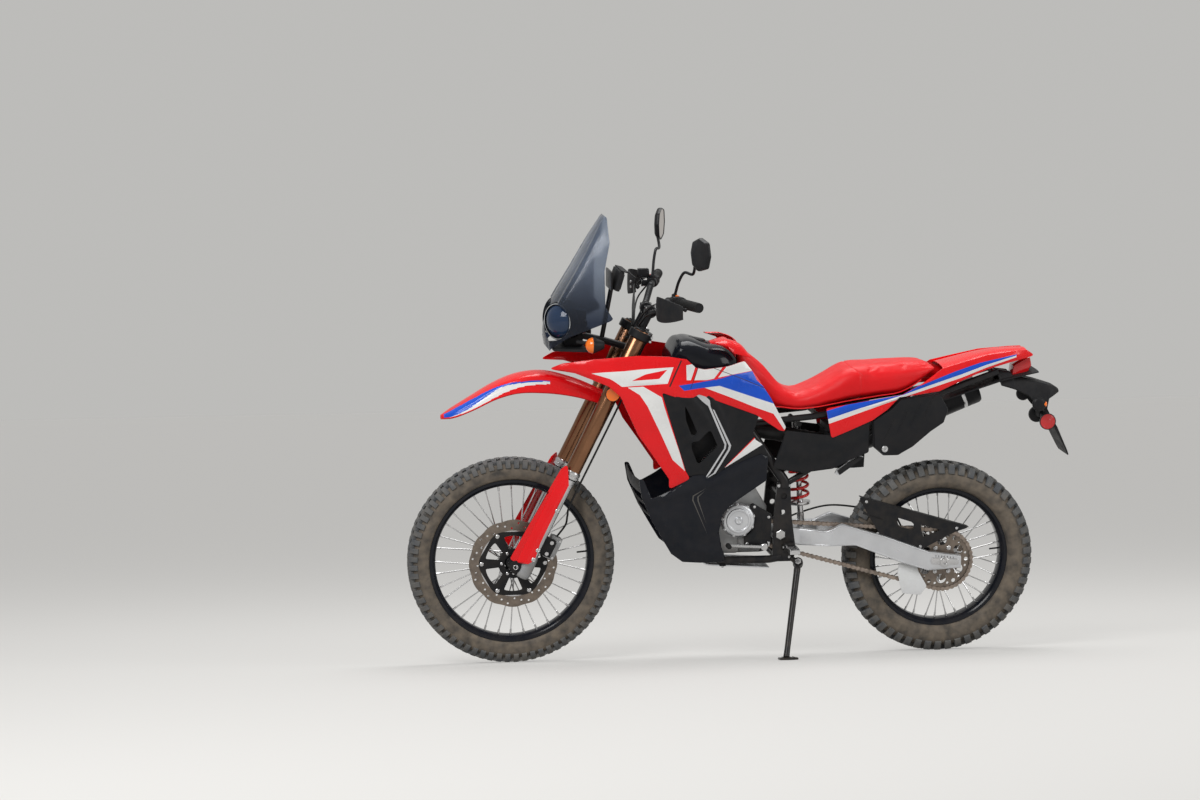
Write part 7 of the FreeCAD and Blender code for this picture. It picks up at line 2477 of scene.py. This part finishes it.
    def stand(self) -> None:
        """The side stand: a forged lug and tongue, a tapered leg, the spring's hook and the foot's plate."""
        pivot, foot, axis = self.stand_axes()
        run = unit(foot - pivot)
        up = xyz(0, math.sin(LEAN), math.cos(LEAN))
        bag = MeshBag()
        bag.lathe([(6.1, -7), (15, -7), (16, -6), (16, 6), (15, 7), (6.1, 7)], PAINTED_STEEL, pivot, axis, 36,
                  closed=True)
        bag.block(pivot + run * 28, (26, 13, 23), PAINTED_STEEL, 4, (run, axis, np.cross(run, axis)))
        end = foot + up * 9
        t = np.linspace(0, 1, 12)[:, None]
        path = (pivot + run * 26) * (1 - t) + end * t
        bag.pipe(path, np.interp(t[:, 0], [0, 0.08, 0.9, 1], [10.9, 10.9, 9.6, 10.6]), PAINTED_STEEL, 20)
        side = np.cross(up, X_AXIS)
        bag.block(foot + up * 4.5 + X_AXIS * 6, (63, 45, 9), PAINTED_STEEL, 3.4, (X_AXIS, side, up))
        for k in (-12, 0, 12, 24):
            bag.block(foot + up * 9.4 + X_AXIS * k, (3, 38, 2), PAINTED_STEEL, 0.8, (X_AXIS, side, up))
        hook = pivot + run * 60 - axis * 11
        bag.pipe([hook, hook - axis * 7], 3, STEEL, 10)
        bag.build("side_stand_leg", Body.STAND, ("side_stand",), "black_paint")

    def pegs(self) -> None:
        """The foot pegs: toothed rails round a slotted tread, on forged hinges with their pins."""
        bag = MeshBag()
        for x in (910.5, 941.5):
            bag.block(xyz(x, 156, 388), (4, 86, 15), STEEL, 1.5)
            for y in np.arange(119, 198, 8.6):
                bag.block(xyz(x, y, 396.4), (3.6, 4.6, 5), STEEL, 1.2, steps=4)
        for y in (118, 137, 157, 177, 197):
            bag.block(xyz(926, y, 386), (32, 4, 10), STEEL, 1.5)
            bag.block(xyz(926, y, 392.5), (26, 3, 7), STEEL, 1.2, steps=4)
        bag.block(xyz(923, 110, 389), (40, 22, 32), PAINTED_STEEL, 6)
        bag.pipe([[900.5, 112, 389.0], [945.5, 112, 389.0]], 4.5, STEEL, 12)
        bag.mirror()
        bag.build("toothed_foot_pegs", Body.ROOT, ("foot_pegs",), "bright_steel")
        bracket = MeshBag()
        outline = rounded([(1112, 711), (1141, 729), (1157, 691), (1179, 689), (1093, 625), (1077, 631),
                           (1085, 646), (1123, 672)], 4)
        bracket.plate(outline, 88.4, 96, SILVER,
                      [rounded([(1120, 708), (1138, 718), (1148, 694), (1132, 686)], 3, 2)])
        tread = rounded([(1086, 642), (1093, 628), (1176, 687), (1158, 689), (1128, 673)], 3)
        bracket.plate(tread, 95, 103.6, MATT_BLACK)
        bracket.mirror()
        bracket.build("pillion_peg_brackets", Body.ROOT, (), "silver_alloy")

    def levers(self) -> None:
        """The gear lever with its rubber toe piece, and the brake pedal with its toothed pad."""
        bag = MeshBag()
        left = bent([(838, -112, 392), (760, -118, 398), (715, -122, 402)], 14)
        bag.pipe(left, 6, STEEL, 14)
        bag.lathe([(0, -1), (8.5, -1), (8.5, 3), (7.6, 5), (8.5, 7), (7.6, 9), (8.5, 11), (7.6, 13),
                   (8.5, 15), (7.6, 17), (8.5, 19), (8.5, 25), (7, 28), (0, 28)], GRIP, xyz(713, -122, 402),
                  -Y_AXIS, 20)
        bag.lathe([(0, 99.3), (9, 99.3), (12, 104), (12, 116), (10, 117.6), (0, 117.6)], STEEL,
                  xyz(838, 0, 392), -Y_AXIS, 24)
        bolt(bag, xyz(852, -110, 398), X_AXIS, 4)
        right = bent([(892, 112, 372), (830, 118, 368), (770, 124, 392), (735, 124, 396)], 14)
        bag.pipe(right, 6.8, STEEL, 14)
        bag.block(xyz(733, 139, 398), (26, 24, 7), STEEL, 2)
        for y in (129, 134, 139, 144, 149):
            bag.block(xyz(733, y, 402), (24, 2, 3.4), STEEL, 0.8, steps=4)
        bag.lathe([(0, 98.4), (10, 98.4), (12, 104), (12, 117), (0, 118)], STEEL, xyz(892, 0, 372), Y_AXIS,
                  24)
        bag.build("foot_lever_pair", Body.ROOT, ("foot_levers",), "silver_alloy")

    def guards(self) -> None:
        """The pierced chain guard with its flange over the chain and its bolts, and the pale lower guide."""
        bag = MeshBag()
        outline = rounded([(1160, 552), (1548, 438), (1498, 424.5), (1381, 366.5), (1240, 415.5),
                           (1206, 470)], 7)
        holes = [
            rounded([(1292, 478), (1352, 458), (1352, 432), (1300, 446)], 6),
            rounded([(1374, 452), (1440, 432), (1440, 428), (1384, 408)], 5),
        ]
        bag.plate(outline, -95.8, -92.2, MATT_BLACK, holes)
        run = unit(xyz(1542 - 1168, 0, 440 - 551.0))
        middle = xyz(1355, -79.5, 493.5)
        bag.block(middle, (389, 33, 3.8), MATT_BLACK, 1.5, (run, Y_AXIS, np.cross(run, Y_AXIS)))
        for x, z in ((1188, 534), (1228, 424), (1376, 376), (1500, 436)):
            bolt(bag, xyz(x, -95.4, z), -Y_AXIS, 4)
        bag.block(xyz(1222, -94.9, 480), (8, 1.8, 96), MATT_BLACK, 0.8,
                  (unit([0.35, 0, 1]), Y_AXIS, unit([1, 0, -0.35])))
        guide = rounded([(1305, 322), (1300, 285), (1318, 215), (1380, 208), (1402, 238), (1372, 290),
                         (1368, 306)], 8)
        pillow(bag, guide, -93, -88.4, GUIDE_WHITE, 1.2)
        bag.block(xyz(1350, -91, 262), (60, 5, 5), GUIDE_WHITE, 2)
        bag.build("chain_guard_set", Body.ROOT, ("chain_guards",), "black_plastic")

    def caliper(self) -> None:
        """The rear caliper: its body over the disc, piston bosses, pins and hose."""
        bag = MeshBag()
        bag.block(xyz(1376, 83, 386), (46, 16, 50), SATIN_BLACK, 5)
        bag.block(xyz(1373, 53, 386), (42, 17, 50), SATIN_BLACK, 5)
        bag.block(xyz(1360, 68, 388), (14, 36, 46), SATIN_BLACK, 3)
        bag.lathe([(0, 90), (14, 90), (14, 93), (12, 94.6), (0, 94.6)], SATIN_BLACK, xyz(1376, 0, 386),
                  Y_AXIS, 28)
        for z in (368, 404):
            bag.lathe(drum(0, 4, 44, 94), STEEL, xyz(1362, 0, z), Y_AXIS, 12)
        hose = spline([(1356, 86, 400), (1320, 90, 450), (1220, 90, 474), (1100, 78, 490), (1000, 72, 470),
                       (930, 80, 440)], 10)
        bag.pipe(hose, 3.2, HOSE, 10)
        bag.build("rear_brake_caliper", Body.ROOT, ("rear_caliper",), "black_alloy")


@dataclass
class Exhaust:
    """The header, the link pipe and the muffler with its heat shield and end cap."""

    start: tuple[float, float, float] = (1208.0, 152.0, 706.0)
    end: tuple[float, float, float] = (1620.0, 154.0, 872.0)

    def build(self) -> None:
        """Makes the pipe and the muffler."""
        path = bent([(640, 30, 770), (566, 52, 760), (556, 70, 660), (640, 97, 587), (790, 97, 583),
                     (885, 130, 592), (1010, 138, 630), (1120, 146, 672), (1171, 149, 691)], 50, 8)
        bag = MeshBag()
        bag.pipe(path, 16.9, STEEL, 24, Z_AXIS * 0.3 + Y_AXIS * 0.954)
        bag.lathe(drum(17, 27, -5, 4), STEEL, path[0] - [8, -2, 1], unit(path[1] - path[0]), 32, closed=True)
        spot, ahead = path[len(path) // 2 : len(path) // 2 + 2]
        bag.lathe(drum(17, 19.5, -5, 5), STEEL, spot, unit(ahead - spot), 32, closed=True)
        bag.build("exhaust_header", Body.ROOT, ("exhaust_pipe",), "bright_steel")
        start, end = np.array(self.start), np.array(self.end)
        axis = unit(end - start)
        length = float(np.linalg.norm(end - start))
        can = MeshBag()
        can.lathe([(0, -38), (21, -38), (22, -34), (22, 0), (40, 6), (47, 16), (49.4, 30),
                   (49.4, length - 34), (49.9, length - 32), (49.9, length - 10), (46, length - 2),
                   (38, length), (26, length), (24, length - 5), (24, length - 26), (0, length - 26)],
                  SATIN_BLACK, start, axis, 64)
        can.lathe(drum(18, 21.5, length - 30, length - 1), STEEL, start, axis, 40, closed=True)
        for spot in (64, 250, length - 60):
            can.lathe([(49.4, spot - 6), (50.0, spot - 5), (50.0, spot + 5), (49.4, spot + 6)], STEEL, start,
                      axis, 64)
        for k in range(14):
            place = start + axis * (96 + 20 * k) + Y_AXIS * 49.2
            can.block(place, (12, 1.6, 26), MATT_BLACK, 0.7, (axis, Y_AXIS, np.cross(axis, Y_AXIS)), 4)
        can.block(xyz(1393, 94, 835), (16, 32, 68), PAINTED_STEEL, 3)
        can.build("muffler_can", Body.ROOT, ("muffler",), "black_paint")


@dataclass
class Middle:
    """The tank, the airbox, the tool box and the stays between them."""

    def build(self) -> None:
        """Makes the middle's pieces."""
        self.tank()
        self.boxes()
        self.tool_box()
        self.stay()

    def tank(self) -> None:
        """The tank: crowned sections along its length, the filler's cap, and the red nose piece."""
        x = np.linspace(521, 741, 60)
        top = smooth_rows([521, 540, 570, 650, 735, 741], [1040.0, 1078, 1091, 1072, 1045, 1038], x)
        bottom = np.interp(x, (521, 600, 700, 742), (996, 941, 868, 852))
        half = smooth_rows([521, 545, 600, 700, 741], [94.0, 108, 117, 112, 92], x)
        a = full_turn(48)
        c, s = np.cos(a)[None], np.sin(a)[None]
        y = half[:, None] * powered(c, 0.6)
        z = (top + bottom)[:, None] / 2 + (top - bottom)[:, None] / 2 * powered(s, 0.55)
        bag = MeshBag()
        bag.surface(spread(x[:, None], y, z), GLOSS_BLACK, wrap_columns=True, caps=True)
        for place, reach in ((xyz(560, 0, 985), 172), (xyz(690, 0, 955), 152)):
            for sign in (-1, 1):
                bag.lathe(drum(0, 9, 80, reach), SATIN_BLACK, place, Y_AXIS * sign, 16)
        cap = xyz(620, 0, 1079)
        tilt = unit([0.22, 0, 1])
        bag.lathe([(0, -8), (38, -8), (38, 0), (36, 2), (31, 2.4), (30, 5.5), (28, 7), (0, 7.4)], SATIN_BLACK,
                  cap, tilt, 56)
        one, two = across(tilt)
        for k in range(6):
            angle = math.pi * k / 3
            bag.lathe([(0, 0), (3, 0), (3, 3), (0, 3.2)], STEEL,
                      cap + 34 * (math.cos(angle) * one + math.sin(angle) * two), tilt, 12)
        bag.block(cap + tilt * 8, (34, 12, 4), STEEL, 1.8, (np.cross(Y_AXIS, tilt), Y_AXIS, tilt))
        bag.build("fuel_tank_shell", Body.ROOT, ("fuel_tank",), "gloss_black")
        nose = MeshBag()
        x = np.linspace(664, 744, 20)
        top = smooth_rows([664, 690, 720, 744], [1074.0, 1080, 1083, 1062], x)
        half = smooth_rows([664, 700, 744], [34.0, 66, 58], x)
        s = np.linspace(-1, 1, 21)
        y = half[:, None] * s
        outer = spread(x[:, None], y, top[:, None] - 26 * s**4 - 6 * s**2)
        nose.shell(outer, outer - Z_AXIS * 5, RED)
        x = np.linspace(664, 783, 30)
        low = np.interp(x, (662, 705, 729, 783), (1086, 1072, 1048, 1034))
        high = smooth_rows([662, 721, 768, 783], [1090.0, 1087, 1060, 1040], x) + 1.5
        s = np.linspace(0, 1, 9)
        y = 116 - 46 * s**1.5
        z = low[:, None] + (high - low)[:, None] * np.sin(s * np.pi / 2)
        wing = spread(x[:, None], y, z)
        for side in BOTH_SIDES:
            skin = np.concatenate([wing, (wing - [0, 3.0, 1.5])[:, ::-1]], 1) * side
            nose.surface(skin if side[1] > 0 else skin[:, ::-1], RED, wrap_columns=True, caps=True)
        nose.build("tank_nose_piece", Body.ROOT, (), "red_plastic", 0.8)

    def boxes(self) -> None:
        """The airbox with its lid, clips and intake to the engine."""
        bag = MeshBag()
        bag.block(xyz(1121, 0, 718), (136, 134, 154), MATT_BLACK, 12)
        bag.block(xyz(1121, 0, 772), (139, 138, 6), MATT_BLACK, 2.5)
        for x in (1075, 1121, 1167):
            for sign in (-1, 1):
                bag.block(xyz(x, sign * 67.4, 768), (12, 5, 24), STEEL, 1.6, steps=4)
        boot = spline([(1056, -6, 730), (1000, -34, 742), (900, -36, 762), (800, -20, 775), (745, 0, 775)], 8)
        bag.pipe(boot, 26 + 1.2 * np.cos(np.arange(len(boot)) * 2.0), HOSE, 24)
        bag.build("air_filter_box", Body.ROOT, ("airbox",), "black_plastic", 0.0)

    def tool_box(self) -> None:
        """The lockable tool box: a lid stepped from its tray, four ribs, the hinge and the lock."""
        bag = MeshBag()
        outline = rounded([(1200, 812), (1262, 852), (1294, 884), (1350, 890), (1430, 899), (1460, 845),
                           (1445, 800), (1400, 770), (1340, 720), (1290, 692), (1240, 692), (1205, 722)], 12)
        pillow(bag, outline, -106, -92, SATIN_BLACK, 2)
        pillow(bag, shrunk(outline, 2.5), -118, -107.4, SATIN_BLACK, 4)
        pillow(bag, shrunk(outline, 5), -108, -105, MATT_BLACK, 0.5)
        for k in range(4):
            start = xyz(1236.0 + 46 * k, -117.6, 742 + 26 * k)
            end = start + xyz(34, 0, 78)
            bag.pipe([start, start * 0.1 + end * 0.9, end], (1.5, 2.4, 1.5), SATIN_BLACK, 8)
        lock = xyz(1243, -118, 716)
        bag.lathe([(0, -2), (11, -2), (11, 0), (9.5, 1.4), (5, 1.4), (4.6, 0.2), (0, 0.2)], STEEL, lock,
                  -Y_AXIS, 32)
        bag.block(lock - Y_AXIS * 0.4, (1.6, 1.8, 7), SATIN_BLACK, 0.4, steps=4)
        bag.block(xyz(1448, -112, 848), (9, 10, 26), MATT_BLACK, 3)
        bag.build("lockable_tool_box", Body.ROOT, ("tool_box",), "black_plastic")

    def stay(self) -> None:
        """The tubes that hold the front housing and the instruments."""
        bag = MeshBag()
        stem = head_point(809, 0, -26.4)
        bag.pipe([stem, xyz(300, 0, 1085)], 11.9, PAINTED_STEEL, 18)
        bag.pipe([[305.0, 0, 1083], [236.4, 0, 1100]], 11.9, PAINTED_STEEL, 18)
        bag.pipe([[300.0, 0, 1080], [332, 0, 1254]], 7.9, PAINTED_STEEL, 16)
        bag.block(xyz(326, 0, 1287), (7, 119, 62), PAINTED_STEEL, 2)
        bag.build("fairing_stay_tubes", Body.ROOT, ("fairing_stay",), "black_paint")


@dataclass
class Tail:
    """The rear mudguard with its wing, the blank plate on its holder, the lamp, reflectors and signals."""

    def build(self) -> None:
        """Makes the tail's pieces."""
        self.under()
        self.mudguard()
        self.lamp()
        self.signals()

    def under(self) -> None:
        """The tray under the seat and tail: a folded sheet."""
        bag = MeshBag()
        line = bent([(1191, 0, 777), (1301, 0, 809), (1421, 0, 859), (1660, 0, 935), (1780, 0, 960)], 60, 5)
        y = np.linspace(-62, 62, 31)
        droop = -3.0 * (np.abs(y) / 62) ** 4
        high = line[:, None] + np.stack([0 * y, y, droop + 2.0], 1)
        low = line[:, None] + np.stack([0 * y, y, droop - 1.5], 1)
        bag.shell(high, low, MATT_BLACK)
        bag.build("under_tail_tray", Body.ROOT, ("under_tail",), "black_plastic")

    def mudguard(self) -> None:
        """The wing: a creased arch over the wheel, drawn to a point, and the blade that holds the plate."""
        bag = MeshBag()
        x = np.concatenate([np.linspace(1641, 1850, 60), [1858]])
        top = np.interp(x, (1640, 1690, 1700, 1780, 1840, 1860), (961, 954, 940, 924, 907, 894))
        bottom = np.interp(x, (1640, 1655, 1700, 1750, 1790, 1815, 1820, 1860),
                           (958, 919, 906, 881, 833, 836, 871, 892.6))
        half = smooth_rows([1640, 1700, 1790, 1830, 1858], [50.0, 59.5, 59.5, 52, 34], x)
        s = np.linspace(-1, 1, 41)
        y = half[:, None] * s
        skirt = np.clip((np.abs(s) - 0.72) / 0.28, 0, 1) ** 1.5
        crown = top[:, None] - 4 * s**2 - (top - bottom)[:, None] * 0.98 * skirt
        crown += 2.6 * np.exp(-(((np.abs(s) - 0.45) / 0.06) ** 2)) * np.clip((1840 - x) / 80, 0, 1)[:, None]
        bag.shell(spread(x[:, None], y, crown), spread(x[:, None], y * 0.93, crown - 4.5), MATT_BLACK)
        blade = drawn((1794, 850), (1809, 850), (1891, 673), (1888, 671))
        t = np.linspace(0, 1, 24)
        fore = blade[0] + (blade[3] - blade[0]) * t[:, None]
        back = blade[1] + (blade[2] - blade[1]) * t[:, None]
        wide = np.interp(t, (0, 0.2, 0.4, 0.93, 1.0), (34, 40, 68, 68, 60))
        ring = [standing(p, sign * wide) for p, sign in ((fore, -1), (back, -1), (back, 1), (fore, 1))]
        bag.surface(np.stack(ring, 1), MATT_BLACK, wrap_columns=True, caps=True)
        for sign in (-1, 1):
            bag.block(xyz(1800, sign * 40, 862), (26, 12, 34), MATT_BLACK, 4)
        bag.build("rear_mudguard_wing", Body.ROOT, ("rear_mudguard",), "black_plastic")
        plate = MeshBag()
        down = unit(xyz(1889.0 - 1809, 0, 672 - 850))
        out = xyz(-down[2], 0, down[0])
        middle = xyz(1866, 0, 727) + out * 1.5
        plate.block(middle, (98, 124, 1.6), PLATE, 0.7, (down, Y_AXIS, out))
        for y in (-42, 42):
            plate.lathe([(0, 0), (4.5, 0), (4.5, 2), (3, 3), (0, 3)], STEEL, middle - down * 38 + Y_AXIS * y,
                        out, 12)
        plate.build("blank_number_plate", Body.ROOT, (), "silver_alloy")

    def lamp(self) -> None:
        """The tail lamp: a red lens with inner ribs, and the round reflectors in their cups."""
        bag = MeshBag()
        outline = rounded([(1697, 941), (1701, 975), (1757, 1006), (1763, 975), (1747, 951)], 5)
        pillow(bag, outline, -29.6, 29.6, RED_LENS, 3)
        for y in np.linspace(-22, 22, 9):
            bag.block(xyz(1752, y, 972), (8, 1.6, 34), RED_LENS, 0.7, steps=4)
        bag.build("tail_lamp_lens", Body.ROOT, ("tail_lamp",), "red_lens")
        cup = MeshBag()
        for sign in (-1, 1):
            place = xyz(1812, sign * 63, 790)
            cup.lathe([(0, 0), (22, 0), (27, 3), (28, 8), (28, 12), (26, 13), (25.6, 10), (0, 10)],
                      SATIN_BLACK, place, Y_AXIS * sign, 40)
            r = np.linspace(25.4, 0, 22)
            face = 11.4 + 1.6 * np.sqrt(1 - (r / 26) ** 2) + 0.25 * np.cos(r * 2.0)
            cup.lathe(np.vstack([[(0, 9.6), (25.4, 9.6)], np.stack([r, face], 1)]), RED_LENS, place,
                      Y_AXIS * sign, 40)
            cup.block(xyz(1808, sign * 36, 798), (14, 58, 16), MATT_BLACK, 3)
        cup.build("rear_round_reflectors", Body.ROOT, (), "red_lens")

    def signals(self) -> None:
        """The rear signals: domed orange lenses on black bodies and ribbed rubber arms."""
        bag = MeshBag()
        for sign in (-1, 1):
            arm = np.array([[1776, 50, 862], [1776, 74, 861], [1775, 100, 860]], float) * [1, sign, 1]
            ribbed_arm(bag, arm, 0.6)
            centre = xyz(1772, sign * 105, 856)
            bag.lathe([(0, -8), (17, -8), (22, -5), (24, 0), (24, 4), (23, 5), (0, 5)], SATIN_BLACK, centre,
                      Y_AXIS * sign, 40)
            dome = dome_profile(22.5, 22.6, 5.0, 7.5, 9)
            bag.lathe(np.vstack([[(0, 4)], [(22.5, 4)], dome]), SATIN_BLACK, centre, Y_AXIS * sign, 40)
            bag.lathe([(0, 0), (9, 0), (9, 23), (6, 25.6), (0, 26.5)], AMBER, centre + Y_AXIS * sign * 1.5,
                      X_AXIS, 32)
        bag.build("rear_signal_lamps", Body.ROOT, ("rear_signals",), "amber_lens")


@dataclass
class Stage:
    """The pale floor, the soft lights and the camera at the photograph's place."""

    view_turn: float = math.radians(8.5)
    view_roll: float = math.radians(1.15)
    pixels_per_metre: float = 298.3
    image: tuple[float, float] = (1200.0, 800.0)
    origin_pixel: tuple[float, float] = (510.7, 660.7)
    distance: float = 13.0
    sensor: float = 36.0
    floor_half: float = 400.0
    floor_colour: tuple[float, float, float] = (0.32, 0.315, 0.305)
    floor_glow: float = 0.36
    floor_tint: tuple[float, float, float] = (0.95, 0.94, 0.92)
    floor_roughness: float = 0.9
    sky_colour: tuple[float, float, float] = (0.965, 0.957, 0.93)
    sky_light: float = 0.42
    sky_glow: float = 0.106
    sight: float = 900.0

    def build(self) -> None:
        """Makes the stage, which isn't part of the object."""
        self.ground()
        self.world()
        self.lights()
        self.camera()

    def ground(self) -> None:
        """A wide flat floor that meets the sky's like tone far off, so that every side can be seen."""
        half = self.floor_half
        mesh = bpy.data.meshes.new("studio_floor")
        mesh.from_pydata([(-half, -half, 0), (half, -half, 0), (half, half, 0), (-half, half, 0)], [],
                         [(0, 1, 2, 3)])
        mesh.materials.append(self.pale())
        floor = bpy.data.objects.new("studio_floor", mesh)
        bpy.context.scene.collection.objects.link(floor)

    def pale(self) -> bpy.types.Material:
        """The floor's pale paint: it glows a little where it is seen, and keeps its shadow."""
        made = bpy.data.materials.new("studio_pale")
        made.use_nodes = True
        tree = made.node_tree
        shader = tree.nodes["Principled BSDF"]
        shader.inputs["Base Color"].default_value = (*self.floor_colour, 1)
        shader.inputs["Roughness"].default_value = self.floor_roughness
        shader.inputs["Emission Color"].default_value = (*self.floor_tint, 1)
        tree.links.new(seen_rays(tree, self.floor_glow), shader.inputs["Emission Strength"])
        return made

    def world(self) -> None:
        """A soft even sky: bright where it is seen, plainer as a light."""
        world = bpy.data.worlds.new("studio_sky")
        bpy.context.scene.world = world
        world.use_nodes = True
        tree = world.node_tree
        sky = tree.nodes["Background"]
        sky.inputs["Color"].default_value = (*self.sky_colour, 1)
        strength = reckoned(tree, "ADD", seen_rays(tree, self.sky_glow), self.sky_light)
        tree.links.new(strength, sky.inputs["Strength"])

    @staticmethod
    def lights() -> None:
        """A large key light before the left side, a fill from the rear and a light from above."""
        for name, place, aim, size, power in (
            ("key", (-3.6, -5.0, 4.6), (0, 0, 0.6), 3.2, 330),
            ("fill", (5.2, -3.6, 2.6), (0, 0, 0.7), 3.0, 110),
            ("top", (0.6, 1.2, 5.6), (0, 0, 0.6), 3.4, 170),
        ):
            data = bpy.data.lights.new(name, "AREA")
            data.size = size
            data.energy = power
            lamp = bpy.data.objects.new(name, data)
            lamp.location = place
            lamp.rotation_euler = (Vector(aim) - Vector(place)).to_track_quat("-Z", "Y").to_euler()
            bpy.context.scene.collection.objects.link(lamp)

    def camera(self) -> None:
        """The camera, turned and tipped sideways as the photograph's is, and framed by its scale."""
        ahead = Vector((math.sin(self.view_turn), math.cos(self.view_turn), 0))
        level, upright = Vector((math.cos(self.view_turn), -math.sin(self.view_turn), 0)), Vector((0, 0, 1))
        right = level * math.cos(self.view_roll) - upright * math.sin(self.view_roll)
        up = upright * math.cos(self.view_roll) + level * math.sin(self.view_roll)
        start = Vector(ORIGIN * MM)
        shift = [(size / 2 - pixel) / self.pixels_per_metre
                 for size, pixel in zip(self.image, self.origin_pixel)]
        aim = start + right * shift[0] - up * shift[1]
        camera = bpy.data.objects.new("photograph_camera", bpy.data.cameras.new("photograph_camera"))
        camera.data.sensor_width = self.sensor
        camera.data.lens = self.sensor * self.distance * self.pixels_per_metre / self.image[0]
        camera.data.clip_end = self.sight
        camera.location = aim - ahead * self.distance
        camera.rotation_euler = Matrix((right, up, -ahead)).transposed().to_euler()
        bpy.context.scene.collection.objects.link(camera)
        bpy.context.scene.camera = camera


def seen_rays(tree: bpy.types.NodeTree, strength: float) -> bpy.types.NodeSocket:
    """A strength for camera, glossy and transmission rays, and nothing for the rest."""
    path = tree.nodes.new("ShaderNodeLightPath")
    total = 0.0
    for name in ("Is Camera Ray", "Is Glossy Ray", "Is Transmission Ray"):
        total = reckoned(tree, "MAXIMUM", path.outputs[name], total)
    return reckoned(tree, "MULTIPLY", total, strength)


def main() -> None:
    """Builds the looks in order around the frame."""
    logging.basicConfig(level=logging.INFO, format="%(name)s: %(message)s")
    bpy.context.scene.view_settings.view_transform = "Standard"
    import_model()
    Stage().build()
    assemblies = (
        FRONT_WHEEL, REAR_WHEEL, Drive(), Bodywork(), FrontMudguard(), Screen(), Seat(), Fork(), Cockpit(),
        Engine(), Chassis(), Exhaust(), Middle(), Tail(),
    )
    for assembly in assemblies:
        log.info("building %s", type(assembly).__name__)
        assembly.build()


if __name__ == "__main__":
    main()
